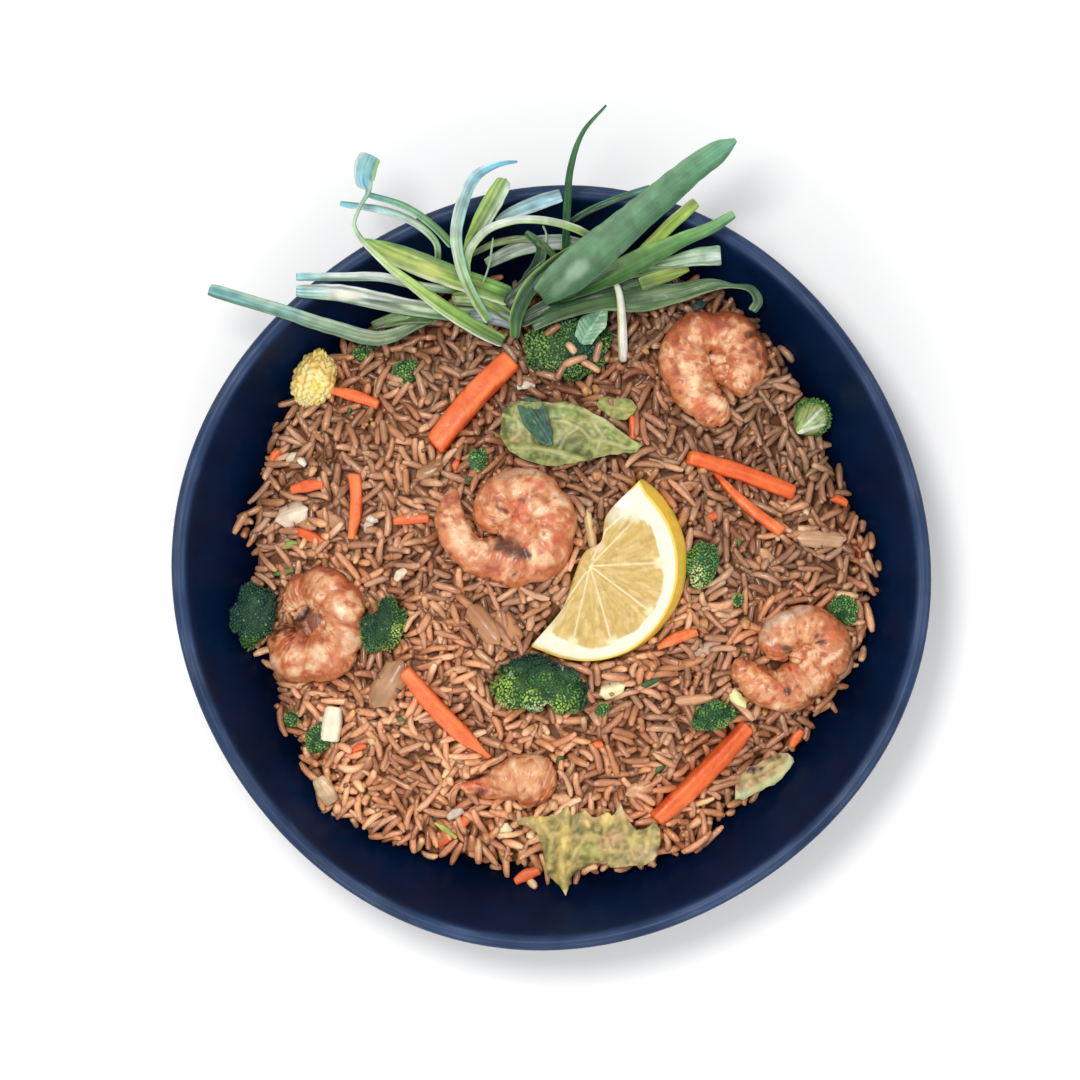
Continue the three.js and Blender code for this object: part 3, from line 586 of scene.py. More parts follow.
# the heap spills further out here and there
SPILLS = [(542, 896, 22, 14, 5.0), (276, 728, 14, 10, 3.5), (720, 842, 26, 10, 3.5), (880, 545, 16, 26, 3.5), (240, 512, 10, 16, 3.0), (486, 872, 26, 10, 2.5), (330, 808, 14, 12, 2.0)]
for px, py, rx, ry, more in SPILLS:
    edge_noise = edge_noise + more * blob(np.stack([GX, GY, 0 * GX + 50], -1), px, py, rx, ry, 0, 1.2)
TARGET = heap_z(GX, GY) + 1.7 * noise(flat(GX, GY), 13, 21) + 1.5 * noise(flat(GX, GY), 6.0, 22) + 0.2
rim_fall = smooth((GR - (HEAP_R - 2.5 + edge_noise)) / 5.5)
TARGET = TARGET * (1 - rim_fall) + (WALL_MAP + 0.6) * rim_fall
TARGET = np.where(GR > HEAP_R + 3.4 + edge_noise, WALL_MAP - 5, TARGET)
CEILING = np.full(GX.shape, 999.0)
COVER = np.full(GX.shape, -999.0)
for node_name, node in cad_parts.items():
    if node_name in ("bowl", "rice_heap"):
        continue
    low, high = np.full(GX.shape, 999.0), np.full(GX.shape, -999.0)
    raster(node, low, high)
    CEILING = np.minimum(CEILING, low)
    COVER = np.where(low < TARGET + 1.2, np.maximum(COVER, high), COVER)


def shrink(mask, times):
    for _ in range(times):
        mask = mask & np.roll(mask, 1, 0) & np.roll(mask, -1, 0) & np.roll(mask, 1, 1) & np.roll(mask, -1, 1)
    return mask


COVERED = shrink(CEILING < TARGET + 0.6, 2)
GOAL = np.where(COVERED, np.minimum(TARGET, CEILING - 1.0), TARGET)
CORE_TOP = np.minimum(heap_z(GX, GY) - 4.4 + 0.7 * noise(flat(GX, GY), 3.2, 31), GOAL - 3.2)
CORE_TOP = np.minimum(CORE_TOP, np.where(CEILING < 900, CEILING - 1.2, 999))
core_edge = smooth((GR - (HEAP_R - 7)) / 5.0)
CORE_TOP = CORE_TOP * (1 - core_edge) + (WALL_MAP - 0.8) * core_edge


def core_of_rice():
    """The solid part of the heap below the loose grains."""
    n, m = 160, 70
    a = np.linspace(0, 2 * np.pi, n, endpoint=False)[:, None]
    f = np.linspace(0.01, 1, m)[None, :] ** 0.8
    r = f * (heap_radius(a) - 2.5)
    x, y = r * np.cos(a), r * np.sin(a)
    ix, iy = cell(x, y)
    z = np.maximum(CORE_TOP[ix, iy], wall_z(r) + 0.45)
    top = np.stack([x, y, z], -1)
    rings = [top[:, ::-1].transpose(1, 0, 2)]
    under_f = np.array([0.985, 0.9, 0.75, 0.5, 0.2])
    # from the middle out over the top, then back in along the wall
    rings = [top.transpose(1, 0, 2)]
    for g in (1.0, *under_f):
        ru = g * (heap_radius(a[:, 0]) - 2.5)
        zu = wall_z(ru) + 0.3
        k = out_of_round(a[:, 0], zu)
        rings.append(np.stack([ru * np.cos(a[:, 0]) * k, ru * np.sin(a[:, 0]) * k, zu], -1)[None])
    P = np.concatenate(rings)
    # painted shade: the core is painted a darker brown than the grains, so that where it shows between them it reads as
    # the shade in the gaps
    c = plain(P.shape[:2], (150, 98, 68))
    c = mix(c, (104, 66, 46), 0.5 * smooth(0.5 + 1.2 * noise(P, 3.0, 9)))
    c = mix(c, (150, 104, 76), 0.35 * smooth(0.4 + 1.4 * noise(P, 2.0, 10) - 0.4))
    return tube(P, (0, 0, float(CORE_TOP[COUNT // 2, COUNT // 2])), (0, 0, 7.4), c)


add("rice_core_visual", [core_of_rice()], CORE, ("rice_heap",))

# ------------------------------------------------------------------ rice grains


def pack_grains():
    """Drops grains one by one on a height map until the heap is as high as it should be."""
    rng = np.random.default_rng(8)
    H = np.maximum(CORE_TOP, WALL_MAP)
    want = GOAL.copy()
    heading_a = 2.2 * noise(flat(GX, GY), 21, 41) * np.pi + 0.9 * noise(flat(GX, GY), 9, 42) * np.pi
    grains = []

    def cover(x, y, z0, a, slope, L, W, T):
        """Raises the height map to the top of one grain."""
        dx, dy = math.cos(a), math.sin(a)
        R = 0.5 * L + 1
        i0, j0 = cell(x - R, y - R)
        i1, j1 = cell(x + R, y + R)
        X, Y = GX[i0 : i1 + 1, j0 : j1 + 1] - x, GY[i0 : i1 + 1, j0 : j1 + 1] - y
        u, v = (X * dx + Y * dy) / (0.5 * L), (-X * dy + Y * dx) / (0.5 * W)
        e = u**4 * 0.35 + u**2 * 0.65 + v**2
        height = z0 + slope * u * 0.5 * L + 0.5 * T * np.sqrt(np.maximum(0, 1 - e))
        patch = H[i0 : i1 + 1, j0 : j1 + 1]
        patch[e < 1] = np.maximum(patch[e < 1], height[e < 1])

    pitch_x, pitch_y = 4.6, 3.9
    for i in range(-24, 25):
        for j in range(-28, 29):
            x, y = (i + 0.5 * (j % 2)) * pitch_x + rng.normal(0, 0.9), j * pitch_y + rng.normal(0, 0.9)
            ix, iy = cell(x, y)
            if GR[ix, iy] > HEAP_R[ix, iy] - 3 or want[ix, iy] < H[ix, iy] + 1.4:
                continue
            L, W = rng.uniform(6.4, 9.6), rng.uniform(2.1, 2.7)
            T = 0.9 * W
            a = heading_a[ix, iy] + rng.normal(0, 1.0)
            slope = float(np.clip(rng.normal(0, 0.16), -0.4, 0.4))
            z0 = float(H[ix, iy]) * 0.5 + 0.5 * float(max(CORE_TOP[ix, iy], WALL_MAP[ix, iy])) + 0.42 * T
            if z0 + 0.5 * T > CEILING[ix, iy] - 0.2:
                continue
            cover(x, y, z0, a, slope, L, W, T)
            grains.append((x, y, z0, a, slope, L, W, T, 2.6, rng.random(), rng.normal(0, 1)))
    bedded = len(grains)
    limit = bedded + 3200
    candidates = np.argwhere((want > WALL_MAP + 0.2) & (GR < HEAP_R + 7))
    misses = 0
    while len(grains) < limit and misses < 420:
        pick = candidates[rng.integers(0, len(candidates), 28)]
        gap = want[pick[:, 0], pick[:, 1]] - H[pick[:, 0], pick[:, 1]]
        best = int(np.argmax(gap))
        if gap[best] < 0.25:
            misses += 1
            continue
        ix, iy = pick[best]
        x, y = GX[ix, iy], GY[ix, iy]
        kind = rng.random()
        L = np.clip(rng.normal(9.7, 1.5), 6.2, 13.2) if kind > 0.12 else rng.uniform(3.6, 6.0)
        W = np.clip(rng.normal(2.38, 0.2), 1.9, 2.9)
        T = W * rng.uniform(0.8, 0.95)
        a = heading_a[ix, iy] + rng.normal(0, 0.7)
        dx, dy = math.cos(a), math.sin(a)
        s = np.linspace(-0.5, 0.5, 9) * L * 0.92
        half = 0.5 * W * np.sqrt(np.maximum(0, 1 - (2 * s / L) ** 2))
        rows = []
        for side in (-0.6, 0, 0.6):
            jx, jy = cell(x + s * dx - side * half * dy, y + s * dy + side * half * dx)
            rows.append(H[jx, jy] - 0.5 * T * (1 - np.sqrt(np.maximum(0.0, 1 - (2 * s / L) ** 2))) - (0.12 * T if side else 0))
        under = np.max(rows, 0)
        left, right = under[:4], under[5:]
        il, ir = int(np.argmax(left)), 5 + int(np.argmax(right))
        slope = np.clip((under[ir] - under[il]) / (s[ir] - s[il]) + (rng.normal(0, 0.42) if rng.random() < 0.6 else 0.0), -1.1, 1.1)
        z0 = float(np.max(under - slope * s)) + 0.5 * T * 0.72
        top = z0 + 0.5 * T
        if top > want[ix, iy] + 2.3:
            misses += 1
            want[ix - 1 : ix + 2, iy - 1 : iy + 2] -= 0.5
            continue
        # cells under the grain
        R = 0.5 * L + 1
        i0, j0 = cell(x - R, y - R)
        i1, j1 = cell(x + R, y + R)
        X, Y = GX[i0 : i1 + 1, j0 : j1 + 1] - x, GY[i0 : i1 + 1, j0 : j1 + 1] - y
        u, v = (X * dx + Y * dy) / (0.5 * L), (-X * dy + Y * dx) / (0.5 * W)
        e = u**4 * 0.35 + u**2 * 0.65 + v**2
        inside = e < 1
        height = z0 + slope * u * 0.5 * L + 0.5 * T * np.sqrt(np.maximum(0, 1 - e))
        roof = CEILING[i0 : i1 + 1, j0 : j1 + 1]
        cover = COVERED[i0 : i1 + 1, j0 : j1 + 1]
        over = inside & (height > roof + 0.4)
        if over.sum() > 0.30 * max(1, inside.sum()) or (inside & (height > roof + 2.6)).any() or (inside & cover & (height > roof - 0.2)).sum() > 0.22 * inside.sum():
            misses += 1
            want[ix - 1 : ix + 2, iy - 1 : iy + 2] -= 0.6
            continue
        patch = H[i0 : i1 + 1, j0 : j1 + 1]
        patch[inside] = np.maximum(patch[inside], height[inside])
        misses = 0
        depth = TARGET[ix, iy] - top
        grains.append((x, y, z0, a, slope, L, W, T, depth, rng.random(), rng.normal(0, 1)))
    return np.array(grains), H, bedded


GRAINS, RICE_TOP, BEDDED = pack_grains()


def grain_mesh(g, rings=6, sides=7, seed=0):
    """Rice grains as closed skins: rows of x, y, z, heading, slope, length, width, thickness, depth, pick, bend."""
    n = len(g)
    rng = np.random.default_rng(77 + seed)
    x, y, z, a, slope, L, W, T, depth, pick, bend = g.T
    d = np.stack([np.cos(a), np.sin(a), slope], -1)
    d = unit(d)
    side = unit(np.stack([-np.sin(a), np.cos(a), np.zeros(n)], -1))
    up = np.cross(d, side)
    roll = rng.uniform(-0.5, 0.5, n)[:, None]
    side, up = side * np.cos(roll) + up * np.sin(roll), up * np.cos(roll) - side * np.sin(roll)
    s = -np.cos(np.linspace(0, np.pi, rings + 2)[1:-1])
    s = s / s.max() * 0.93
    th = np.linspace(0, 2 * np.pi, sides, endpoint=False)
    rad = np.maximum(0, 1 - np.abs(s) ** 7.0) ** 0.5
    skew = rng.uniform(-0.16, 0.16, n)[:, None]
    body = rad[None, :] * (1 + skew * s[None, :])
    arch = 0.060 * bend[:, None] * L[:, None] * (1 - s[None, :] ** 2)
    swell = 1 + 0.07 * np.sin(rng.uniform(0, 6.28, n)[:, None] + s[None, :] * rng.uniform(2, 4, n)[:, None])
    body = body * swell
    centre = (
        np.stack([x, y, z], -1)[:, None, :]
        + d[:, None, :] * (s[None, :, None] * 0.5 * L[:, None, None])
        + side[:, None, :] * arch[..., None]
        + up[:, None, :] * (0.02 * L[:, None] * rng.normal(0, 1, n)[:, None] * (1 - s[None, :] ** 2))[..., None]
    )
    ring = (
        centre[:, :, None, :]
        + side[:, None, None, :] * (np.cos(th)[None, None, :, None] * body[:, :, None, None] * 0.5 * W[:, None, None, None])
        + up[:, None, None, :] * (np.sin(th)[None, None, :, None] * body[:, :, None, None] * 0.5 * T[:, None, None, None])
    )
    tips = np.stack([x, y, z], -1)[:, None, :] + d[:, None, :] * (np.array([-1, 1])[None, :, None] * 0.5 * L[:, None, None])
    per = rings * sides + 2
    v = np.concatenate([ring.reshape(n, rings * sides, 3), tips], 1).reshape(-1, 3)
    q = quads(rings, sides, wrap_v=True)[:, ::-1]
    j = np.arange(sides)
    t1 = np.stack([np.full(sides, rings * sides), j, (j + 1) % sides], -1)[:, ::-1]
    t2 = np.stack([np.full(sides, rings * sides + 1), (rings - 1) * sides + (j + 1) % sides, (rings - 1) * sides + j], -1)[:, ::-1]
    off = (np.arange(n) * per)[:, None, None]
    faces = [(f[None] + off).reshape(-1, f.shape[1]) for f in (q, t1, t2)]
    one = [f[: len(k)] for f, k in zip(faces, (q, t1, t2))]
    if outward(v[:per], one)[0][0, 0] != one[0][0, 0]:
        faces = [f[:, ::-1] for f in faces]
    # one colour for each grain: pale, tan, oily brown or browned, with painted shade on the grains that lie deeper,
    # down in the gaps
    base = keys([(234, 182, 144), (216, 158, 116), (204, 146, 106), (222, 166, 126), (192, 132, 94), (238, 194, 156), (208, 146, 98)], pick)
    base = 0.76 * base + 0.23 * np.array([210, 152, 112])
    stain = smooth(0.5 + 1.2 * noise(flat(x, y), 12, 55))[:, None]
    base = base * (1 - 0.16 * stain * np.array([0.5, 0.9, 1.2]))
    # painted shade: grains lying deeper below the top of the heap are painted darker
    dim = np.clip(1.0 - 0.05 * np.clip(depth - 0.3, 0, 4), 0.78, 1.0)[:, None]
    base = base * (dim ** np.array([0.85, 1.05, 1.2]))
    clump = smooth(0.5 + 1.5 * noise(flat(x, y), 15, 57))[:, None]
    base = base * (1 - 0.12 * clump)
    base = base * rng.uniform(0.9, 1.08, (n, 1))
    # painted light: the next two lines paint the grains lighter towards the south of the bowl and darker in the
    # north-east
    base = base * (1.02 - 0.18 * (0.2 * x + 0.85 * y) / 90)[:, None]
    base = base * (1 + 0.12 * np.exp(-(((x - 5) / 48) ** 2) - ((y + 86) / 28) ** 2) - 0.06 * np.exp(-(((x - 60) / 32) ** 2) - ((y - 52) / 30) ** 2))[:, None]
    # painted light: each grain is painted pale on its crown, which faces up, and darker along its flanks
    crown = np.clip(up[:, None, 2] * np.sin(th)[None] + side[:, None, 2] * np.cos(th)[None], -1, 1)
    painted_top_light = 0.86 + 0.13 * smooth(0.5 + 0.9 * crown) * rng.uniform(0.6, 1.2, (n, 1))
    along = 1 + 0.10 * np.sin(rng.uniform(0, 6.28, n)[:, None] + 2.4 * s[None, :])
    shade = (along[:, :, None] * painted_top_light[:, None, :]).reshape(n, rings * sides)
    shade = np.concatenate([shade, np.full((n, 2), 0.86)], 1)
    c = base[:, None, :] * shade[..., None] ** np.array([0.8, 1.0, 1.15])
    tip_dark = rng.random(n) < 0.2
    c[tip_dark, : sides] *= 0.84
    return v, faces, c.reshape(-1, 3)


add("rice_grains_lower", [grain_mesh(GRAINS[:BEDDED], rings=4, sides=6)], RICE)
add("rice_grains_upper", [grain_mesh(GRAINS[BEDDED:], rings=5, sides=6, seed=1)], RICE)

# ------------------------------------------------------------------ prawns


def curl(turns):
    return [(r * math.cos(math.radians(a)), r * math.sin(math.radians(a)), w) for a, r, w in turns]


CREAM, PEACH, ORANGE, BROWN = (255, 226, 188), (214, 148, 100), (208, 112, 60), (160, 74, 40)
RUST, CHAR, DEEP, PINK = (150, 60, 34), (72, 38, 24), (98, 46, 28), (226, 116, 80)

# the patches and lines are read off the picture: browning, char and rust are the flesh's own; the cream and white
# patches and pale streaks are partly cream flesh and partly painted highlights; the darkest marks in the slits and the
# hole are painted shade
PRAWNS = {
    "prawn_centre": dict(
        at=(-9.5, 13.1, 1.6), height=0.82, curled=True, seed=1, segments=7,
        line=curl([(150, 25, 4.2), (176, 22.6, 5.8), (203, 18.6, 5.4), (232, 12.6, 7.4), (268, 10.3, 8.7), (310, 9.4, 8.7), (352, 9, 8.4), (394, 9.3, 8.6), (436, 9.8, 8.9), (478, 10, 8.9), (518, 9.2, 7.9), (556, 7.4, 5.6)]),
        patches=[
            (538, 509, 11, 7, 0, CREAM, 0.9), (560, 499, 9, 8, 0, CREAM, 0.85), (547, 535, 7, 5, 0, CREAM, 0.9),
            (533, 555, 6, 11, 0, CREAM, 0.85), (518, 490, 8, 8, 0, CREAM, 0.85), (547, 559, 8, 8, 0, CREAM, 0.7),
            (459, 535, 10, 14, 0, CREAM, 0.75), (467, 545, 7, 7, 0, CREAM, 0.6), (480, 546, 7, 6, 0, CREAM, 0.7),
            (540, 484, 6, 5, 0, (214, 104, 66), 0.8), (529, 481, 5, 4, 0, (214, 104, 66), 0.7), (551, 517, 6, 5, 0, (210, 110, 74), 0.8),
            (520, 515, 10, 12, 0, PINK, 0.7), (536, 528, 5, 4, 0, PINK, 0.6), (527, 540, 5, 5, 0, PINK, 0.6), (547, 546, 5, 4, 0, PINK, 0.5),
            (451, 499, 10, 6, -20, BROWN, 0.85), (444, 526, 2.5, 2.5, 0, RUST, 0.8), (439, 514, 2.5, 2.5, 0, RUST, 0.8),
            (449, 555, 3, 3, 0, CHAR, 0.9), (492, 570, 9, 7, 0, (196, 110, 66), 0.7),
            (512, 547, 13, 9, 40, (110, 56, 34), 0.75), (499, 546, 4, 4, 0, CHAR, 0.9), (525, 554, 3.5, 3.5, 0, CHAR, 0.9),
            (515, 575, 2.5, 2.5, 0, (60, 70, 36), 0.9), (522, 501, 3, 2, 0, DEEP, 0.5),
        ],
        lines=[
            ([(555, 543), (569, 521)], 2.6, (206, 96, 58), 0.8), ([(497, 505), (508, 513)], 2.2, DEEP, 0.9),
            ([(497, 538), (512, 549), (527, 555)], 3.5, CHAR, 0.85), ([(484, 566), (500, 574)], 1.8, BROWN, 0.9),
            ([(486, 574), (500, 566)], 1.4, BROWN, 0.7), ([(478, 586), (492, 587), (502, 583)], 2.2, RUST, 0.85),
            ([(536, 575), (558, 566)], 1.8, BROWN, 0.8), ([(487, 477), (520, 471), (555, 472)], 3, (214, 196, 178), 0.6),
            ([(486, 512), (480, 526)], 1.5, ORANGE, 0.7), ([(493, 512), (484, 528)], 1.5, ORANGE, 0.7),
        ],
        slits=[([(486, 499), (503, 499)], 1.6, 0.8), ([(510, 523), (523, 501)], 1.6, 0.7), ([(533, 489), (547, 502)], 1.6, 0.8),
               ([(467, 513), (484, 535), (492, 548)], 2.0, 1.1)],
        plug=(0.0, 0.0, 8.4, 0.86),
    ),
    "prawn_north_east": dict(
        at=(51, 67.1, 1.6), height=0.86, curled=True, seed=2, segments=7,
        line=curl([(-70, 10, 8), (-34, 9.6, 8.8), (8, 9.1, 8.4), (46, 8.7, 8), (86, 7.8, 6.8), (126, 8.4, 7.4), (166, 9, 8.1), (204, 9.6, 8.1), (236, 11.6, 7.3), (258, 14.8, 6.7), (273, 17.6, 6.2), (285, 20, 5)]),
        patches=[
            (707, 328, 15, 7, 0, (192, 92, 56), 0.8), (722, 320, 8, 8, 0, RUST, 0.8), (732, 325, 6, 4, 0, BROWN, 0.7),
            (751, 333, 4, 4, 0, CHAR, 0.85), (755, 345, 4, 4, 0, DEEP, 0.7), (757, 355, 3, 4, 0, DEEP, 0.7), (745, 352, 3, 3, 0, RUST, 0.7),
            (760, 368, 3, 3, 0, DEEP, 0.8), (752, 362, 3, 3, 0, RUST, 0.7), (675, 340, 5, 7, 0, BROWN, 0.7), (674, 362, 4, 6, 0, BROWN, 0.8),
            (676, 372, 3, 4, 0, RUST, 0.7), (683, 381, 2, 2, 0, RUST, 0.9), (680, 392, 2, 2, 0, RUST, 0.9),
            (696, 358, 10, 4, 0, ORANGE, 0.7), (696, 330, 5, 2.4, 10, CREAM, 0.7), (713, 342, 5, 3, 0, CREAM, 0.8), (711, 357, 5, 3, 0, (252, 238, 222), 0.8),
            (727, 350, 3, 6, 0, CREAM, 0.7), (695, 380, 7, 9, 0, CREAM, 0.9), (720, 402, 14, 8, 20, CREAM, 0.85), (745, 372, 8, 9, 0, (246, 210, 170), 0.8),
            (737, 379, 1.8, 1.8, 0, RUST, 0.8), (747, 385, 1.8, 1.8, 0, RUST, 0.8), (697, 348, 5, 4, 0, (206, 158, 112), 0.6), (723, 358, 4, 4, 0, (206, 158, 112), 0.6),
            (740, 410, 4, 8, 0, (190, 92, 58), 0.8), (698, 405, 6, 5, 0, (226, 112, 66), 0.8), (727, 424, 9, 6, 0, (240, 190, 142), 0.6),
        ],
        lines=[
            ([(675, 322), (700, 313), (728, 310), (752, 322), (765, 340), (768, 362)], 4.5, (158, 76, 46), 0.85),
            ([(743, 403), (756, 394), (765, 383)], 4, (206, 190, 172), 0.6),
        ],
        slits=[([(708, 388), (728, 397), (738, 403)], 1.8, 1.0)],
        plug=(4.2, -2.6, 6.4, 0.62),
    ),
    "prawn_west": dict(
        at=(-75.5, -17.7, 2.2), height=0.88, curled=True, seed=3, segments=7,
        line=curl([(-179, 12, 6.4), (-152, 11.4, 8.4), (-124, 11, 9.2), (-88, 10, 8.5), (-54, 10.2, 8.2), (-26, 10.2, 7.6), (0, 10.4, 7), (26, 10.9, 8), (52, 11.4, 7.8), (80, 11.4, 7.2), (108, 11.4, 6), (136, 11, 4.4), (160, 10.8, 3.2)]),
        patches=[
            (307, 589, 14, 10, 0, (186, 104, 62), 0.85), (318, 593, 5, 6, 0, (250, 222, 184), 0.85), (330, 581, 5, 4, 0, (246, 206, 160), 0.8),
            (294, 610, 8, 9, 0, CREAM, 0.8), (340, 612, 4, 7, -40, (255, 240, 214), 0.9), (351, 595, 4, 4, 0, CREAM, 0.7), (361, 606, 4, 5, 0, CREAM, 0.6), (353, 618, 5, 4, 0, CREAM, 0.7),
            (310, 620, 12, 7, -30, (104, 52, 32), 0.8), (302, 638, 14, 9, 0, (186, 96, 62), 0.7), (291, 638, 3, 3, 0, RUST, 0.8), (303, 641, 3, 3, 0, RUST, 0.8),
            (315, 624, 6, 5, 0, (130, 66, 40), 0.7), (315, 635, 7, 6, 0, ORANGE, 0.7), (319, 653, 9, 8, 0, (252, 228, 192), 0.85), (311, 666, 7, 5, 0, (255, 238, 210), 0.85),
            (296, 672, 6, 5, 0, CREAM, 0.7), (273, 663, 6, 9, 0, CREAM, 0.7), (345, 653, 7, 6, 0, CREAM, 0.6), (283, 663, 4, 8, 0, ORANGE, 0.7), (281, 647, 5, 4, 0, ORANGE, 0.6),
            (338, 653, 4, 6, 0, ORANGE, 0.6), (273, 638, 3, 3, 0, DEEP, 0.85), (265, 624, 5, 6, 0, (118, 60, 38), 0.75), (268, 637, 4, 3, 0, PINK, 0.5),
            (361, 629, 4, 5, 0, (196, 140, 104), 0.7), (350, 641, 7, 7, 0, (236, 220, 196), 0.7),
            (297, 628, 6, 4, -10, (96, 48, 28), 0.85), (306, 634, 5, 4, 0, (104, 54, 32), 0.8), (288, 634, 4, 3, 0, (92, 46, 28), 0.8), (314, 629, 4, 3, 0, (108, 56, 34), 0.75),
            (300, 642, 4, 2, 0, (128, 62, 38), 0.7), (270, 632, 5, 4, 30, (88, 44, 28), 0.7), (320, 640, 4, 3, 0, (150, 76, 46), 0.6), (300, 655, 14, 7, 0, (244, 204, 160), 0.45),
        ],
        lines=[
            ([(273, 601), (285, 584), (301, 570), (316, 567), (336, 572), (358, 586), (370, 606)], 4, (150, 74, 44), 0.8),
            ([(347, 588), (353, 590), (358, 587)], 2.5, RUST, 0.7),
            ([(275, 632), (285, 628), (301, 618), (308, 609)], 2.6, (40, 20, 16), 0.9),
        ],
        slits=[([(275, 632), (285, 628), (301, 618), (308, 609)], 2.4, 1.3), ([(324, 612), (340, 622), (358, 628)], 1.9, 0.8)],
        plug=(1.5, -0.5, 8.6, 0.70),
    ),
    "prawn_east": dict(
        at=(79.7, -26.1, 2.0), height=0.92, curled=True, seed=4, segments=7,
        line=curl([(185, 21.4, 3.4), (198, 20, 5.2), (214, 18, 5.7), (234, 15.6, 6.6), (256, 11.8, 7.8), (286, 8.6, 7.5), (322, 8, 7.2), (360, 8.1, 7.3), (400, 8.1, 7.3), (440, 7.9, 7), (480, 8.1, 7.3), (520, 8.6, 7.6), (560, 8.4, 6.4)]),
        patches=[
            (770, 642, 6, 4, -20, (252, 246, 236), 0.85), (785, 618, 8, 4, -20, (250, 242, 230), 0.8), (787, 649, 5, 5, 0, (90, 72, 52), 0.9),
            (822, 644, 4, 3, 0, CHAR, 0.95), (816, 635, 2.4, 2.4, 0, CHAR, 0.8), (838, 633, 12, 8, 20, (226, 120, 72), 0.75), (805, 653, 4, 3, 0, BROWN, 0.7), (798, 645, 4, 3, 0, BROWN, 0.7),
            (815, 677, 2, 2, 0, RUST, 0.8), (832, 666, 2, 2, 0, RUST, 0.8), (832, 676, 2, 2, 0, RUST, 0.8), (843, 662, 2, 2, 0, RUST, 0.8),
            (794, 671, 8, 6, 0, (226, 150, 112), 0.6), (791, 669, 1.6, 1.6, 0, (190, 70, 50), 0.8), (798, 674, 1.6, 1.6, 0, (190, 70, 50), 0.8), (789, 677, 1.4, 1.4, 0, (190, 70, 50), 0.8),
            (789, 692, 4, 3, 0, CHAR, 0.85), (757, 676, 13, 10, 20, (234, 150, 92), 0.6), (773, 693, 6, 4, 0, (250, 226, 190), 0.7), (777, 707, 5, 3, 0, (250, 226, 190), 0.6),
            (745, 662, 6, 4, 0, (180, 92, 58), 0.7), (759, 694, 2, 2, 0, (186, 66, 46), 0.8), (812, 690, 9, 6, 0, CREAM, 0.5),
        ],
        lines=[
            ([(757, 640), (770, 623), (787, 612), (808, 607)], 5, (218, 204, 188), 0.75), ([(818, 643), (826, 642)], 1.8, (90, 44, 26), 0.8),
            ([(803, 665), (818, 650)], 3.0, (255, 226, 190), 0.95), ([(823, 663), (842, 652)], 2.6, CREAM, 0.9), ([(815, 679), (826, 676)], 2.4, CREAM, 0.8),
            ([(808, 698), (818, 700)], 1.8, CHAR, 0.8), ([(748, 672), (767, 682)], 2.6, (250, 214, 160), 0.8),
        ],
        slits=[([(760, 665), (780, 680), (788, 690)], 2.0, 1.1)],
        plug=(0.5, -0.5, 5.4, 0.45),
    ),
    "prawn_south": dict(
        at=(-9.1, -67.8, 0.4), height=0.78, curled=False, seed=5, segments=3,
        line=[(-21.3, -0.6, 0.6), (-16.9, -1.3, 2.4), (-11.6, -1.4, 3.8), (-6.3, 0.2, 6.2), (-1, 1.2, 8.4), (4.4, 0, 9), (10, -2.4, 7)],
        patches=[
            (520, 776, 20, 18, 0, (228, 172, 122), 0.6), (512, 762, 4, 9, 0, (250, 220, 182), 0.8), (526, 789, 1.8, 1.8, 0, RUST, 0.8), (538, 768, 5, 8, 0, (246, 208, 164), 0.6),
            (507, 800, 7, 4, 0, BROWN, 0.8), (530, 802, 8, 4, 0, BROWN, 0.7), (541, 806, 6, 4, 0, DEEP, 0.7), (509, 804, 2.6, 2.6, 0, CHAR, 0.95),
            (475, 785, 12, 6, 0, (224, 112, 66), 0.75), (480, 792, 6, 4, 0, DEEP, 0.8), (472, 772, 5, 3, 0, DEEP, 0.75), (506, 747, 3, 3, 0, (200, 84, 54), 0.8),
        ],
        lines=[([(470, 797), (488, 801), (505, 805)], 2.4, (230, 128, 74), 0.8), ([(455, 785), (468, 784)], 2.4, (214, 96, 58), 0.7)],
        slits=[([(478, 782), (496, 790)], 1.6, 0.8)],
    ),
}


def prawn_base(P, seed):
    """Fried flesh: peach with cream and orange clouds, and a net of red-orange veins."""
    c = plain(P.shape[:-1], PEACH)
    mott = fbm(P, 5.5, 3, seed + 20)
    c = mix(c, (246, 206, 160), 0.85 * smooth(0.05 + 2.4 * mott))
    c = mix(c, (200, 118, 70), 0.7 * smooth(0.05 - 2.4 * mott))
    net = 1 - np.abs(noise(P + 1.6 * noise(P, 4, seed + 31)[..., None], 3.4, seed + 30)) * 5
    c = mix(c, (190, 86, 46), 0.75 * smooth(net) * smooth(0.25 + 1.8 * noise(P, 8, seed + 32)))
    fine = fbm(P, 1.7, 2, seed + 33)
    c = mix(c, (170, 84, 48), 0.7 * smooth((fine - 0.18) * 3.6))
    c = mix(c, (255, 232, 196), 0.6 * smooth((-fine - 0.2) * 3.5))
    burnt = smooth((noise(P, 1.1, seed + 34) - 0.42) * 5) * smooth(0.4 + 1.8 * noise(P, 7, seed + 35))
    c = mix(c, (146, 66, 38), 0.6 * burnt)
    return c


def prawn_relief(P, spec, shown):
    """Cream patches stand a little proud and charred ones are sunk."""
    warp = P + 0.9 * np.stack([noise(P, 2.2, 81), noise(P, 2.2, 82), 0 * P[..., 0]], -1)
    high = np.zeros(P.shape[:-1])
    for x, y, rx, ry, angle, colour, strength in spec["patches"]:
        light = (sum(colour) - 420) / 240
        high = high + np.clip(light, -1, 1) * strength * blob(warp, x, y, rx, ry, angle, 0.7) * shown
    return 0.34 * np.clip(high, -1.2, 1.2)


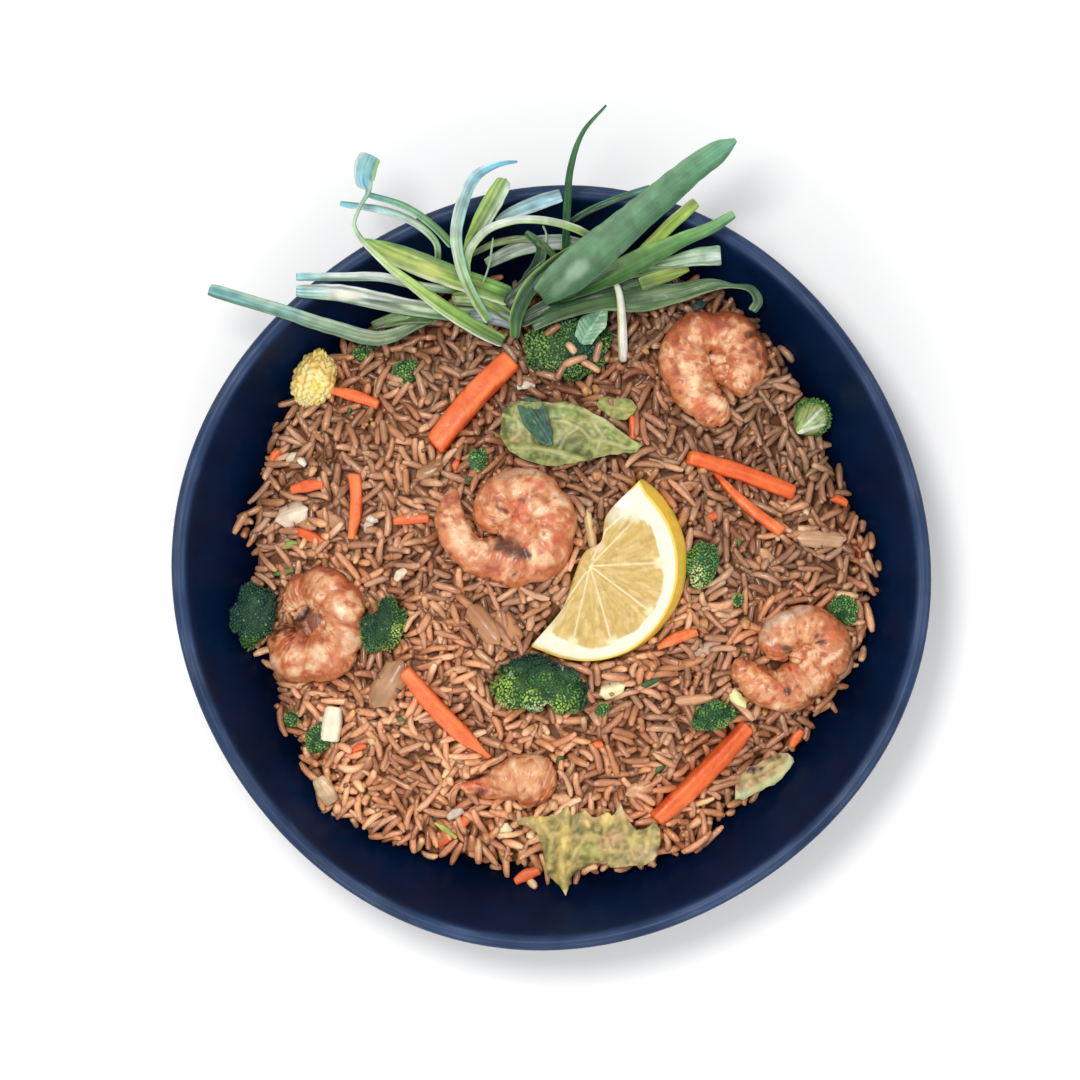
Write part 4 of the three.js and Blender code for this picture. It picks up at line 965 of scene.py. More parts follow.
def prawn_marks(c, P, spec, shown):
    """The marks read on one prawn, with ragged edges: its browning and char, with painted highlights and painted shade
    among them.
    """
    warp = P + 0.9 * np.stack([noise(P, 2.2, 81), noise(P, 2.2, 82), 0 * P[..., 0]], -1)
    for x, y, rx, ry, angle, colour, strength in spec["patches"]:
        edge = 0.8 + 0.6 * noise(P, 1.2, int(x + y))
        c = mix(c, colour, strength * np.clip(blob(warp, x, y, rx, ry, angle, 0.9) * edge * 1.15, 0, 1) * shown)
    for points, width, colour, strength in spec["lines"]:
        edge = 0.8 + 0.6 * noise(P, 1.2, int(points[0][0]))
        c = mix(c, colour, strength * np.clip(near(warp, points, width, 1.0) * edge * 1.15, 0, 1) * shown)
    return c


def prawn_middle(spec):
    """The flesh that closes the middle of a curl: a low, creased lobe."""
    px, py, size, high = spec["plug"]
    place = on_rice(*spec["at"][:2], lift=spec["at"][2], lean=0.85)
    thick = max(w for _, _, w in spec["line"]) * spec["height"] * high
    nu, nv = 44, 72
    b = np.linspace(0, np.pi, nu + 2)[1:-1]
    a = np.linspace(0, 2 * np.pi, nv, endpoint=False)
    d = np.stack([np.sin(b)[:, None] * np.cos(a), np.sin(b)[:, None] * np.sin(a), np.cos(b)[:, None] * np.ones(nv)], -1)
    L = d * np.array([size, size, thick]) + np.array([px, py, 0.0])
    P = place(L)
    crease = 0.7 * (1 - smooth(np.abs(noise(P, 4.2, spec["seed"] + 50)) * 6))
    P = P + unit(d) @ place.R.T * (0.30 * fbm(P, 2.6, 3, 7) - crease)[..., None]
    for points, width, deep in spec["slits"]:
        P[..., 2] -= 0.8 * deep * near(P, points, width, 1.2) * (d[..., 2] > 0)
    up_side = smooth((d[..., 2] + 0.2) * 3)
    c = prawn_base(P, spec["seed"] + 3)
    # painted shade: the lobe is painted darker in its creases and on its underside
    c = mix(c, (176, 96, 58), 0.6 * np.clip(crease * 1.4, 0, 1))
    c = mix(c, (150, 78, 48), 0.55 * smooth(-d[..., 2] * 2))
    c = prawn_marks(c, P, spec, up_side) * np.array([0.97, 0.93, 0.90])
    P = P + unit(d) @ place.R.T * prawn_relief(P, spec, up_side)[..., None]
    low = place(np.array([[px, py, thick], [px, py, -thick]]))
    return tube(P, low[0] - [0, 0, 0.3], low[1], c)


def prawn(spec):
    line = np.array(spec["line"], float)
    nu, nv = (170, 56) if spec["curled"] else (110, 56)
    pole = np.linspace(0, 1, nu + 2)[1:-1]
    t = 0.6 * pole + 0.4 * (0.5 - 0.5 * np.cos(np.pi * pole))
    a = np.linspace(0, 2 * np.pi, nv, endpoint=False)
    cu, su = np.cos(a)[None], np.sin(a)[None]
    rnd = np.sqrt(np.maximum(0, 1 - np.abs(2 * t - 1) ** 8))[:, None]
    at, along = spline(line[:, :2], t), tangent(line[:, :2], t)
    half = keys(line[:, 2], t)[:, None]
    inner = np.linalg.norm(at, axis=1)[:, None] - 1.5
    reach = np.where((cu < 0) & spec["curled"], np.minimum(half, inner), half)
    # segments of the tail: swollen between grooves that run over the back
    n = spec["segments"]
    rng = np.random.default_rng(spec["seed"])
    cuts = (np.arange(n) + 0.7 + rng.uniform(-0.12, 0.12, n)) / n
    wobble = 0.012 * np.sin(3 * a)[None] + 0.01 * noise(np.stack([np.broadcast_to(t[:, None] * 40, (nu, nv)), np.broadcast_to(3 * cu, (nu, nv)), np.broadcast_to(3 * su, (nu, nv))], -1), 1.2, spec["seed"])
    tt = t[:, None] + wobble
    groove = np.zeros((nu, nv))
    for c in cuts:
        groove = np.maximum(groove, np.exp(-(((tt - c) / 0.011) ** 2)))
    nearest = np.min(np.abs(tt[..., None] - cuts), -1) * n
    swell = 0.035 * np.cos(np.clip(nearest * 2, 0, 1) * np.pi) * -1
    back = smooth(0.5 + 0.6 * cu) * np.ones_like(groove)
    w = reach * rnd * cu * (1 + swell * back)
    h = half * spec["height"] * rnd * su * (1 + 0.6 * swell)
    local = np.stack(
        [at[:, None, 0] + along[:, None, 1] * w, at[:, None, 1] - along[:, None, 0] * w, h], -1
    )
    place = on_rice(*spec["at"][:2], lift=spec["at"][2], lean=0.85)
    P = place(local)
    out = unit(np.stack([along[:, None, 1] * cu * np.ones_like(w), -along[:, None, 0] * cu * np.ones_like(w), su * np.ones_like(w)], -1)) @ place.R.T
    up_side = smooth((su + 0.25) * 2.5) * np.ones_like(w)
    fade = smooth(np.minimum(t, 1 - t) / 0.05)[:, None]
    depth = groove * (0.30 + 0.35 * back) * fade
    slit_shade = np.zeros_like(depth)
    for points, width, deep in spec["slits"]:
        m = near(P, points, width, 1.2) * up_side
        slit_shade = np.maximum(slit_shade, m * (0.6 + 0.6 * noise(P, 1.6, 44)))
        depth = depth + deep * m * 0.8
    rough = 0.34 * fbm(P, 3.2, 3, spec["seed"]) + 0.14 * noise(P, 1.0, spec["seed"] + 4)
    # folds that run round the body, as muscle does
    fibre = 0.09 * np.sin(t[:, None] * 210 + 3 * cu + 4 * noise(P, 6, spec["seed"] + 9))
    # colour: peach, cream where it swells, orange bands beside the grooves, and painted shade in the grooves, in the
    # slits and on the underside
    c = prawn_base(P, spec["seed"])
    band = np.exp(-((((tt[..., None] - cuts).max(-1) * 0 + nearest / n - 0.022) / 0.014) ** 2))
    c = mix(c, ORANGE, 0.55 * band * smooth(0.6 + 0.8 * noise(P, 4, 60)))
    # painted shade down in the grooves
    c = mix(c, (196, 116, 74), 0.55 * groove)
    outer_edge = smooth((cu - 0.45) * 2.2) * np.ones_like(w)
    c = mix(c, (206, 122, 76), 0.45 * outer_edge * smooth(0.5 + 1.4 * noise(P, 7, 61)))
    # painted shade on the underside
    c = mix(c, (170, 92, 56), 0.55 * smooth(-su * 1.5) * np.ones_like(w))
    c = prawn_marks(c, P, spec, up_side)
    # painted shade down in the slits
    c = mix(c, (132, 66, 40), 0.5 * slit_shade)
    fleck = (noise(P, 0.9, 71) > 0.66) & (noise(P, 6, 72) > 0.1)
    c = mix(c, (172, 82, 48), 0.6 * fleck)
    c = c * np.array([0.97, 0.93, 0.90])
    P = P + out * ((rough + fibre + prawn_relief(P, spec, up_side)) * fade - depth)[..., None]
    ends = place(np.stack([np.append(spline(line[:, :2], np.array([0.0]))[0], 0), np.append(spline(line[:, :2], np.array([1.0]))[0], 0)]))
    return tube(P, ends[0], ends[1], c)


for name, spec in PRAWNS.items():
    bodies = [prawn(spec)] + ([prawn_middle(spec)] if "plug" in spec else [])
    add(name + "_visual", bodies, PRAWN, (name,))

# ------------------------------------------------------------------ lemon


def lemon():
    R = 31.7
    at = np.array([10.1, 1.9, 64.8])
    tilt_axis = (-math.sin(math.radians(25)), math.cos(math.radians(25)), 0)
    rot = turn(tilt_axis, math.radians(-8)) @ turn((0, 0, 1), math.radians(-33.6))
    place = Place(rot, at)
    arc = np.linspace(-np.pi / 2, np.pi / 2, 160)
    rim = np.stack([R * np.cos(arc), R * np.sin(arc)], -1)
    chord = spline([(0, 31.7), (-2.6, 16), (0.4, 8.5), (-2, 3), (-0.5, -6), (1.8, -15), (0, -31.7)], np.linspace(0, 1, 140))[1:-1]
    outline = np.vstack([rim, chord])
    mid = np.array([11.0, 0.0])
    ang = np.arctan2(outline[:, 1] - mid[1], outline[:, 0] - mid[0])
    order = np.argsort(ang)
    far = np.hypot(outline[:, 0] - mid[0], outline[:, 1] - mid[1])
    n = 260
    th = np.linspace(-np.pi, np.pi, n, endpoint=False)
    reach = np.interp(th, ang[order], far[order], period=2 * np.pi)
    edge = mid + np.stack([np.cos(th), np.sin(th)], -1) * reach[:, None]
    er, ea = np.hypot(edge[:, 0], edge[:, 1]), np.arctan2(edge[:, 1], edge[:, 0])
    on_rind = (np.abs(er - R) < 0.12) & (edge[:, 0] > -0.01)
    ease = smooth(edge[:, 0] / 5.0)
    taper = np.where(on_rind, (0.7 + 1.7 * np.maximum(0, np.cos(ea - math.radians(62)))) * (0.25 + 0.75 * ease), 0.2)
    q = np.concatenate([np.linspace(0.03, 0.95, 44), [0.965, 0.98, 0.992, 1.0]])
    dirs = np.where(on_rind[:, None], np.stack([np.cos(ea), np.sin(ea)], -1), np.array([-1.0, 0.0]))
    top_edge = edge - dirs * taper[:, None]
    rows = [mid + (top_edge - mid) * k for k in q]
    zs = [np.zeros(n) - 0.5 * smooth((k - 0.955) / 0.045) for k in q]
    kinds = [0] * len(q)
    for k in (0.08, 0.2, 0.38, 0.58, 0.78, 0.92, 1.0):
        rows.append(top_edge + (edge - top_edge) * min(1, k * 1.1))
        zs.append(np.full(n, -0.5 - 7.9 * k))
        kinds.append(1)
    for k in (0.96, 0.7, 0.35):
        rows.append(mid + (edge - mid) * k)
        zs.append(np.full(n, -9.0))
        kinds.append(2)
    L = np.stack([np.stack([r[:, 0], r[:, 1], z], -1) for r, z in zip(rows, zs)])
    kind = np.array(kinds)[:, None] * np.ones((1, n))
    flat_at = place(L)
    # the flesh ends where the pith begins; its limit was read round the slice
    limit = [(626, 513), (650, 526), (660, 558), (663, 582), (658, 600), (640, 626), (618, 637), (608, 644), (588, 648), (566, 642), (546, 628)]
    lx, ly = from_px([p[0] for p in limit], [p[1] for p in limit], 64.5)
    inv = (np.stack([lx, ly, np.full(len(lx), 64.5)], -1) - at) @ rot
    la, lr = np.arctan2(inv[:, 1], inv[:, 0]), np.hypot(inv[:, 0], inv[:, 1])
    o = np.argsort(la)
    r, a = np.hypot(L[..., 0], L[..., 1]), np.arctan2(L[..., 1], L[..., 0])
    flesh_r = np.interp(a, la[o], lr[o]) + 0.35 * noise(flat(a * 9, r * 0), 1, 3)
    # membranes run from near the core to the notches of the pith
    hub = (590, 566)
    spokes = [[hub, (660, 563)], [hub, (648, 610)], [hub, (611, 640)], [hub, (572, 645)], [hub, (634, 520)], [(586, 572), (546, 630)], [(592, 560), (606, 530), (626, 512)]]
    vein = np.zeros_like(r)
    for s in spokes:
        vein = np.maximum(vein, 0.75 * near(flat_at, s, 0.9, 1.1))
        vein = np.maximum(vein, 0.9 * near(flat_at, [s[0], s[-1]], 5.5, 0.8) * smooth((r - flesh_r + 2.6) / 2.2))
    pith = smooth((r - flesh_r) / 0.5)
    pith = np.where(kind == 1, 1.0, pith)
    hx, hy = from_px(590, 566, 64.5)
    hub_local = (np.array([float(hx), float(hy), 64.5]) - at) @ rot
    dx, dy = L[..., 0] - hub_local[0], L[..., 1] - hub_local[1]
    rr, aa = np.hypot(dx, dy), np.arctan2(dy, dx)
    warp = 0.5 * noise(flat(L[..., 0], L[..., 1]), 4, 8)
    near_cell, own = cells(np.stack([rr / 4.6 + warp, aa * 15.0 + 0.6 * warp, 0.5 * np.ones_like(rr)], -1), 1.0, 5)
    sac = np.clip(1 - near_cell, 0, 1)
    flesh = (1 - pith) * (1 - vein) * (kind == 0)
    relief = flesh * (0.20 * sac - 0.36 + 0.15 * noise(flat(L[..., 0], L[..., 1]), 1.1, 12)) + vein * (kind == 0) * -0.05
    relief = relief + 0.08 * noise(flat_at, 2.0, 14)
    relief = relief * (kind == 0)
    # the cut chord is torn: small nicks
    L[..., 2] += relief
    c = plain(r.shape, (240, 230, 206))
    body = keys([(198, 164, 84), (205, 172, 94), (216, 187, 118), (200, 168, 88)], own)
    # painted light: each juice sac is painted lighter at its raised middle
    body = body * (0.9 + 0.1 * smooth(sac * 1.6))[..., None]
    c = mix(c, body, flesh)
    # painted shade at the edges between the juice sacs
    c = mix(c, (190, 150, 80), 0.3 * flesh * smooth((0.42 - sac) * 3))
    c = mix(c, (230, 208, 150), 0.42 * vein * (kind == 0))
    c = mix(c, (250, 236, 176), 0.3 * (kind == 0) * smooth((r - (R - 3.0)) / 1.6) * pith)
    rind_colour = mix(plain(r.shape, (255, 208, 78)), (255, 224, 132), smooth((0.2 - np.cos(a - math.radians(62))) * 1.6))
    rind_colour = rind_colour * (1 + 0.05 * noise(flat_at, 0.9, 19))[..., None]
    c = mix(c, rind_colour, ((kind == 1) & (r > 0.86 * R)).astype(float))
    rim_line = (kind == 0) & (r > 0.86 * R)
    q_all = np.array(list(q) + [1.0] * (len(rows) - len(q)))[:, None]
    c = mix(c, (252, 206, 84), 0.9 * rim_line * smooth((q_all - 0.962) / 0.02))
    cut_face = (kind == 1) & (r <= 0.86 * R)
    c = mix(c, (236, 214, 150), 0.9 * cut_face)
    c = mix(c, (206, 196, 158), 0.6 * blob(flat_at, 556, 612, 14, 9, -55, 0.9) * (kind == 0))
    c = mix(c, (228, 232, 234), 0.55 * blob(flat_at, 618, 511, 11, 14, 35, 0.9) * (kind == 0))
    c = mix(c, (240, 202, 172), 0.75 * blob(flat_at, 597, 545, 7, 7, 0, 0.8) * (kind < 2))
    P = place(L)
    return tube(P, P[0].mean(0), place(np.array([mid[0], mid[1], -9.0])), c)


add("lemon_visual", [lemon()], LEMON, ("lemon_slice",))

# ------------------------------------------------------------------ carrot sticks
CARROTS = {
    "carrot_north": (-24.9, 52.5, -130.6, 1.6, dict(length=37.4, width=7.6, thick=6, bend=-1, sag=0.8, taper=(0.95, 1, 0.95), skew=0.1), 0),
    "carrot_east_thick": (59.8, 29.7, -17.5, 1, dict(length=37.9, width=5.1, thick=5, bend=0.6, sag=0.8, taper=(0.9, 1, 1)), 0),
    "carrot_east_thin": (62, 21.4, -43.6, 3.6, dict(length=29.7, width=3.1, thick=3.2, bend=-1.4, sag=0.6, taper=(0.5, 1, 1.1)), -8),
    "carrot_south_west": (-33.2, -45.7, -46, 1.4, dict(length=39.2, width=5.8, thick=5, bend=-1.3, sag=0.6, taper=(0.75, 1, 0.95, 0.25)), 0),
    "carrot_south_east": (47.5, -64.7, -136.2, 1.6, dict(length=42.5, width=6, thick=5.4, bend=0.8, sag=0.8, taper=(0.8, 1, 1, 0.8)), 0),
    "carrot_small_west": (-63.2, 19.9, -93.6, 0.8, dict(length=20.9, width=3.9, thick=3.4, bend=1.2, taper=(1, 0.9, 0.6)), 0),
    "carrot_small_north_west": (-63.1, 54.4, -18.1, 0.8, dict(length=17.5, width=3.8, thick=3, bend=0.6, taper=(0.5, 1, 0.8)), 0),
    "carrot_small_middle": (39.6, -22.4, 22.1, 1.2, dict(length=13.6, width=3.6, thick=3, bend=0.8, taper=(0.4, 1, 0.6)), 0),
}


def stick(place, length, width, thick, bend=0.0, sag=0.0, taper=(1, 1), skew=0.0, seed=0, nu=70, nv=28, square=5.0,
          base=(238, 104, 46), light=(248, 138, 78), dark=(216, 80, 30), top_highlight=(244, 146, 72)):
    """A cut stick with worn edges, and fibres along it."""
    x = -np.cos(np.linspace(0, np.pi, nu + 2)[1:-1]) * 0.5
    x = 0.55 * x + 0.45 * np.linspace(-0.5, 0.5, nu + 2)[1:-1]
    a = np.linspace(0, 2 * np.pi, nv, endpoint=False)
    cy, cz = np.cos(a), np.sin(a)
    k = (np.abs(cy) ** square + np.abs(cz) ** square) ** (-1 / square)
    cy, cz = cy * k * 0.5, cz * k * 0.5
    t = x + 0.5
    kt = keys(taper, t)
    arc = 1 - 4 * x * x
    bevel = np.clip(np.minimum(t, 1 - t) * length / 0.9, 0, 1) ** 0.45
    X = (x * length)[:, None] + skew * cy[None] * width
    Y = cy[None] * width * (kt * (0.72 + 0.28 * bevel))[:, None] + (bend * arc)[:, None]
    Z = cz[None] * thick * (np.sqrt(kt) * (0.72 + 0.28 * bevel))[:, None] + (sag * arc)[:, None]
    L = np.stack([X, Y, Z], -1)
    fibre = noise(np.stack([X / 9, Y / 0.55, Z / 0.55], -1), 1.0, seed)
    dent = fbm(L, 4.0, 3, seed + 3)
    out = np.stack([np.zeros_like(Y), np.broadcast_to(cy[None], Y.shape), np.broadcast_to(cz[None], Y.shape)], -1)
    L = L + unit(out) * (0.10 * fibre + 0.22 * dent)[..., None]
    c = plain(Y.shape, base)
    c = mix(c, light, 0.6 * smooth(0.4 + 1.5 * dent))
    c = mix(c, dark, 0.55 * smooth(0.2 - 1.6 * noise(L, 7, seed + 8)))
    # painted highlight: a lighter stripe along the top face
    c = mix(c, top_highlight, 0.45 * smooth(1 - np.abs(Y - 0.1 * width) / (0.16 * width)) * (np.broadcast_to(cz[None], Y.shape) > 0.2))
    c = mix(c, light, 0.35 * (fibre > 0.35))
    c = mix(c, dark, 0.3 * (fibre < -0.45))
    c = mix(c, np.array(base) * [0.78, 0.62, 0.6], 0.35 * smooth((noise(L, 1.3, seed + 11) - 0.5) * 5))
    # painted shade: the underside is painted darker
    c = mix(c, dark, 0.5 * (np.broadcast_to(cz[None], Y.shape) < -0.1))
    ends = np.array([[-0.5 * length, 0, 0], [0.5 * length, 0, 0]])
    return tube(place(L), *place(ends), c)


for i, (name, (x, y, heading, lift, shape, pitch)) in enumerate(CARROTS.items()):
    add(name + "_visual", [stick(on_rice(x, y, heading, lift, pitch=pitch), seed=10 * i, **shape)], CARROT, (name,))

# ------------------------------------------------------------------ broccoli
BROCCOLI = {
    "broccoli_north": (5, 70.2, 10, 2.4, 14.8, 11.6, 8.0, 0.4, [(548, 342, 30, 30, (84, 122, 66)), (536, 346, 13, 14, (120, 156, 80)), (584, 344, 14, 13, (40, 84, 84)), (570, 358, 8, 6, (44, 84, 72)), (556, 368, 16, 7, (130, 156, 92)), (562, 322, 16, 8, (92, 132, 92)), (574, 348, 3, 3, (160, 170, 150))]),
    "broccoli_middle": (-3.4, -37.2, -6, 0.4, 16.8, 10.4, 7.6, 2.1, [(545, 664, 46, 14, (24, 58, 54)), (590, 694, 10, 26, (26, 62, 52)), (540, 684, 36, 10, (56, 98, 50)), (505, 688, 15, 15, (150, 180, 78)), (532, 696, 9, 8, (162, 190, 84)), (538, 705, 14, 5, (202, 208, 160)), (502, 704, 12, 5, (186, 200, 110)),
        (562, 708, 11, 12, (152, 182, 84)), (512, 670, 8, 3, (110, 150, 76)), (546, 676, 8, 5, (96, 136, 66)), (511, 674, 2, 2, (176, 206, 206)), (561, 668, 3, 4, (180, 170, 160))], [(549, 716, 7, 10, 0.42), (520, 718, 26, 8, 0.22)]),
    "broccoli_west": (-95, -14.6, 80, 5.5, 11.2, 7.6, 7.0, 1.2, [(250, 606, 40, 34, (30, 66, 66)), (252, 642, 14, 7, (74, 116, 52))]),
    "broccoli_west_inner": (-53.4, -18, 70, 1.4, 9.8, 7.6, 6.4, 3.3, [(378, 618, 18, 26, (26, 62, 50)), (386, 640, 10, 14, (50, 92, 50)), (400, 634, 10, 13, (158, 184, 88)), (396, 630, 4, 5, (190, 206, 120)), (390, 650, 12, 6, (150, 152, 84))], [(372, 606, 10, 9, 0.3), (404, 652, 10, 8, 0.25)]),
    "broccoli_east_inner": (47.4, 1.4, 85, 1.0, 8.4, 5.3, 5.6, 4.4, [(706, 580, 16, 14, (112, 152, 78)), (697, 576, 7, 14, (206, 214, 150)), (700, 592, 9, 6, (170, 196, 104)), (713, 564, 8, 7, (84, 132, 78))]),
    "broccoli_north_east": (82, 47.6, 30, 4.0, 7.2, 6.3, 5.6, 5.2, [(804, 424, 10, 8, (92, 132, 58))]),
    "broccoli_east": (92.6, -13, -20, 1.0, 5.4, 4.6, 4.4, 0.9, []),
    "broccoli_south_east": (50.9, -46.5, 10, 1.0, 7.8, 5.0, 4.6, 2.7, [(712, 718, 16, 9, (44, 86, 50)), (724, 724, 8, 5, (130, 162, 84)), (704, 712, 6, 4, (96, 138, 70))]),
    "broccoli_south_west": (-74.3, -54.1, 70, 0.8, 5.2, 4.1, 4.0, 1.8, []),
}


def ball(rings=3, sides=6):
    """A small closed round body: vertices and faces."""
    z = np.linspace(0, np.pi, rings + 2)[1:-1]
    a = np.linspace(0, 2 * np.pi, sides, endpoint=False)
    ring = np.stack([np.sin(z)[:, None] * np.cos(a), np.sin(z)[:, None] * np.sin(a), np.cos(z)[:, None] * np.ones(sides)], -1)
    v, faces, _ = tube(ring, (0, 0, 1.0), (0, 0, -1.0), plain((rings, sides), (0, 0, 0)))
    return v, faces


def scatter(centres, frames, radii, colours, rings=3, sides=6, seed=0, rough=0.12):
    """Many small round bodies: centres (n, 3), frames (n, 3, 3) as rows, radii (n, 3), colours (n, 3)."""
    v, faces = ball(rings, sides)
    n = len(centres)
    rng = np.random.default_rng(seed)
    bump = 1 + rng.uniform(-rough, rough, (n, len(v), 1))
    P = centres[:, None] + np.einsum("nvk,nkj->nvj", (v[None] * bump) * radii[:, None, :], frames)
    off = (np.arange(n) * len(v))[:, None, None]
    out = [(f[None] + off).reshape(-1, f.shape[1]) for f in faces]
    shade = 0.88 + 0.12 * v[:, 2]
    c = colours[:, None, :] * shade[None, :, None]
    return P.reshape(-1, 3), out, c.reshape(-1, 3)


def floret(x, y, heading, lift, rx, ry, rz, seed, zones, notches=()):
    place = on_rice(x, y, heading, lift)
    rng = np.random.default_rng(int(seed * 10) + 3)
    size = np.array([rx, ry, rz])
    # branch tips: rounded clusters that overlap over the dome
    m = int(np.clip(rx * ry / 9.5, 5, 22))
    golden = np.pi * (3 - np.sqrt(5))
    k = np.arange(m)
    cz = 1 - (k + 0.5) / m * 1.15
    ca = k * golden + seed
    heads = np.stack([np.sqrt(1 - cz**2) * np.cos(ca), np.sqrt(1 - cz**2) * np.sin(ca), cz], -1)
    heads = unit(heads + rng.normal(0, 0.13, heads.shape))
    spread = 1.5 / math.sqrt(m)

    def surface(d):
        ang = np.arccos(np.clip(d @ heads.T, -1, 1))
        near_head = np.sort(ang, -1)
        dome = np.sqrt(np.maximum(0, 1 - (near_head[..., 0] / spread) ** 2))
        return 0.80 + 0.20 * dome + 0.05 * noise(d * size, 3.0, int(seed * 7))

    nu, nv = 26, 40
    b = np.linspace(0, np.pi, nu + 2)[1:-1]
    a = np.linspace(0, 2 * np.pi, nv, endpoint=False)
    d = np.stack([np.sin(b)[:, None] * np.cos(a), np.sin(b)[:, None] * np.sin(a), np.cos(b)[:, None] * np.ones(nv)], -1)
    tuck = np.where(d[..., 2] < 0, 1 + 0.45 * d[..., 2], 1.0)
    L = d * size * surface(d)[..., None]
    L[..., :2] *= tuck[..., None]
    P = place(L * 0.93)
    mid = place(np.zeros(3))

    def notched(W):
        for zx, zy, zrx, zry, amount in notches:
            W = W + (mid - W) * np.array([1, 1, 0.3]) * amount * blob(W, zx, zy, zrx, zry, 0, 0.9)[..., None]
        return W

    P = notched(P)
    c = plain((nu, nv), (46, 80, 42))
    c = mix(c, (150, 176, 92), smooth((-d[..., 2] - 0.1) * 3))
    parts = [tube(P, place(np.array([0, 0, rz * 0.8])), place(np.array([0, 0, -rz * 0.93])), c)]
    count = int((rx + ry) ** 2 * 2.5)
    k = np.arange(count)
    bz = 1 - (k + 0.5) / count * 1.42
    ba = k * golden
    dirs = unit(np.stack([np.sqrt(np.maximum(0, 1 - bz**2)) * np.cos(ba), np.sqrt(np.maximum(0, 1 - bz**2)) * np.sin(ba), bz], -1) + rng.normal(0, 0.02, (count, 3)))
    s = surface(dirs)
    tuck = np.where(dirs[:, 2] < 0, 1 + 0.45 * dirs[:, 2], 1.0)
    at = dirs * size * (s - 0.03 + rng.uniform(-0.05, 0.05, count))[:, None]
    at[:, :2] *= tuck[:, None]
    up = unit(dirs / size)
    side = unit(np.cross(up, rng.normal(0, 1, up.shape)))
    fwd = np.cross(up, side)
    frames = np.stack([side, fwd, up], 1) @ place.R.T
    r = rng.uniform(0.28, 0.52, count)
    radii = np.stack([r, r, r * rng.uniform(0.9, 1.4, count)], -1)
    W = notched(place(at))
    tone = rng.random(count)
    base = keys([(62, 106, 62), (96, 142, 72), (76, 122, 66), (128, 172, 84), (54, 94, 62)], tone)
    # painted light and shade: buds on the raised tops of the clusters are painted lighter, and those down between the
    # clusters darker
    base = mix(base, (104, 142, 58), 0.5 * smooth((s - 0.93) * 10) * smooth(0.5 + noise(W, 5, 5)))
    base = mix(base, (20, 46, 34), 0.6 * smooth((0.90 - s) * 12))
    for zx, zy, zrx, zry, colour in zones:
        base = mix(base, np.array(colour) * rng.uniform(0.78, 1.15, (count, 1)), 0.85 * blob(W, zx, zy, zrx, zry, 0, 0.9))
    pale = rng.random(count) < 0.035
    base[pale] = base[pale] * 0.4 + np.array([150, 165, 120]) * 0.6
    # painted light: buds that face up are painted brighter and those that face down darker
    base = base * np.clip(0.80 + 0.35 * (dirs[:, 2:3] + 0.3), 0.65, 1.12)
    parts.append(scatter(W, frames, radii, base, rings=2, sides=6, seed=int(seed * 10)))
    # a few stalks show under the edge
    for j in range(5):
        w = 2 * np.pi * (j + rng.random()) / 5
        p0 = np.array([0.15 * rx * math.cos(w), 0.15 * ry * math.sin(w), -0.85 * rz])
        p1 = np.array([0.80 * rx * math.cos(w), 0.80 * ry * math.sin(w), -0.12 * rz])
        parts.append(limb(place, [p0, (p0 + p1) / 2 + [0, 0, -0.6], p1], 1.5, 1.1, (134, 168, 88), j))
    return parts


def limb(place, points, r0, r1, colour, seed=0, nu=10, nv=10, droop=0.0):
    """A round stalk, hair or shoot through points, in the place's own frame."""
    t = np.linspace(0, 1, nu)
    C, D = spline(points, t), tangent(points, t)
    ref = np.array([0.13, 0.21, 0.97])
    side = unit(np.cross(D, ref))
    up = np.cross(D, side)
    a = np.linspace(0, 2 * np.pi, nv, endpoint=False)
    r = (r0 + (r1 - r0) * t)[:, None, None] * (1 + 0.1 * np.sin(3 * a + seed))[None, :, None]
    r = r * (0.55 + 0.45 * smooth(np.minimum(t, 1 - t) * 9))[:, None, None]
    L = C[:, None] + (side[:, None] * np.cos(a)[None, :, None] + up[:, None] * np.sin(a)[None, :, None]) * r
    P = place(L) if place else L
    c = plain((nu, nv), colour) * (1 + 0.10 * noise(P, 1.5, seed))[..., None]
    ends = np.stack([C[0] - D[0] * r0 * 0.3, C[-1] + D[-1] * r1 * 0.3])
    ends = place(ends) if place else ends
    return tube(P, ends[0], ends[1], c)


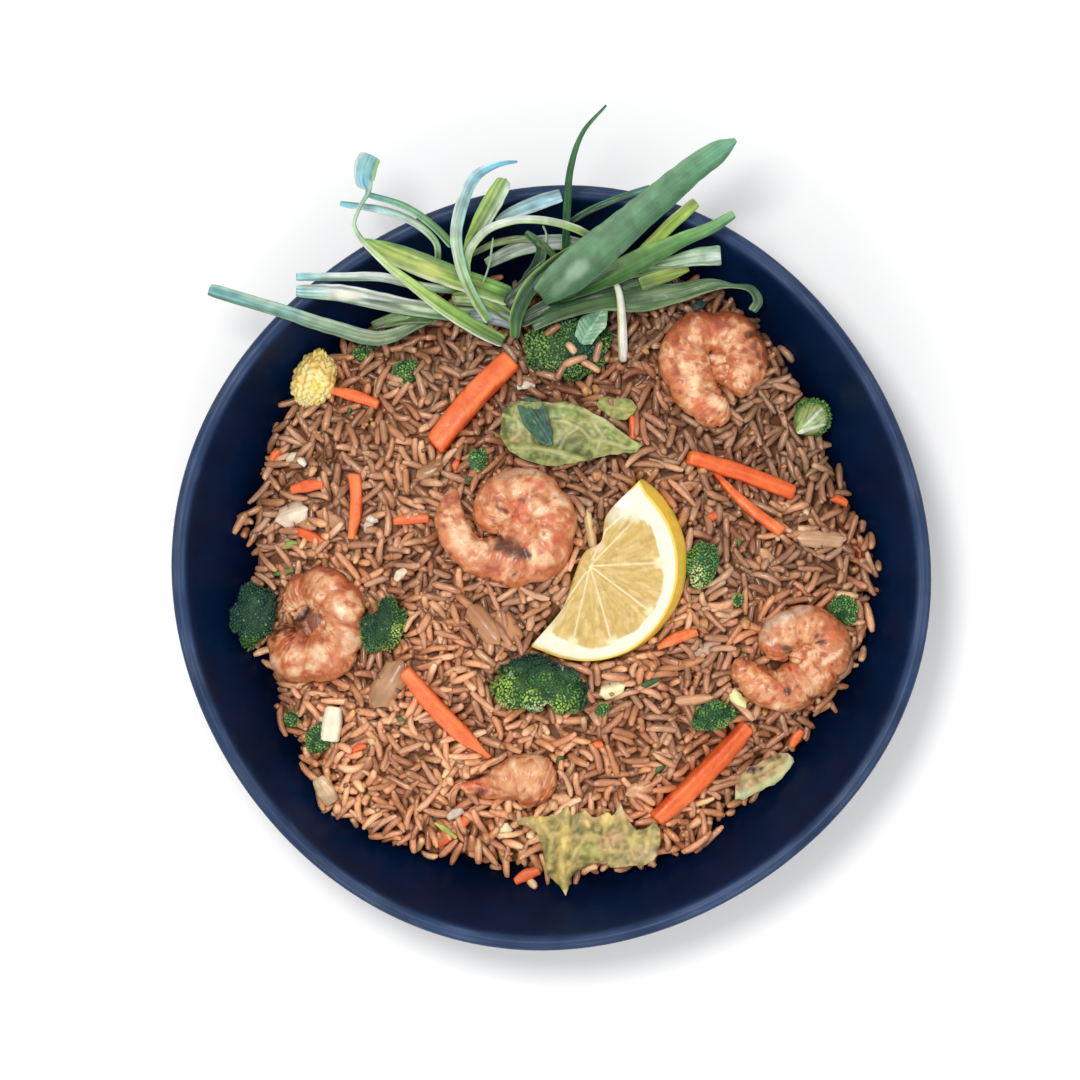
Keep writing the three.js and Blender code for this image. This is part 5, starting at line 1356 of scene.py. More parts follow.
def split_floret(x, y, heading, lift, rx, ry, rz, seed):
    """A small floret cut through its stem: pale branches fan out to a fringe of buds."""
    place = on_rice(x, y, heading, lift)
    rng = np.random.default_rng(31)
    nu, nv = 20, 44
    b = np.linspace(0, np.pi, nu + 2)[1:-1]
    a = np.linspace(0, 2 * np.pi, nv, endpoint=False)
    d = np.stack([np.sin(b)[:, None] * np.cos(a), np.sin(b)[:, None] * np.sin(a), np.cos(b)[:, None] * np.ones(nv)], -1)
    fan = np.cos(np.arctan2(d[..., 1], d[..., 0]) * 0.5) ** 2
    L = d * np.array([rx, ry, rz]) * (0.74 + 0.22 * fan)[..., None]
    L[..., 2] = np.where(L[..., 2] > 0.35 * rz, 0.35 * rz + 0.25 * (L[..., 2] - 0.35 * rz), L[..., 2])
    P = place(L) + 0.25 * noise(place(L), 1.6, 4)[..., None]
    c = plain((nu, nv), (150, 156, 96))
    c = mix(c, (176, 190, 140), 0.7 * smooth(0.3 + 1.8 * noise(P, 1.8, 6)))
    c = mix(c, (92, 130, 60), smooth((np.hypot(L[..., 0] / rx, L[..., 1] / ry) - 0.62) * 5))
    parts = [tube(P, place(np.array([0, 0, 0.5 * rz])), place(np.array([0, 0, -0.9 * rz])), c)]
    root = np.array([-0.92 * rx, -0.05 * ry, 0.34 * rz])
    for k, w in enumerate((-58, -24, 6, 30, 64)):
        w = math.radians(w)
        tip = np.array([0.72 * rx * math.cos(w), 0.78 * ry * math.sin(w), 0.40 * rz])
        middle = 0.5 * (root + tip) + np.array([0, 0, 0.5])
        parts.append(limb(place, [root, middle, tip], 1.0, 0.55, [(206, 220, 190), (172, 192, 140), (214, 226, 200), (160, 178, 116), (150, 166, 100)][k], k))
    count = 520
    w = rng.normal(0, 0.95, count)
    w = np.where(np.abs(w) > 1.75, rng.uniform(-1.7, 1.7, count), w)
    out = rng.uniform(0.74, 1.02, count)
    up = rng.uniform(-0.7, 0.6, count)
    shell = np.sqrt(np.maximum(0.2, 1 - 0.5 * up**2))
    at = np.stack([rx * out * np.cos(w) * shell, ry * out * np.sin(w) * shell, rz * up * 0.9], -1)
    W = place(at)
    n = unit(at / np.array([rx, ry, rz]))
    side = unit(np.cross(n, rng.normal(0, 1, n.shape)))
    frames = np.stack([side, np.cross(n, side), n], 1) @ place.R.T
    r = rng.uniform(0.28, 0.5, count)
    tone = keys([(60, 108, 54), (92, 142, 62), (74, 122, 54), (128, 168, 82), (52, 92, 50)], rng.random(count))
    tone = mix(tone, (150, 180, 110), 0.6 * smooth((0.84 - out) * 12))
    parts.append(scatter(W, frames, np.stack([r, r, r * 1.3], -1), tone, rings=2, sides=6, seed=5))
    return parts


for name, spec in BROCCOLI.items():
    if name == "broccoli_north_east":
        x, y, heading, lift, rx, ry, rz, seed, _ = spec
        add(name + "_visual", split_floret(x, y, 38, lift, rx, ry, rz, seed), BROCCOLI_SKIN, (name,))
        continue
    add(name + "_visual", floret(*spec), BROCCOLI_SKIN, (name,))

small = []
for px, py, half_x, half_y, half_z, seed in [(405, 372, 5.0, 4.2, 3.6, 3.1), (478, 460, 4.0, 3.0, 2.8, 4.6), (362, 352, 3.4, 2.8, 2.6, 1.7), (602, 709, 2.2, 1.8, 1.8, 2.2), (290, 720, 2.6, 2.2, 2.2, 5.1), (738, 600, 1.7, 1.5, 1.4, 3.7)]:
    x, y = (float(q) for q in from_px(px, py, 54))
    small += floret(x, y, 20 * seed, 1.2, half_x, half_y, half_z, seed, [(405, 372, 7, 6, (120, 150, 74))])
add("broccoli_bits", small, BROCCOLI_SKIN)

# ------------------------------------------------------------------ baby corn


def baby_corn():
    place = on_rice(-75.6, 60.4, 70, 5)
    size = np.array([9.4, 7.0, 6.4])
    nu, nv = 90, 88
    b = np.linspace(0, np.pi, nu + 2)[1:-1]
    a = np.linspace(0, 2 * np.pi, nv, endpoint=False)
    # the cob's own line is local x: rows of kernels run along it
    d = np.stack([np.cos(b)[:, None] * np.ones(nv), np.sin(b)[:, None] * np.cos(a), np.sin(b)[:, None] * np.sin(a)], -1)
    full = 1 - 0.05 * np.abs(d[..., 0])
    along = (b / np.pi * 11)[:, None] + 0.25 * np.sin(8 * a)[None]
    around = (a / (2 * np.pi) * 14)[None] + 0 * along
    stagger = 0.5 * (np.floor(around) % 2)
    fu, fv = (along + stagger) % 1 - 0.5, around % 1 - 0.5
    kernel = np.sqrt(np.maximum(0, 1 - (np.abs(fu * 2) ** 3 * 0.9 + np.abs(fv * 2) ** 3 * 0.9)))
    fade = smooth(np.sin(b) * 2.2)[:, None]
    knob = 0.10 * noise(d * size, 4.2, 91) + 0.06 * noise(d * size, 2.0, 92)
    L = d * size * full[..., None] * (0.88 + 0.15 * kernel * fade * (1 + 0.5 * noise(d * size, 1.8, 93)) + knob)[..., None]
    P = place(L)
    P = P + unit(P - place(np.zeros(3))) * (0.12 * noise(P, 1.4, 3))[..., None]
    c = plain((nu, nv), (232, 204, 116))
    # painted light and shade: each kernel is painted paler on its crown and darker in the hollows between kernels
    c = mix(c, (246, 232, 168), 0.8 * kernel)
    c = mix(c, (206, 166, 74), 0.7 * smooth((0.5 - kernel) * 3) * fade)
    c = mix(c, (236, 206, 84), 0.5 * smooth(0.2 + 1.8 * noise(P, 3, 8)))
    c = mix(c, (222, 170, 84), 0.5 * smooth(0.3 - 1.6 * noise(P, 5, 6)))
    c = mix(c, (244, 236, 190), 0.6 * smooth((0.5 - np.sin(b)[:, None]) * 3) * np.ones_like(kernel))
    return tube(P, place(np.array([size[0] * 0.93, 0, 0])), place(np.array([-size[0] * 0.93, 0, 0])), c)


add("baby_corn_visual", [baby_corn()], CORN, ("baby_corn",))

# ------------------------------------------------------------------ leaves
LEAVES = {
    "lettuce_leaf": (0, 0, 0, 0, None, "lettuce"),
    "lettuce_small": (0, 0, 0, 0, None, "lettuce"),
    "lettuce_south": (0, 0, 0, 0, None, "lettuce"),
    "cabbage_stalk": (0, 0, 0, 0, None, "lettuce"),
    "broccoli_flap": (13.2, 77.6, 62, 11.2, dict(length=14.5, width=8.6, thick=0.9, curl=0.8, wave=0.5, seed=0.2, outline=(0.7, 1, 0.3), n=(54, 34),
        base=(118, 158, 126), edge=(152, 186, 150), rib=(150, 184, 156), frill=0.2,
        zones=[(606, 330, 10, 8, (176, 202, 178), 0.6), (588, 318, 10, 8, (92, 136, 110), 0.6)]), "spring_onion"),
}


def leaf_piece(x, y, heading, lift, spec):
    place = on_rice(x, y, heading, lift, lean=0.9)
    length, width, seed = spec["length"], spec["width"], spec["seed"]
    thick, wave, curl_, frill = spec.get("thick", 1.1), spec["wave"], spec["curl"], spec["frill"]
    nu, nv = spec["n"]
    vx = (np.linspace(-0.5, 0.5, nu))[:, None]
    vy = (np.linspace(-0.5, 0.5, nv))[None, :]
    t = vx + 0.5
    k = keys(spec["outline"], t[:, 0])[:, None]
    ragged = 1 + 0.05 * noise(np.stack([t * length * np.ones_like(vy), 5 * np.sign(vy) * np.ones_like(t), 0 * t * vy], -1), 1.6, int(seed * 10))
    ends = smooth(np.minimum(t, 1 - t) / 0.06) ** 0.5
    z = wave * np.sin(0.42 * length * vx + seed) * np.cos(0.5 * width * vy + seed) + curl_ * (4 * vy**2 - 0.5) * k
    Y = vy * width * k * ragged * (0.55 + 0.45 * ends) + 0.04 * width * np.sin(5 * t + seed)
    X = vx * length * np.ones_like(vy) + 0.5 * noise(flat(Y, 9 + 0 * Y), 3.0, 4) * (np.abs(vx) > 0.47)
    rim = np.abs(vy * 2) ** 2.2
    ruffle = frill * rim * (np.sin(X * 1.15 + 2 * seed + 2.0 * np.sign(vy)) * 0.6 + 0.8 * noise(flat(X, Y), 3.4, 12))
    veins = np.zeros_like(X)
    sgn = np.where(vy < 0, -1, 1)
    for j in range(9):
        t0 = (j + 0.3) / 9
        veins = np.maximum(veins, np.exp(-(((t - t0 - 0.34 * np.abs(vy) + 0.01 * np.sin(9 * vy + j)) * length / 0.45) ** 2)) * (0.5 + 0.5 * (j % 2 == (sgn > 0))))
    mid = np.exp(-((vy * width / (0.9 - 0.6 * t)) ** 2))
    z = z + ruffle + 0.28 * veins * smooth(np.abs(vy) * 12) + 0.5 * mid * (1 - 0.5 * t) + 0.35 * fbm(flat(X, Y), 3.0, 3, 9)
    half_t = 0.5 * thick * (0.25 + 0.75 * smooth((1 - np.abs(vy * 2)) * 4)) * (0.3 + 0.7 * smooth(np.minimum(t, 1 - t) * 16))
    half_t = np.minimum(half_t, 0.42)
    top = np.stack([X, Y, z + half_t], -1)
    bottom = np.stack([X, Y, z - half_t], -1)
    T, B = place(top), place(bottom)
    c = plain(X.shape, spec["base"])
    c = mix(c, spec["edge"], 0.85 * smooth((np.abs(vy * 2) - 0.45) * 1.8) * np.ones_like(X))
    c = mix(c, spec["rib"], 0.75 * mid)
    c = mix(c, spec["rib"], 0.45 * veins)
    c = mix(c, np.array(spec["base"]) * 0.62, 0.5 * smooth(0.15 - 1.8 * fbm(T, 6, 3, 33)))
    c = mix(c, np.minimum(255, np.array(spec["base"]) * 1.2), 0.5 * smooth(-0.1 + 1.8 * fbm(T, 5, 3, 35)))
    for zx, zy, rx, ry, colour, strength in spec["zones"]:
        c = mix(c, colour, strength * blob(T, zx, zy, rx, ry, 0, 0.9))
    if spec["length"] > 20:
        c = mix(c, (120, 84, 44), 0.5 * (noise(T, 1.1, 41) > 0.6) * (noise(T, 6, 42) > 0))
    return sheet(T, B, c)


# Leaves drawn by their outline in the picture plane: the upper and the lower edge, point for
# point from one end to the other, laid on the slope of the rice under them.
OUTLINES = {
    "lettuce_leaf": dict(
        at=(6.3, 43), lift=3.0, curl=2.4, ruffle=0.9, n=(120, 60), thick=1.0, seed=4,
        upper=[(502, 420), (503, 412), (508, 405), (519, 401), (533, 402), (549, 402), (565, 402), (576, 405), (585, 409), (602, 417), (612, 424), (621, 431), (634, 441), (642, 444)],
        lower=[(501, 424), (500, 434), (504, 444), (512, 452), (525, 460), (540, 464), (555, 467), (577, 462), (592, 459), (603, 457), (610, 455), (619, 454), (636, 453), (643, 446)],
        base=(126, 132, 62), light=(172, 172, 104), dark=(78, 92, 40), vein=(194, 190, 138),
        ridges=[([(551, 405), (575, 408), (590, 418), (600, 432), (606, 440)], 2.2, 0.5), ([(552, 421), (566, 422), (580, 428), (592, 440), (606, 441), (627, 447), (638, 445)], 2.0, 0.5),
                ([(513, 447), (540, 448), (560, 453), (584, 459)], 3.0, 1.3), ([(503, 415), (515, 418), (522, 425), (530, 432), (531, 447)], 2.0, 0.4), ([(549, 403), (585, 411), (621, 433), (636, 443)], 2.6, 0.5),
                ([(560, 448), (566, 436), (578, 428)], 1.6, 0.3), ([(596, 452), (600, 440), (606, 430)], 1.6, 0.3), ([(512, 440), (520, 432), (518, 420)], 1.6, 0.3)],
        # the olive patch at (578, 434) and the dark band at (538, 457) under the fold are painted shade
        patches=[(578, 434, 16, 8, (134, 124, 66), 0.55), (538, 457, 24, 5, (104, 112, 50), 0.75), (606, 448, 10, 5, (126, 118, 62), 0.5), (515, 438, 8, 6, (196, 150, 104), 0.55),
                 (565, 412, 14, 6, (150, 178, 78), 0.6), (612, 434, 8, 5, (152, 184, 84), 0.6), (636, 447, 6, 4, (164, 196, 92), 0.8), (556, 438, 6, 6, (206, 204, 170), 0.5), (600, 421, 16, 5, (196, 200, 152), 0.5),
                 (520, 412, 8, 8, (170, 160, 96), 0.5)]),
    "lettuce_small": dict(
        at=(20.8, 50.6), lift=2.6, curl=0.9, ruffle=0.5, n=(50, 30), thick=0.9, seed=7,
        upper=[(596, 404), (600, 398), (607, 397), (615, 399), (625, 398), (634, 402), (637, 407)],
        lower=[(597, 406), (602, 410), (607, 416), (616, 420), (626, 419), (634, 414), (637, 408)],
        base=(148, 148, 72), light=(180, 176, 98), dark=(104, 120, 50), vein=(182, 176, 116),
        ridges=[([(600, 402), (612, 408), (626, 409)], 1.6, 0.3)],
        patches=[(602, 402, 5, 5, (122, 142, 62), 0.7), (608, 414, 6, 3, (200, 180, 140), 0.5), (628, 412, 6, 4, (206, 182, 100), 0.5)]),
    "lettuce_south": dict(
        at=(12, -88.2), lift=2.8, curl=0.8, ruffle=1.5, n=(130, 50), thick=1.0, seed=11,
        upper=[(517, 820), (533, 815), (545, 817), (556, 814), (568, 805), (572, 817), (577, 814), (584, 808), (591, 817), (600, 817), (607, 811), (613, 816), (621, 803), (627, 818), (635, 829), (646, 829), (655, 823), (660, 829)],
        lower=[(517, 824), (536, 831), (543, 850), (545, 874), (558, 884), (566, 897), (570, 878), (580, 867), (592, 866), (604, 860), (609, 867), (618, 867), (628, 866), (637, 866), (646, 865), (653, 860), (658, 851), (661, 842)],
        base=(158, 140, 78), light=(204, 180, 112), dark=(104, 98, 48), vein=(216, 190, 120),
        ridges=[([(567, 812), (564, 840), (561, 870), (566, 893)], 4.0, 1.2), ([(540, 822), (552, 838), (549, 868)], 3.0, 0.7), ([(590, 834), (577, 848), (570, 864)], 2.6, 0.7),
                ([(607, 816), (604, 836), (612, 852)], 2.6, 0.7), ([(621, 808), (628, 838), (634, 858)], 2.4, 0.6), ([(650, 832), (646, 852)], 2.4, 0.5), ([(584, 812), (588, 828)], 2.2, 0.6)],
        patches=[(564, 838, 6, 14, (240, 206, 104), 0.75), (561, 872, 6, 12, (226, 196, 100), 0.7), (549, 842, 5, 5, (150, 142, 76), 0.6), (556, 817, 6, 4, (150, 138, 78), 0.6), (587, 819, 8, 6, (230, 186, 130), 0.8),
                 (607, 820, 5, 7, (238, 208, 118), 0.8), (621, 812, 5, 10, (240, 206, 158), 0.8), (613, 838, 11, 9, (186, 138, 102), 0.8), (602, 846, 6, 8, (190, 144, 104), 0.6), (634, 842, 6, 9, (234, 212, 130), 0.7),
                 (625, 859, 14, 6, (174, 154, 104), 0.6), (645, 853, 11, 8, (206, 178, 144), 0.65), (571, 857, 2, 9, (112, 112, 56), 0.7), (538, 820, 9, 4, (236, 214, 108), 0.7), (590, 852, 12, 8, (186, 190, 100), 0.6), (653, 836, 5, 10, (176, 170, 110), 0.6)]),
    "cabbage_stalk": dict(
        at=(67.3, -66.4), lift=2.0, curl=1.6, ruffle=0.3, n=(80, 36), thick=1.6, seed=13,
        upper=[(735, 786), (738, 774), (746, 767), (757, 764), (768, 758), (779, 753), (788, 753), (793, 758)],
        lower=[(735, 800), (744, 799), (753, 794), (763, 789), (774, 784), (783, 777), (789, 769), (794, 762)],
        base=(196, 158, 112), light=(222, 196, 150), dark=(150, 120, 78), vein=(206, 190, 120),
        ridges=[([(738, 797), (752, 791), (765, 785), (778, 777), (788, 767), (792, 760)], 4.5, 0.9), ([(744, 778), (760, 774), (774, 765), (786, 758)], 2.2, 0.6)],
        patches=[(753, 770, 10, 4, (66, 40, 38), 0.85), (775, 758, 10, 4, (116, 108, 56), 0.8), (738, 788, 5, 7, (206, 160, 124), 0.5)],
        edge=([(738, 798), (752, 792), (765, 787), (778, 779), (788, 769), (792, 761)], 5.0, (176, 208, 176))),
}
DARK_HERB = dict(
    at=(-5.0, 46.5), lift=6.2, curl=0.6, ruffle=0.5, n=(60, 30), thick=0.6, seed=21,
    upper=[(528, 397), (537, 399), (546, 407), (548, 416), (551, 428), (554, 444)],
    lower=[(516, 402), (519, 414), (523, 424), (531, 433), (539, 441), (547, 447)],
    base=(40, 82, 56), light=(62, 108, 78), dark=(22, 52, 40), vein=(66, 108, 84),
    ridges=[([(526, 402), (538, 420), (550, 440)], 1.6, 0.4)], patches=[(546, 430, 5, 8, (56, 84, 104), 0.6)])


def outlined_leaf(spec):
    place = on_rice(*spec["at"], lift=spec["lift"], lean=0.9)
    nu, nv = spec["n"]
    upper, lower = np.array(spec["upper"], float), np.array(spec["lower"], float)
    t = np.linspace(0, 1, nu)
    k = t * (len(upper) - 1)
    at = np.arange(len(upper))
    U = np.stack([np.interp(k, at, upper[:, 0]), np.interp(k, at, upper[:, 1])], -1)
    L = np.stack([np.interp(k, at, lower[:, 0]), np.interp(k, at, lower[:, 1])], -1)
    soften = np.array([0.25, 0.5, 0.25])
    for E in (U, L):
        E[1:-1] = soften[0] * E[:-2] + soften[1] * E[1:-1] + soften[2] * E[2:]
    v = np.linspace(0, 1, nv)[None, :, None]
    px = U[:, None] + (L - U)[:, None] * v
    wob = np.stack([noise(np.stack([px[..., 0], px[..., 1], 0 * px[..., 0]], -1), 6.0, spec["seed"] + q) for q in (1, 2)], -1)
    px = px + 1.1 * wob * np.abs(2 * v - 1) ** 2
    n = place.R[:, 2]
    x, y = from_px(px[..., 0], px[..., 1], place.at[2])
    z = place.at[2] - (n[0] * (x - place.at[0]) + n[1] * (y - place.at[1])) / n[2]
    x, y = from_px(px[..., 0], px[..., 1], z)
    vv = 2 * v[..., 0] - 1
    flat_at = np.stack([x, y, z], -1)
    z = z + spec["curl"] * (vv**2 - 0.45) * smooth(np.minimum(t, 1 - t) * 5)[:, None]
    z = z + spec["ruffle"] * (0.55 * np.abs(vv) ** 1.5 + 0.25) * noise(flat_at, 4.2, spec["seed"] + 3) + 0.35 * spec["ruffle"] * noise(flat_at, 1.9, spec["seed"] + 4)
    ridge = np.zeros(z.shape)
    for points, width, high in spec["ridges"]:
        m = near(flat_at, points, width, 1.4)
        ridge = np.maximum(ridge, m)
        z = z + 0.8 * high * m
    z = np.maximum(z, inner_z(np.minimum(np.hypot(x, y), 115)) + 1.4)
    half = 0.5 * spec["thick"] * (0.3 + 0.7 * smooth((1 - np.abs(vv)) * 4)) * (0.35 + 0.65 * smooth(np.minimum(t, 1 - t) * 14))[:, None]
    T, B = np.stack([x, y, z + half], -1), np.stack([x, y, z - half], -1)
    web = 1 - np.abs(noise(T + 0.8 * noise(T, 2.6, 5)[..., None], 3.6, spec["seed"] + 6)) * 7
    c = plain(z.shape, spec["base"])
    c = mix(c, spec["light"], 0.7 * smooth(0.3 + 1.8 * fbm(T, 4.5, 3, spec["seed"] + 7)))
    c = mix(c, spec["dark"], 0.8 * smooth(0.1 - 2.4 * fbm(T, 5.5, 3, spec["seed"] + 8)))
    for zx, zy, rx, ry, colour, strength in spec["patches"]:
        c = mix(c, colour, strength * blob(T + 0.8 * noise(T, 2, 9)[..., None], zx, zy, rx, ry, 0, 0.9))
    if "edge" in spec:
        points, width, colour = spec["edge"]
        c = mix(c, colour, 0.9 * near(T, points, width, 0.6))
    # painted light and shade: a fine noise darkens some crinkles and paints pale highlights on others
    crinkle_shading = noise(T * [1, 1, 0.4] + 0.5 * noise(T, 1.3, 15)[..., None], 1.15, spec["seed"] + 12)
    c = c * (1 - 0.13 * smooth(0.2 - 2.2 * crinkle_shading))[..., None]
    c = mix(c, spec["light"], 0.45 * smooth(2.6 * crinkle_shading - 0.25))
    c = mix(c, spec["vein"], 0.35 * smooth(web))
    # ridges take the vein colour: the veins' own paler colour, and a painted highlight where a ridge is the crest of a
    # fold
    c = mix(c, spec["vein"], 0.75 * ridge * (0.7 + 0.3 * noise(T, 2.2, 10)))
    return sheet(T, B, c)


for name, (x, y, heading, lift, spec, slot_name) in LEAVES.items():
    if name in OUTLINES:
        add(name + "_visual", [outlined_leaf(OUTLINES[name])], LEAF, (name,))
    else:
        add(name + "_visual", [leaf_piece(x, y, heading, lift, spec)], SCALLION, (name,))
add("dark_herb", [outlined_leaf(DARK_HERB)], LEAF)

# ------------------------------------------------------------------ onion pieces
ONIONS = {
    "onion_white_block": (-69.9, -49.3, 82, 1.6, dict(length=11.2, width=6.4, thick=4, taper=(0.95, 1, 0.8)), (250, 234, 202), (255, 246, 226)),
    "onion_north_west": (-82.6, 17.1, 20, 1.4, dict(length=10.4, width=8, thick=3, sag=1, taper=(0.7, 1, 0.8)), (206, 172, 142), (240, 222, 200)),
    "onion_east": (85.6, 9.6, 0, 1.4, dict(length=15.5, width=5.6, thick=2.2, sag=0.6, taper=(0.9, 1, 0.9)), (196, 154, 118), (216, 178, 138)),
    "onion_south_west": (-51.9, -36.4, 58, 1, dict(length=15.8, width=10, thick=2, sag=1.2, taper=(0.7, 1, 0.7)), (168, 124, 88), (190, 146, 106)),
    "onion_middle": (-21.5, -17.4, -52, 1.2, dict(length=15, width=7, thick=1.8, sag=1, taper=(0.6, 1, 0.6)), (170, 118, 80), (192, 142, 98)),
    "onion_south_pale": (-72.1, -70.5, -58, 1.4, dict(length=9.4, width=6.2, thick=3.4, taper=(0.7, 1, 0.8)), (206, 172, 128), (232, 208, 168)),
}


def petal(place, length, width, base, light, seed=0, thick=0.9, curve=1.2, nu=40, nv=22):
    """A soft, glassy slice of onion: a thin sheet bent across, with fibres along it."""
    t = np.linspace(0, 1, nu)[:, None]
    v = np.linspace(-0.5, 0.5, nv)[None, :]
    k = 0.80 + 0.20 * np.sin(np.pi * np.clip(0.10 + 0.82 * t, 0, 1)) ** 0.8
    ends = smooth(np.minimum(t, 1 - t) / 0.06) ** 0.5
    one = np.ones_like(t * v)
    q = np.stack([t * 9 * one, v * 7 * one, seed * one], -1)
    Y = v * width * k * (0.55 + 0.45 * ends) * (1 + 0.08 * noise(q, 1.7, seed))
    X = (t - 0.5) * length + 0.10 * width * np.cos(2 * np.pi * v) * np.sign(t - 0.5) + 0.25 * noise(q, 1.1, seed + 1)
    z = curve * (0.45 - 4 * v**2) * k + 0.35 * curve * (0.5 - np.abs(2 * t - 1)) + 0.25 * noise(q, 2.6, seed + 2)
    half = 0.5 * thick * (0.3 + 0.7 * smooth((1 - np.abs(2 * v)) * 4)) * (0.35 + 0.65 * smooth(np.minimum(t, 1 - t) * 9))
    fibre = noise(np.stack([X / 7, Y / 0.5, 0 * X], -1), 1.0, seed + 3)
    z = z + 0.02 * fibre
    base, light = np.asarray(base, float), np.asarray(light, float)
    c = plain(X.shape, base)
    c = mix(c, light, 0.7 * smooth(0.3 + 1.6 * noise(q, 2.4, seed + 4)))
    c = mix(c, light * 1.06, 0.22 * smooth(fibre * 2.4))
    c = mix(c, base * [0.86, 0.80, 0.74], 0.22 * smooth(-fibre * 2.2))
    c = mix(c, base * [0.88, 0.82, 0.76], 0.45 * smooth((np.abs(2 * v) - 0.78) * 4) * one)
    return sheet(place(np.stack([X, Y, z + half], -1)), place(np.stack([X, Y, z - half], -1)), c)


for i, (name, (x, y, heading, lift, shape, base, light)) in enumerate(ONIONS.items()):
    dark = tuple((0.9 if name == "onion_white_block" else 0.78) * np.array(base))
    if name not in ("onion_white_block", "onion_south_pale"):
        add(name + "_visual", [petal(on_rice(x, y, heading, lift + 0.2), shape["length"], shape["width"], base, light, seed=500 + i, curve=1.2 + shape.get("sag", 0) * 0.5)], ONION, (name,))
        continue
    piece = stick(on_rice(x, y, heading, lift), seed=50 + 10 * i, square=3.2, base=base, light=light, dark=dark, top_highlight=light, **shape)
    v, faces, c = piece
    if name != "onion_white_block":
        c = mix(c, dark, 0.5 * smooth(0.3 + 1.4 * noise(v, 3.2, 90)))
    add(name + "_visual", [(v, faces, c)], ONION, (name,))

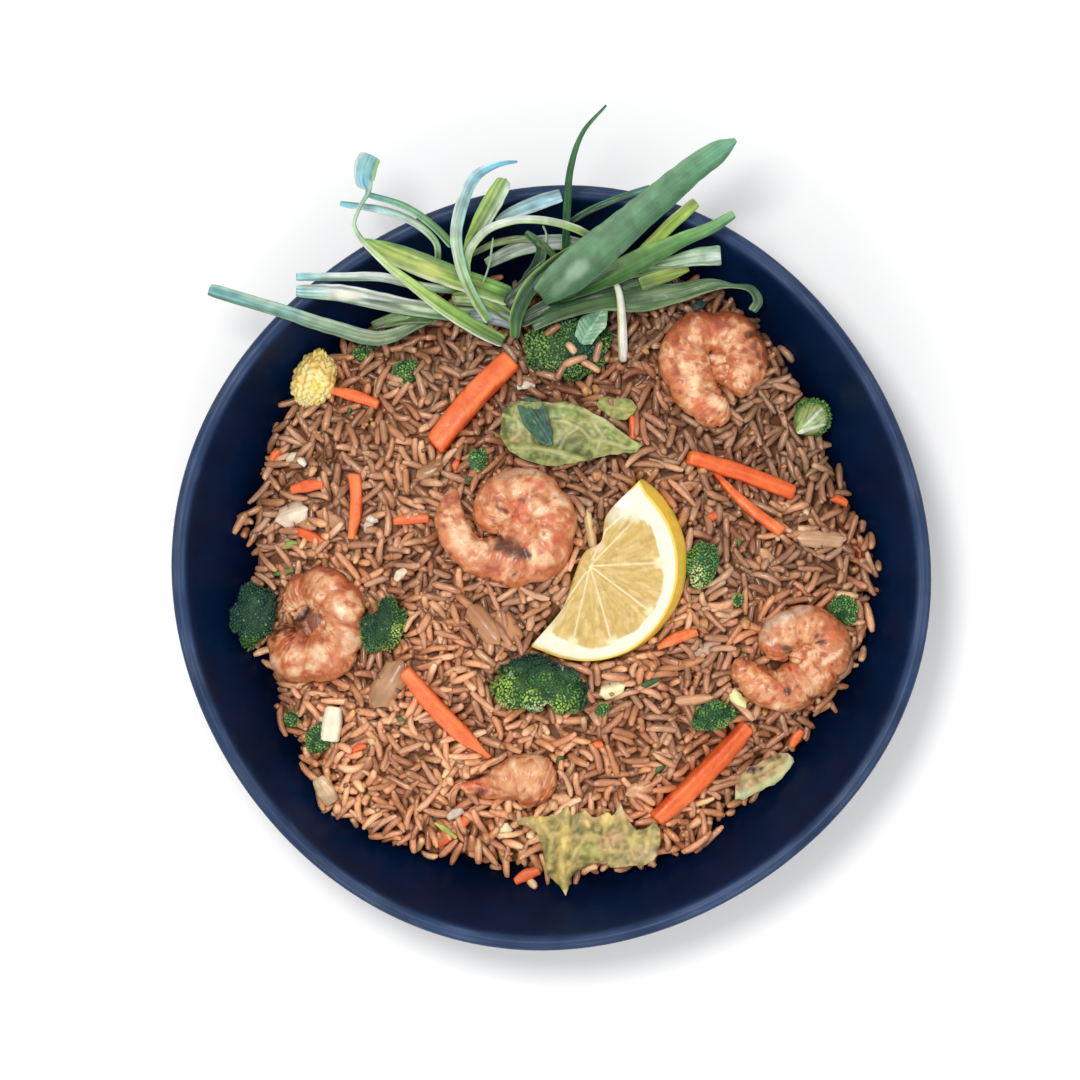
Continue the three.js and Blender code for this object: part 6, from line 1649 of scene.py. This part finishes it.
# ------------------------------------------------------------------ spring-onion strips
# Each strip: points [x, y, z, width], then colours along it, the colours of its left and
# right edges (seen along its travel), how deeply it is channelled, and marks on it.
STRIPS = {
    "onion_strip_west": dict(p=[(-107.9, 88, 68, 4.3), (-84.7, 81.2, 60.2, 4.4), (-69.1, 76.3, 56, 4.7), (-54.6, 73.2, 52, 4.7), (-42, 77.8, 50, 2.8), (-36.6, 79.7, 49.5, 1.9)],
        along=[(118, 184, 186), (128, 176, 164), (142, 170, 136), (150, 170, 128), (126, 158, 104), (98, 140, 76)], left=(176, 204, 178), right=(96, 132, 96), camber=0.9, veins=0.30, marks=[(262, 301, 22, 3, 15, (186, 210, 186), 0.6), (320, 322, 22, 3, 15, (176, 198, 158), 0.6)]),
    "onion_strip_pale_upper": dict(p=[(-80.8, 92.2, 61.2, 2.6), (-67, 92.3, 59.8, 2.7), (-54.4, 92.3, 57.3, 3), (-41.9, 89.6, 54.8, 2.8), (-28.6, 88.1, 53, 2.5)],
        along=[(132, 208, 216), (196, 214, 204), (204, 218, 206), (170, 196, 160), (116, 160, 104)], left=(222, 232, 222), right=(110, 142, 112), camber=0.6, veins=0.30, marks=[(340, 279, 30, 1.2, 0, (70, 104, 76), 0.6)]),
    "onion_strip_pale_lower": dict(p=[(-80.8, 87.8, 61, 3.8), (-67, 87.1, 59.4, 5.4), (-54.4, 84.7, 56.6, 5.7), (-41.9, 82.4, 54, 5.1), (-29.2, 80.9, 51.6, 4.7), (-15.6, 80.9, 50.5, 5.1)],
        along=[(150, 206, 206), (206, 220, 206), (208, 220, 200), (168, 194, 150), (112, 156, 96), (84, 132, 74)], left=(214, 226, 210), right=(122, 154, 116), camber=1.0, veins=0.5, marks=[(345, 295, 16, 4, 5, (247, 242, 222), 0.85), (385, 302, 22, 1.4, 6, (66, 104, 70), 0.6)]),
    "onion_strip_folded": dict(p=[(-56.6, 129.2, 83, 6.9), (-58.3, 125.4, 81, 7.2), (-58.6, 121.6, 79, 6.0), (-57.6, 118.6, 77, 2.0), (-60.6, 113.2, 73, 1.3), (-62.2, 107.5, 70, 1.6), (-53, 96.8, 65, 2.5), (-41.7, 88, 61.8, 3.8), (-30.7, 80.3, 58.4, 4.7), (-22.8, 75.7, 55.8, 4.7), (-15.5, 72, 53.4, 4.1)],
        along=[(140, 206, 206), (126, 204, 220), (120, 200, 226), (160, 214, 200), (168, 208, 180), (176, 208, 170), (188, 212, 140), (166, 200, 92), (140, 186, 74), (120, 170, 66), (96, 146, 58)], left=(146, 190, 84), right=(232, 240, 226), camber=0.8, veins=0.25, marks=[(365, 168, 8, 7, 60, (150, 222, 226), 0.7), (374, 184, 5, 6, 0, (196, 232, 214), 0.6)]),
    "onion_strip_left_low": dict(p=[(-66.8, 115.2, 64.6, 1.9), (-52.1, 112.9, 61.4, 2.5), (-42.4, 108.7, 59.7, 2.5), (-36.7, 103.1, 58, 2.2), (-36.1, 97.2, 55.5, 1.9)],
        along=[(120, 200, 222), (176, 220, 216), (190, 216, 186), (138, 180, 116), (90, 140, 70)], left=(110, 160, 116), right=(214, 228, 210), camber=0.4, veins=0.2, marks=[]),
    "onion_strip_left_high": dict(p=[(-58.4, 118, 68.5, 1.9), (-45.7, 114, 63.6, 2.2), (-36.9, 107.8, 59.8, 2.5), (-31.7, 102.3, 57.4, 2.5)],
        along=[(110, 186, 190), (122, 180, 140), (110, 164, 96), (84, 136, 66)], left=(78, 128, 74), right=(170, 206, 170), camber=0.4, veins=0.2, marks=[]),
    "onion_leaf_lime": dict(p=[(-59.4, 103.4, 61, 2.5), (-51.2, 100, 60.6, 6.3), (-41.7, 96.3, 59.6, 7.6), (-29.8, 91.7, 58, 7), (-19.6, 88.3, 56, 7), (-13.6, 86.2, 54.5, 6.3)],
        along=[(160, 194, 92), (174, 204, 92), (178, 206, 96), (160, 196, 80), (120, 168, 62), (84, 134, 54)], left=(96, 154, 66), right=(226, 234, 196), camber=1.3, veins=0.35, marks=[(430, 270, 16, 6, 20, (214, 222, 112), 0.8), (398, 258, 14, 5, 20, (196, 214, 104), 0.6)]),
    "onion_strip_crook": dict(p=[(-10.9, 126.9, 90, 0.8), (-16.8, 126.1, 89, 1.9), (-23.8, 122.6, 86, 3.5), (-28.2, 114.1, 80, 4), (-30.1, 104.7, 74.5, 3.8), (-28.6, 94.7, 69, 3.5), (-24.6, 85.4, 64, 3.2), (-20, 78.3, 60.4, 2.8)],
        along=[(96, 190, 232), (110, 196, 235), (146, 208, 226), (178, 218, 208), (182, 212, 178), (168, 200, 140), (134, 172, 92), (120, 150, 66)], left=(110, 176, 170), right=(212, 230, 216), camber=0.9, veins=0.3, marks=[]),
    "onion_leaf_double": dict(p=[(-14.7, 121.4, 84, 5.1), (-18.8, 114.5, 79, 6.3), (-23.5, 106.5, 71.5, 5.1), (-27.4, 99.3, 64.5, 2.2), (-28.5, 94.4, 61, 1.9)],
        along=[(176, 206, 138), (170, 200, 124), (150, 184, 104), (116, 158, 78)], left=(200, 222, 196), right=(166, 202, 96), camber=1.6, veins=0.25, halves=True, marks=[]),
    "onion_strip_arch": dict(p=[(-26.6, 91.8, 61.4, 1.9), (-26.8, 96.7, 66.3, 2.4), (-25.1, 101.4, 71, 2.5), (-19.4, 106.8, 77.3, 2.5), (-10.7, 109.3, 79, 2.5), (-0.7, 108.9, 78, 2.5), (7.1, 106.9, 74, 2.5), (12.5, 104.4, 69.3, 2.2)],
        along=[(118, 164, 84), (158, 196, 128), (190, 216, 180), (206, 224, 200), (212, 228, 206), (196, 218, 176), (160, 196, 116), (110, 156, 76)], left=(224, 234, 222), right=(160, 200, 92), camber=0.5, veins=0.15, marks=[]),
    "onion_strip_blue": dict(p=[(2.8, 118, 60.9, 4.4), (-5.4, 115.4, 59.8, 4.7), (-13.3, 112.1, 57.8, 4.1), (-17.4, 109.6, 56.4, 2.8)],
        along=[(168, 216, 230), (150, 206, 222), (166, 208, 206), (130, 176, 150)], left=(206, 230, 232), right=(130, 152, 156), camber=0.8, veins=0.25, marks=[]),
    "onion_leaf_broad": dict(p=[(57, 133.5, 92, 1.6), (51.7, 130.1, 90, 7), (43, 124, 86, 8.5), (32.5, 115.4, 81, 9.8), (22.9, 107.5, 77, 10.8), (13.5, 99.4, 73, 12.6), (4.1, 91.9, 67.5, 12), (-3.8, 86.1, 62.5, 7)],
        along=[(108, 176, 140), (104, 170, 130), (94, 156, 110), (84, 142, 94), (86, 140, 92), (92, 142, 96), (78, 128, 84), (58, 104, 58)], left=(58, 108, 66), right=(116, 160, 116), camber=1.5, veins=0.05, marks=[(577, 270, 14, 8, -40, (168, 196, 172), 0.75), (560, 288, 12, 6, -40, (150, 182, 150), 0.5), (640, 205, 22, 5, -40, (128, 180, 140), 0.5)]),
    "onion_strip_behind": dict(p=[(30.9, 120.4, 62.4, 1.9), (21.5, 117.3, 60.2, 2.2), (12, 113.4, 58.8, 2.2), (6, 110, 57.4, 1.9)],
        along=[(96, 176, 180), (52, 112, 70), (44, 96, 54), (36, 80, 46)], left=(34, 76, 46), right=(86, 140, 100), camber=0.4, veins=0.2, marks=[]),
    "onion_stub_lime": dict(p=[(45.4, 115.6, 65.4, 3.8), (37.6, 108.8, 62.9, 4.1), (31.4, 102.8, 60.9, 3.8), (25.6, 97.6, 59.2, 3)],
        along=[(196, 224, 104), (180, 214, 84), (146, 188, 70)], left=(128, 170, 62), right=(206, 228, 126), dim=1.0, camber=0.9, veins=0.25, marks=[]),
    "onion_leaf_east": dict(p=[(57, 111.3, 75, 2.8), (50.2, 107.3, 73, 3.8), (41.2, 103.7, 70, 4.7), (31.5, 99.2, 67, 6.6), (20.7, 93.9, 63.5, 7.3), (11.4, 89.4, 59.6, 5.1), (2.5, 85.2, 56, 2.5)],
        along=[(122, 182, 130), (104, 166, 92), (92, 152, 70), (82, 140, 60), (74, 128, 54), (60, 110, 46), (46, 90, 40)], left=(56, 100, 46), right=(134, 176, 90), camber=1.2, veins=0.10, marks=[]),
    "onion_leaf_mint": dict(p=[(53.3, 99.1, 59.9, 6.6), (45.1, 98.5, 59.7, 5.4), (33.2, 96.3, 60.2, 1.6)],
        along=[(196, 218, 200), (180, 206, 178), (126, 160, 110)], left=(150, 184, 150), right=(104, 150, 92), camber=1.0, veins=0.3, marks=[]),
    "onion_leaf_under": dict(p=[(43.3, 94.9, 56.4, 1.6), (36.6, 93, 57, 4.1), (27.8, 90.1, 57.5, 4.7)],
        along=[(150, 170, 66), (140, 164, 62), (96, 130, 48)], left=(104, 136, 52), right=(176, 192, 92), camber=0.7, veins=0.25, marks=[]),
    "onion_leaf_curl": dict(p=[(-6, 76.1, 59.4, 2.2), (2.5, 80.3, 59, 3.5), (15.1, 83.8, 57, 4.4), (27.8, 85.2, 55.6, 7.9), (39.8, 87.4, 55.6, 6.3), (50.7, 89.9, 56, 4.1), (57.5, 89.6, 56.5, 1.6), (63, 88.6, 55.5, 2.5), (65.2, 84.9, 54, 3.2), (63.4, 81.8, 52.5, 2.8)],
        along=[(70, 108, 50), (76, 118, 54), (82, 126, 58), (82, 126, 60), (90, 134, 68), (100, 142, 80), (84, 124, 76), (70, 112, 66), (90, 134, 84), (110, 150, 104)], left=(56, 104, 46), right=(156, 180, 126), camber=1.3, dim=0.80, veins=0.22, marks=[(660, 292, 22, 3, -8, (176, 200, 140), 0.5)]),
    "onion_leaf_channel": dict(p=[(15, 104.6, 66.5, 2.5), (7.6, 100.6, 64, 3.8), (-1, 94.7, 62, 5.1), (-7.6, 88.1, 60.4, 5.1), (-11.1, 80.6, 58.4, 4.4), (-12, 73.1, 56.6, 2.8)],
        along=[(60, 112, 56), (44, 96, 48), (36, 84, 44), (34, 80, 42), (42, 90, 44), (74, 120, 54)], left=(66, 116, 58), right=(168, 202, 90), camber=1.6, veins=0.3, marks=[]),
    "onion_stem_north": dict(p=[(16.7, 144.1, 94, 0.8), (9.7, 136.4, 88, 1.4), (5.9, 126.3, 80, 2.1), (4.7, 114.4, 70, 2.5), (4.4, 105.3, 63, 2.5), (4.1, 98.7, 58.4, 2.2)],
        along=[(58, 132, 84), (52, 124, 66), (50, 120, 60), (46, 112, 56), (40, 98, 50), (32, 80, 42)], left=(32, 84, 44), right=(40, 96, 54), camber=0.5, veins=0.2, marks=[]),
    "onion_leaf_crescent": dict(p=[(-8.3, 106.4, 61, 1.9), (-3.5, 101.7, 59, 3.2), (-4.8, 96.4, 57.2, 3.5), (-8.9, 91.8, 56, 2.2)],
        along=[(70, 124, 66), (44, 92, 50), (34, 76, 44), (34, 70, 40)], left=(100, 150, 86), right=(30, 62, 40), camber=0.8, veins=0.25, marks=[]),
    "onion_strip_white": dict(p=[(19.7, 91.3, 60.4, 1.6), (21.2, 87.3, 59, 2.2), (22.1, 79.4, 57.4, 2.8), (22.4, 71.2, 55, 3.2), (22.5, 65.7, 53, 2.8)],
        along=[(186, 206, 170), (226, 232, 220), (248, 246, 232), (253, 250, 238), (250, 244, 222)], left=(240, 240, 226), right=(222, 214, 122), camber=-0.7, veins=0.1, marks=[]),
}


def strip_piece(name, spec):
    pts = np.array(spec["p"], float)
    seed = sum(ord(ch) for ch in name) % 97
    lengths = np.linalg.norm(np.diff(pts[:, :3], axis=0), axis=1).sum()
    wide = pts[:, 3].max()
    nu = int(np.clip(lengths * 1.9, 60, 190))
    nv = int(np.clip(wide * 2.6, 10, 28))
    t = np.linspace(0, 1, nu)
    vy = np.linspace(-0.5, 0.5, nv)
    C, D = spline(pts[:, :3], t), tangent(pts[:, :3], t)
    W = np.maximum(0.7, spline(np.stack([pts[:, 3], 10.0 * np.arange(len(pts))], -1), t)[:, 0])
    side = unit(np.stack([-D[:, 1], D[:, 0], np.zeros(nu)], -1))
    up = np.cross(D, side)
    s = t * lengths
    # the strip leans a little to one side and the other along its length
    lean = 0.16 * noise(flat(s, 0 * s), 16, seed)
    side, up = side * np.cos(lean)[:, None] + up * np.sin(lean)[:, None], up * np.cos(lean)[:, None] - side * np.sin(lean)[:, None]
    S = s[:, None] * np.ones(nv)
    V = np.ones(nu)[:, None] * vy
    ragged = 1 + 0.035 * noise(np.stack([S, np.sign(V) * 8, 0 * S], -1), 2.6, seed + 1)
    tipped = smooth(np.minimum(t * lengths / 1.6, 1))[:, None] ** 0.5
    ended = smooth(np.minimum((1 - t) * lengths / 1.2, 1))[:, None] ** 0.5
    wob = 0.10 * wide * noise(flat(S, 0 * S), 9, seed + 5)
    Y = V * W[:, None] * ragged * (0.86 + 0.14 * tipped) * (0.8 + 0.2 * ended) + 0 * wob
    narrow = (W / wide)[:, None]
    cam = spec["camber"] * narrow
    crease = 0.0
    if spec.get("halves"):
        crease = -0.9 * np.exp(-((V * W[:, None] / 0.5) ** 2)) * narrow
    z = cam * (4 * V**2 - 0.5) + crease
    z = z + 0.22 * narrow * noise(np.stack([S / 5, V * 6, 0 * S], -1), 1.0, seed + 2)
    rib = np.sin(V * W[:, None] * 5.6 + 0.6 * noise(flat(S, V * 4), 6, seed + 3))
    z = z + 0.06 * rib
    thick = 0.9 * (0.28 + 0.72 * np.sqrt(np.maximum(0, 1 - np.abs(2 * V) ** 4)))
    thick = thick * (0.6 + 0.4 * tipped) * (0.6 + 0.4 * ended)
    T = C[:, None] + side[:, None] * Y[..., None] + up[:, None] * (z + 0.5 * thick)[..., None]
    B = C[:, None] + side[:, None] * Y[..., None] + up[:, None] * (z - 0.5 * thick)[..., None]
    c = keys(spec["along"], t)[:, None, :] * np.ones((1, nv, 1))
    edge_l = smooth((V - 0.16) / 0.3)
    edge_r = smooth((-V - 0.16) / 0.3)
    if spec.get("halves"):
        edge_l, edge_r = smooth((V - 0.02) / 0.12), smooth((-V - 0.02) / 0.12)
    c = mix(c, spec["left"], 0.72 * edge_l)
    c = mix(c, spec["right"], 0.72 * edge_r)
    c = c * (1 + min(0.07, 0.3 * spec["veins"]) * rib)[..., None]
    mottle = fbm(T, 3.2, 3, seed + 12)
    c = c * (1 + 0.13 * mottle)[..., None]
    # long pale and dark streaks
    streak = noise(np.stack([S / 14, V * W[:, None] / 0.55, 0 * S], -1), 1.0, seed + 6)
    c = mix(c, np.minimum(255, c * 1.25 + 12), np.clip(spec["veins"] * 1.3 * smooth(streak * 2.2), 0, 1))
    c = mix(c, c * 0.62, np.clip(spec["veins"] * 1.3 * smooth(-streak * 2.2), 0, 1))
    if spec.get("halves"):
        c = mix(c, (120, 150, 92), 0.7 * np.exp(-((V * W[:, None] / 0.35) ** 2)))
    for zx, zy, rx, ry, angle, colour, strength in spec["marks"]:
        c = mix(c, colour, strength * blob(T, zx, zy, rx, ry, angle, 0.9))
    c = mix(c, c * 0.8, 0.5 * smooth(1.6 * noise(T, 3.0, seed + 9)))
    c = (c * 0.90 + c.mean(-1, keepdims=True) * 0.10) * spec.get("dim", 0.92)
    under = c * 0.86 + np.array([20, 24, 16])
    return sheet(T, B, c, under)


for name, spec in STRIPS.items():
    add(name + "_visual", [strip_piece(name, spec)], SCALLION, (name,))

# lower leaves of the garnish that show between the upper ones: (px, py, height, width)
UNDER_LEAVES = [
    ([(486, 264, 57.5, 3.5), (520, 248, 58, 5), (560, 242, 58.5, 5), (598, 250, 58, 3.5)], [(120, 146, 118), (146, 162, 148), (154, 168, 160), (110, 140, 104)], 0.5),
    ([(468, 256, 58, 1.6), (500, 242, 59, 2.3), (536, 241, 59.5, 2.3), (560, 262, 57.5, 2)], [(96, 124, 62), (124, 144, 78), (110, 136, 70), (70, 104, 50)], 0.4),
    ([(520, 322, 54, 4), (558, 303, 55, 6.5), (600, 292, 55, 6.5), (642, 284, 54.5, 4)], [(44, 78, 40), (54, 94, 46), (66, 108, 52), (84, 128, 66)], 0.9),
    ([(560, 286, 56.5, 5), (600, 276, 57.5, 6), (640, 268, 58, 5), (676, 262, 57.5, 3)], [(48, 86, 44), (60, 104, 50), (76, 120, 58), (120, 158, 96)], 0.9),
    ([(640, 264, 58, 3), (680, 261, 58.5, 4), (714, 256, 58.5, 4.5)], [(128, 160, 104), (150, 176, 128), (160, 182, 140)], 0.7),
    ([(470, 316, 54, 3.4), (496, 318, 54.5, 4.6), (520, 326, 54, 3.6)], [(132, 150, 150), (150, 164, 176), (124, 142, 138)], 0.5),
    ([(452, 298, 55, 4), (484, 301, 55.5, 5), (512, 318, 54, 3.5)], [(140, 168, 80), (132, 160, 72), (96, 128, 56)], 0.7),
    ([(508, 306, 56, 4.5), (528, 284, 57, 5.5), (548, 262, 57.5, 4)], [(40, 76, 40), (36, 72, 40), (46, 86, 48)], 0.8),
    ([(372, 326, 51, 3), (400, 318, 52, 4.5), (432, 316, 52.5, 4.5)], [(84, 118, 58), (98, 136, 66), (84, 120, 58)], 0.7),
]
under_parts = []
for i, (points, along, camber) in enumerate(UNDER_LEAVES):
    pts = [(*from_px(px, py, z), z, w) for px, py, z, w in points]
    spec = dict(p=[tuple(float(q) for q in pt) for pt in pts], along=along, left=along[0], right=along[-1], camber=camber, veins=0.3, marks=[])
    under_parts.append(strip_piece("under_leaf_" + "abcdefghij"[i], spec))
add("garnish_under_leaves", under_parts, SCALLION)

# ------------------------------------------------------------------ small things on the heap


def lies(x, y, sink=0.6):
    """Height of the rice under a small thing."""
    ix, iy = cell(x, y)
    return float(RICE_TOP[ix - 2 : ix + 3, iy - 2 : iy + 3].mean()) - sink


def on_top(x, y, heading, lift=0.0, pitch=0.0):
    n = unit(heap_normal(x, y) * 0.7 + np.array([0, 0, 0.3]))
    R = align(n) @ turn((0, 0, 1), math.radians(heading)) @ turn((0, 1, 0), math.radians(pitch))
    return Place(R, (x, y, lies(x, y) + lift))


def at_picture(px, py, z=56.0):
    x, y = from_px(px, py, z)
    return float(x), float(y)


carrots = []
for i, (x, y, length, width, heading) in enumerate([
    (-77.7, 25.9, 11.3, 4.1, 9.7), (-77.2, 10.1, 11.7, 3.5, -22), (-44.5, 15.4, 11.7, 3.5, 4), (97.5, 5.5, 8, 3.8, -48),
    (-34.2, -85.8, 8.8, 4.4, 37), (-26.8, -79.3, 6.2, 3.5, 55), (-7.9, -98.3, 9, 3.8, 25), (25.1, 44.8, 7.9, 2.5, -87),
    (50.8, 16.1, 6, 3, 30), (91.5, 21.5, 6, 3.2, -20), (78.1, -54.1, 6.5, 3.2, 60), (-61, -57, 5, 2.4, 20), (33, -84, 5, 2.6, -30),
    (-30, 33, 4.2, 2.2, 70), (14, -56, 4.5, 2.4, 15), (-88, 36, 4, 2.4, 50)]):
    if math.hypot(x, y) > 97:
        place = Place(turn((0, 0, 1), math.radians(heading)), (x, y, float(inner_z(math.hypot(x, y))) + 2.4))
    else:
        place = on_top(x, y, heading, 0.9)
    carrots.append(stick(place, length=length, width=width, thick=2.6, bend=0.5, taper=(0.7, 1, 0.75), seed=200 + i, nu=22, nv=14, square=4))
add("carrot_chips", carrots, CARROT)

def perched(px, py, z_low, z_high):
    """The first height, coming down, at which a visual piece is met under a pixel's line of sight."""
    best = None
    for piece_name in ("broccoli_north_visual", "broccoli_middle_visual"):
        mesh = bpy.data.objects[piece_name].data
        v = np.zeros(len(mesh.vertices) * 3, np.float32)
        mesh.vertices.foreach_get("co", v)
        v = v.reshape(-1, 3).astype(float) / MM
        x, y = from_px(px, py, 0.5 * (z_low + z_high))
        near_by = np.hypot(v[:, 0] - x, v[:, 1] - y) < 1.6
        if near_by.any():
            top = float(np.percentile(v[near_by, 2], 92))
            best = top if best is None else max(best, top)
    return best


loose = []
for px, py, heading, length, pick in [(575, 361, 20, 8.5, 0.1), (590, 366, -30, 7.5, 0.4), (561, 372, 60, 6, 0.7), (548, 376, -15, 8, 0.05), (598, 352, 75, 7, 0.5), (553, 330, 35, 6, 0.2), (571, 348, -50, 4.5, 0.85)]:
    top = perched(px, py, 58, 70)
    if top is None:
        continue
    x, y = (float(q) for q in from_px(px, py, top + 0.8))
    loose.append((x, y, top + 0.75, math.radians(heading), 0.05, length, 2.35, 2.1, 0.0, pick, 0.5))
if loose:
    add("rice_grains_perched", [grain_mesh(np.array(loose), rings=6, sides=9, seed=4)], RICE)

onions = []
for i, (px, py, length, width, heading, base) in enumerate([
    (292, 458, 5, 3, 20, (236, 222, 196)), (300, 462, 4, 2.4, -40, (240, 228, 204)), (370, 525, 6, 3, 60, (232, 214, 186)), (526, 386, 6, 3, 10, (226, 216, 190)),
    (455, 815, 6, 3, 30, (220, 206, 184)), (372, 520, 4, 3, 0, (238, 226, 204)), (401, 575, 5, 3, 45, (226, 204, 176)), (480, 620, 5, 3, -20, (232, 206, 176)),
    (672, 668, 22, 3.0, 14, (178, 126, 84)), (706, 650, 11, 4.5, 32, (168, 142, 124)), (614, 682, 10, 7, 75, (172, 140, 112)), (738, 700, 8, 4, -50, (206, 204, 140)),
    (590, 530, 12, 3.0, -80, (186, 160, 112)), (503, 832, 5, 6, 60, (222, 202, 160)), (430, 470, 9, 5, 30, (150, 110, 78)), (508, 628, 12, 7, -60, (164, 114, 76)),
    (330, 520, 10, 5, -30, (166, 122, 90)), (640, 790, 9, 5, 20, (174, 128, 92)), (360, 770, 10, 5, 50, (170, 124, 90)), (770, 560, 9, 4, -50, (180, 134, 98)),
    (560, 800, 6, 4, 10, (190, 144, 104)), (395, 330, 9, 4, 20, (178, 132, 94)), (612, 690, 8, 5, 20, (210, 196, 150)), (694, 700, 12, 3.4, 6, (176, 132, 98))]):
    x, y = at_picture(px, py)
    place = on_top(x, y, heading, 1.0)
    base = np.array(base)
    if base.sum() > 590:
        onions.append(stick(place, length=length, width=width, thick=1.7, bend=0.4, sag=0.5, taper=(0.6, 1, 0.7), seed=300 + i, nu=20, nv=14, square=3,
                            base=base, light=np.minimum(255, base * 1.12), dark=base * 0.72, top_highlight=np.minimum(255, base * 1.1)))
    else:
        base = np.minimum(250, base * 1.12)
        onions.append(petal(place, length, width, base, np.minimum(252, base * 1.14), seed=540 + i, thick=0.7, curve=0.9, nu=26, nv=14))
add("onion_bits", onions, ONION)

greens = []
for i, (px, py, length, width, heading, base) in enumerate([
    (289, 545, 5, 2.4, 20, (150, 170, 70)), (282, 573, 7.5, 1.8, 12, (84, 124, 52)), (648, 684, 8, 1.8, 25, (44, 84, 44)), (436, 819, 3, 1.8, 30, (50, 92, 46)),
    (445, 832, 9, 2, -38, (170, 186, 80)), (476, 462, 6, 3, 60, (40, 80, 44)), (660, 770, 4, 1.6, 40, (70, 112, 50)), (330, 640, 4, 1.6, -30, (60, 104, 46)),
    (470, 480, 3.6, 1.5, 10, (76, 116, 54)), (740, 540, 4, 1.6, 80, (70, 110, 50)), (400, 720, 3.6, 1.4, 0, (80, 120, 56)), (700, 305, 8, 3, 40, (30, 62, 58)),
    (560, 760, 3.2, 1.5, 40, (60, 100, 48)), (350, 410, 3.6, 1.6, 60, (70, 110, 52)), (620, 600, 3, 1.2, 20, (60, 96, 46))]):
    x, y = at_picture(px, py)
    place = on_top(x, y, heading, 0.9)
    base = np.array(base)
    greens.append(stick(place, length=length, width=width, thick=0.9, bend=0.3, sag=0.4, taper=(0.4, 1, 0.6), seed=400 + i, nu=18, nv=12, square=3,
                        base=base, light=np.minimum(255, base * 1.25 + 8), dark=base * 0.6, top_highlight=base))
add("herb_bits", greens, LEAF)


def crumbs():
    """Browned egg and crust crumbs between the grains."""
    rng = np.random.default_rng(51)
    n = 420
    a, r = rng.uniform(0, 2 * np.pi, n), 97 * np.sqrt(rng.random(n))
    x, y = r * np.cos(a), r * np.sin(a)
    ix, iy = cell(x, y)
    free = (CEILING[ix, iy] > 900) & (heap_radius(a) > r + 2)
    x, y, ix, iy = x[free], y[free], ix[free], iy[free]
    n = len(x)
    size = rng.uniform(0.5, 1.15, n) * np.where(rng.random(n) < 0.14, 1.6, 1.0)
    P = np.stack([x, y, RICE_TOP[ix, iy] + 0.1 * size], -1)
    up = unit(rng.normal(0, 1, (n, 3)) * [1, 1, 0.35])
    side = unit(np.cross(up, rng.normal(0, 1, (n, 3))))
    frames = np.stack([side, np.cross(up, side), up], 1)
    radii = size[:, None] * rng.uniform(0.6, 1.25, (n, 3))
    tone = keys([(206, 144, 86), (226, 164, 98), (196, 128, 78), (214, 152, 96), (232, 190, 136), (150, 88, 54)], rng.random(n))
    return scatter(P, frames, radii, tone, rings=4, sides=7, seed=9, rough=0.26)


add("egg_crumbs", [crumbs()], RICE)

# fine shreds of onion skin standing out of the garnish
shreds = [
    limb(None, [(*at_picture(493, 238, 68), 68), (*at_picture(489, 265, 62), 62), (*at_picture(483, 283, 58), 58)], 0.35, 0.3, (150, 180, 140), 3, nu=14, nv=8),
    limb(None, [(*at_picture(543, 226, 67), 67), (*at_picture(546, 233, 63.5), 63.5), (*at_picture(546, 243, 60), 60)], 0.35, 0.3, (176, 200, 160), 4, nu=12, nv=8),
]
add("garnish_shreds", shreds, SCALLION)


# ------------------------------------------------------------------ floor, light, camera


def floor():
    mesh = bpy.data.meshes.new("floor")
    s = 3.0
    mesh.from_pydata([(-s, -s, 0), (s, -s, 0), (s, s, 0), (-s, s, 0)], [], [(0, 1, 2, 3)])
    obj = bpy.data.objects.new("floor", mesh)
    bpy.context.scene.collection.objects.link(obj)
    m = bpy.data.materials.new("floor_white")
    m.use_nodes = True
    b = m.node_tree.nodes["Principled BSDF"]
    b.inputs["Base Color"].default_value = (0.97, 0.97, 0.975, 1)
    b.inputs["Roughness"].default_value = 1.0
    b.inputs["Specular IOR Level"].default_value = 0.0
    mesh.materials.append(m)


floor()


def area(name, at, target, size, power, colour=(1, 1, 1)):
    light = bpy.data.lights.new(name, "AREA")
    light.shape = "DISK"
    light.size = size
    light.energy = power
    light.color = colour
    obj = bpy.data.objects.new(name, light)
    bpy.context.scene.collection.objects.link(obj)
    d = np.asarray(target, float) - np.asarray(at, float)
    from mathutils import Vector

    obj.location = at
    obj.rotation_euler = Vector(d).to_track_quat("-Z", "Y").to_euler()
    return obj


area("key", (-0.24, 0.25, 1.75), (0, 0, 0.03), 0.34, 13.5, (1.0, 0.985, 0.96))
area("fill", (-0.3, -1.3, 1.3), (0, 0, 0.03), 1.2, 7.0, (1.0, 0.98, 0.96))

world = bpy.data.worlds.new("studio")
bpy.context.scene.world = world
world.use_nodes = True
background = world.node_tree.nodes["Background"]
background.inputs["Color"].default_value = (0.97, 0.985, 1.0, 1)
background.inputs["Strength"].default_value = 0.76

lens = bpy.data.cameras.new("camera")
lens.sensor_width = 36.0
lens.lens = 36.0 * 2000.0 / (1080 * PER_PX)
lens.clip_end = 20.0
camera = bpy.data.objects.new("camera", lens)
bpy.context.scene.collection.objects.link(camera)
camera.location = tuple(c * MM for c in CAMERA)
camera.rotation_euler = (0, 0, 0)
bpy.context.scene.camera = camera
bpy.context.scene.view_settings.view_transform = "Standard"
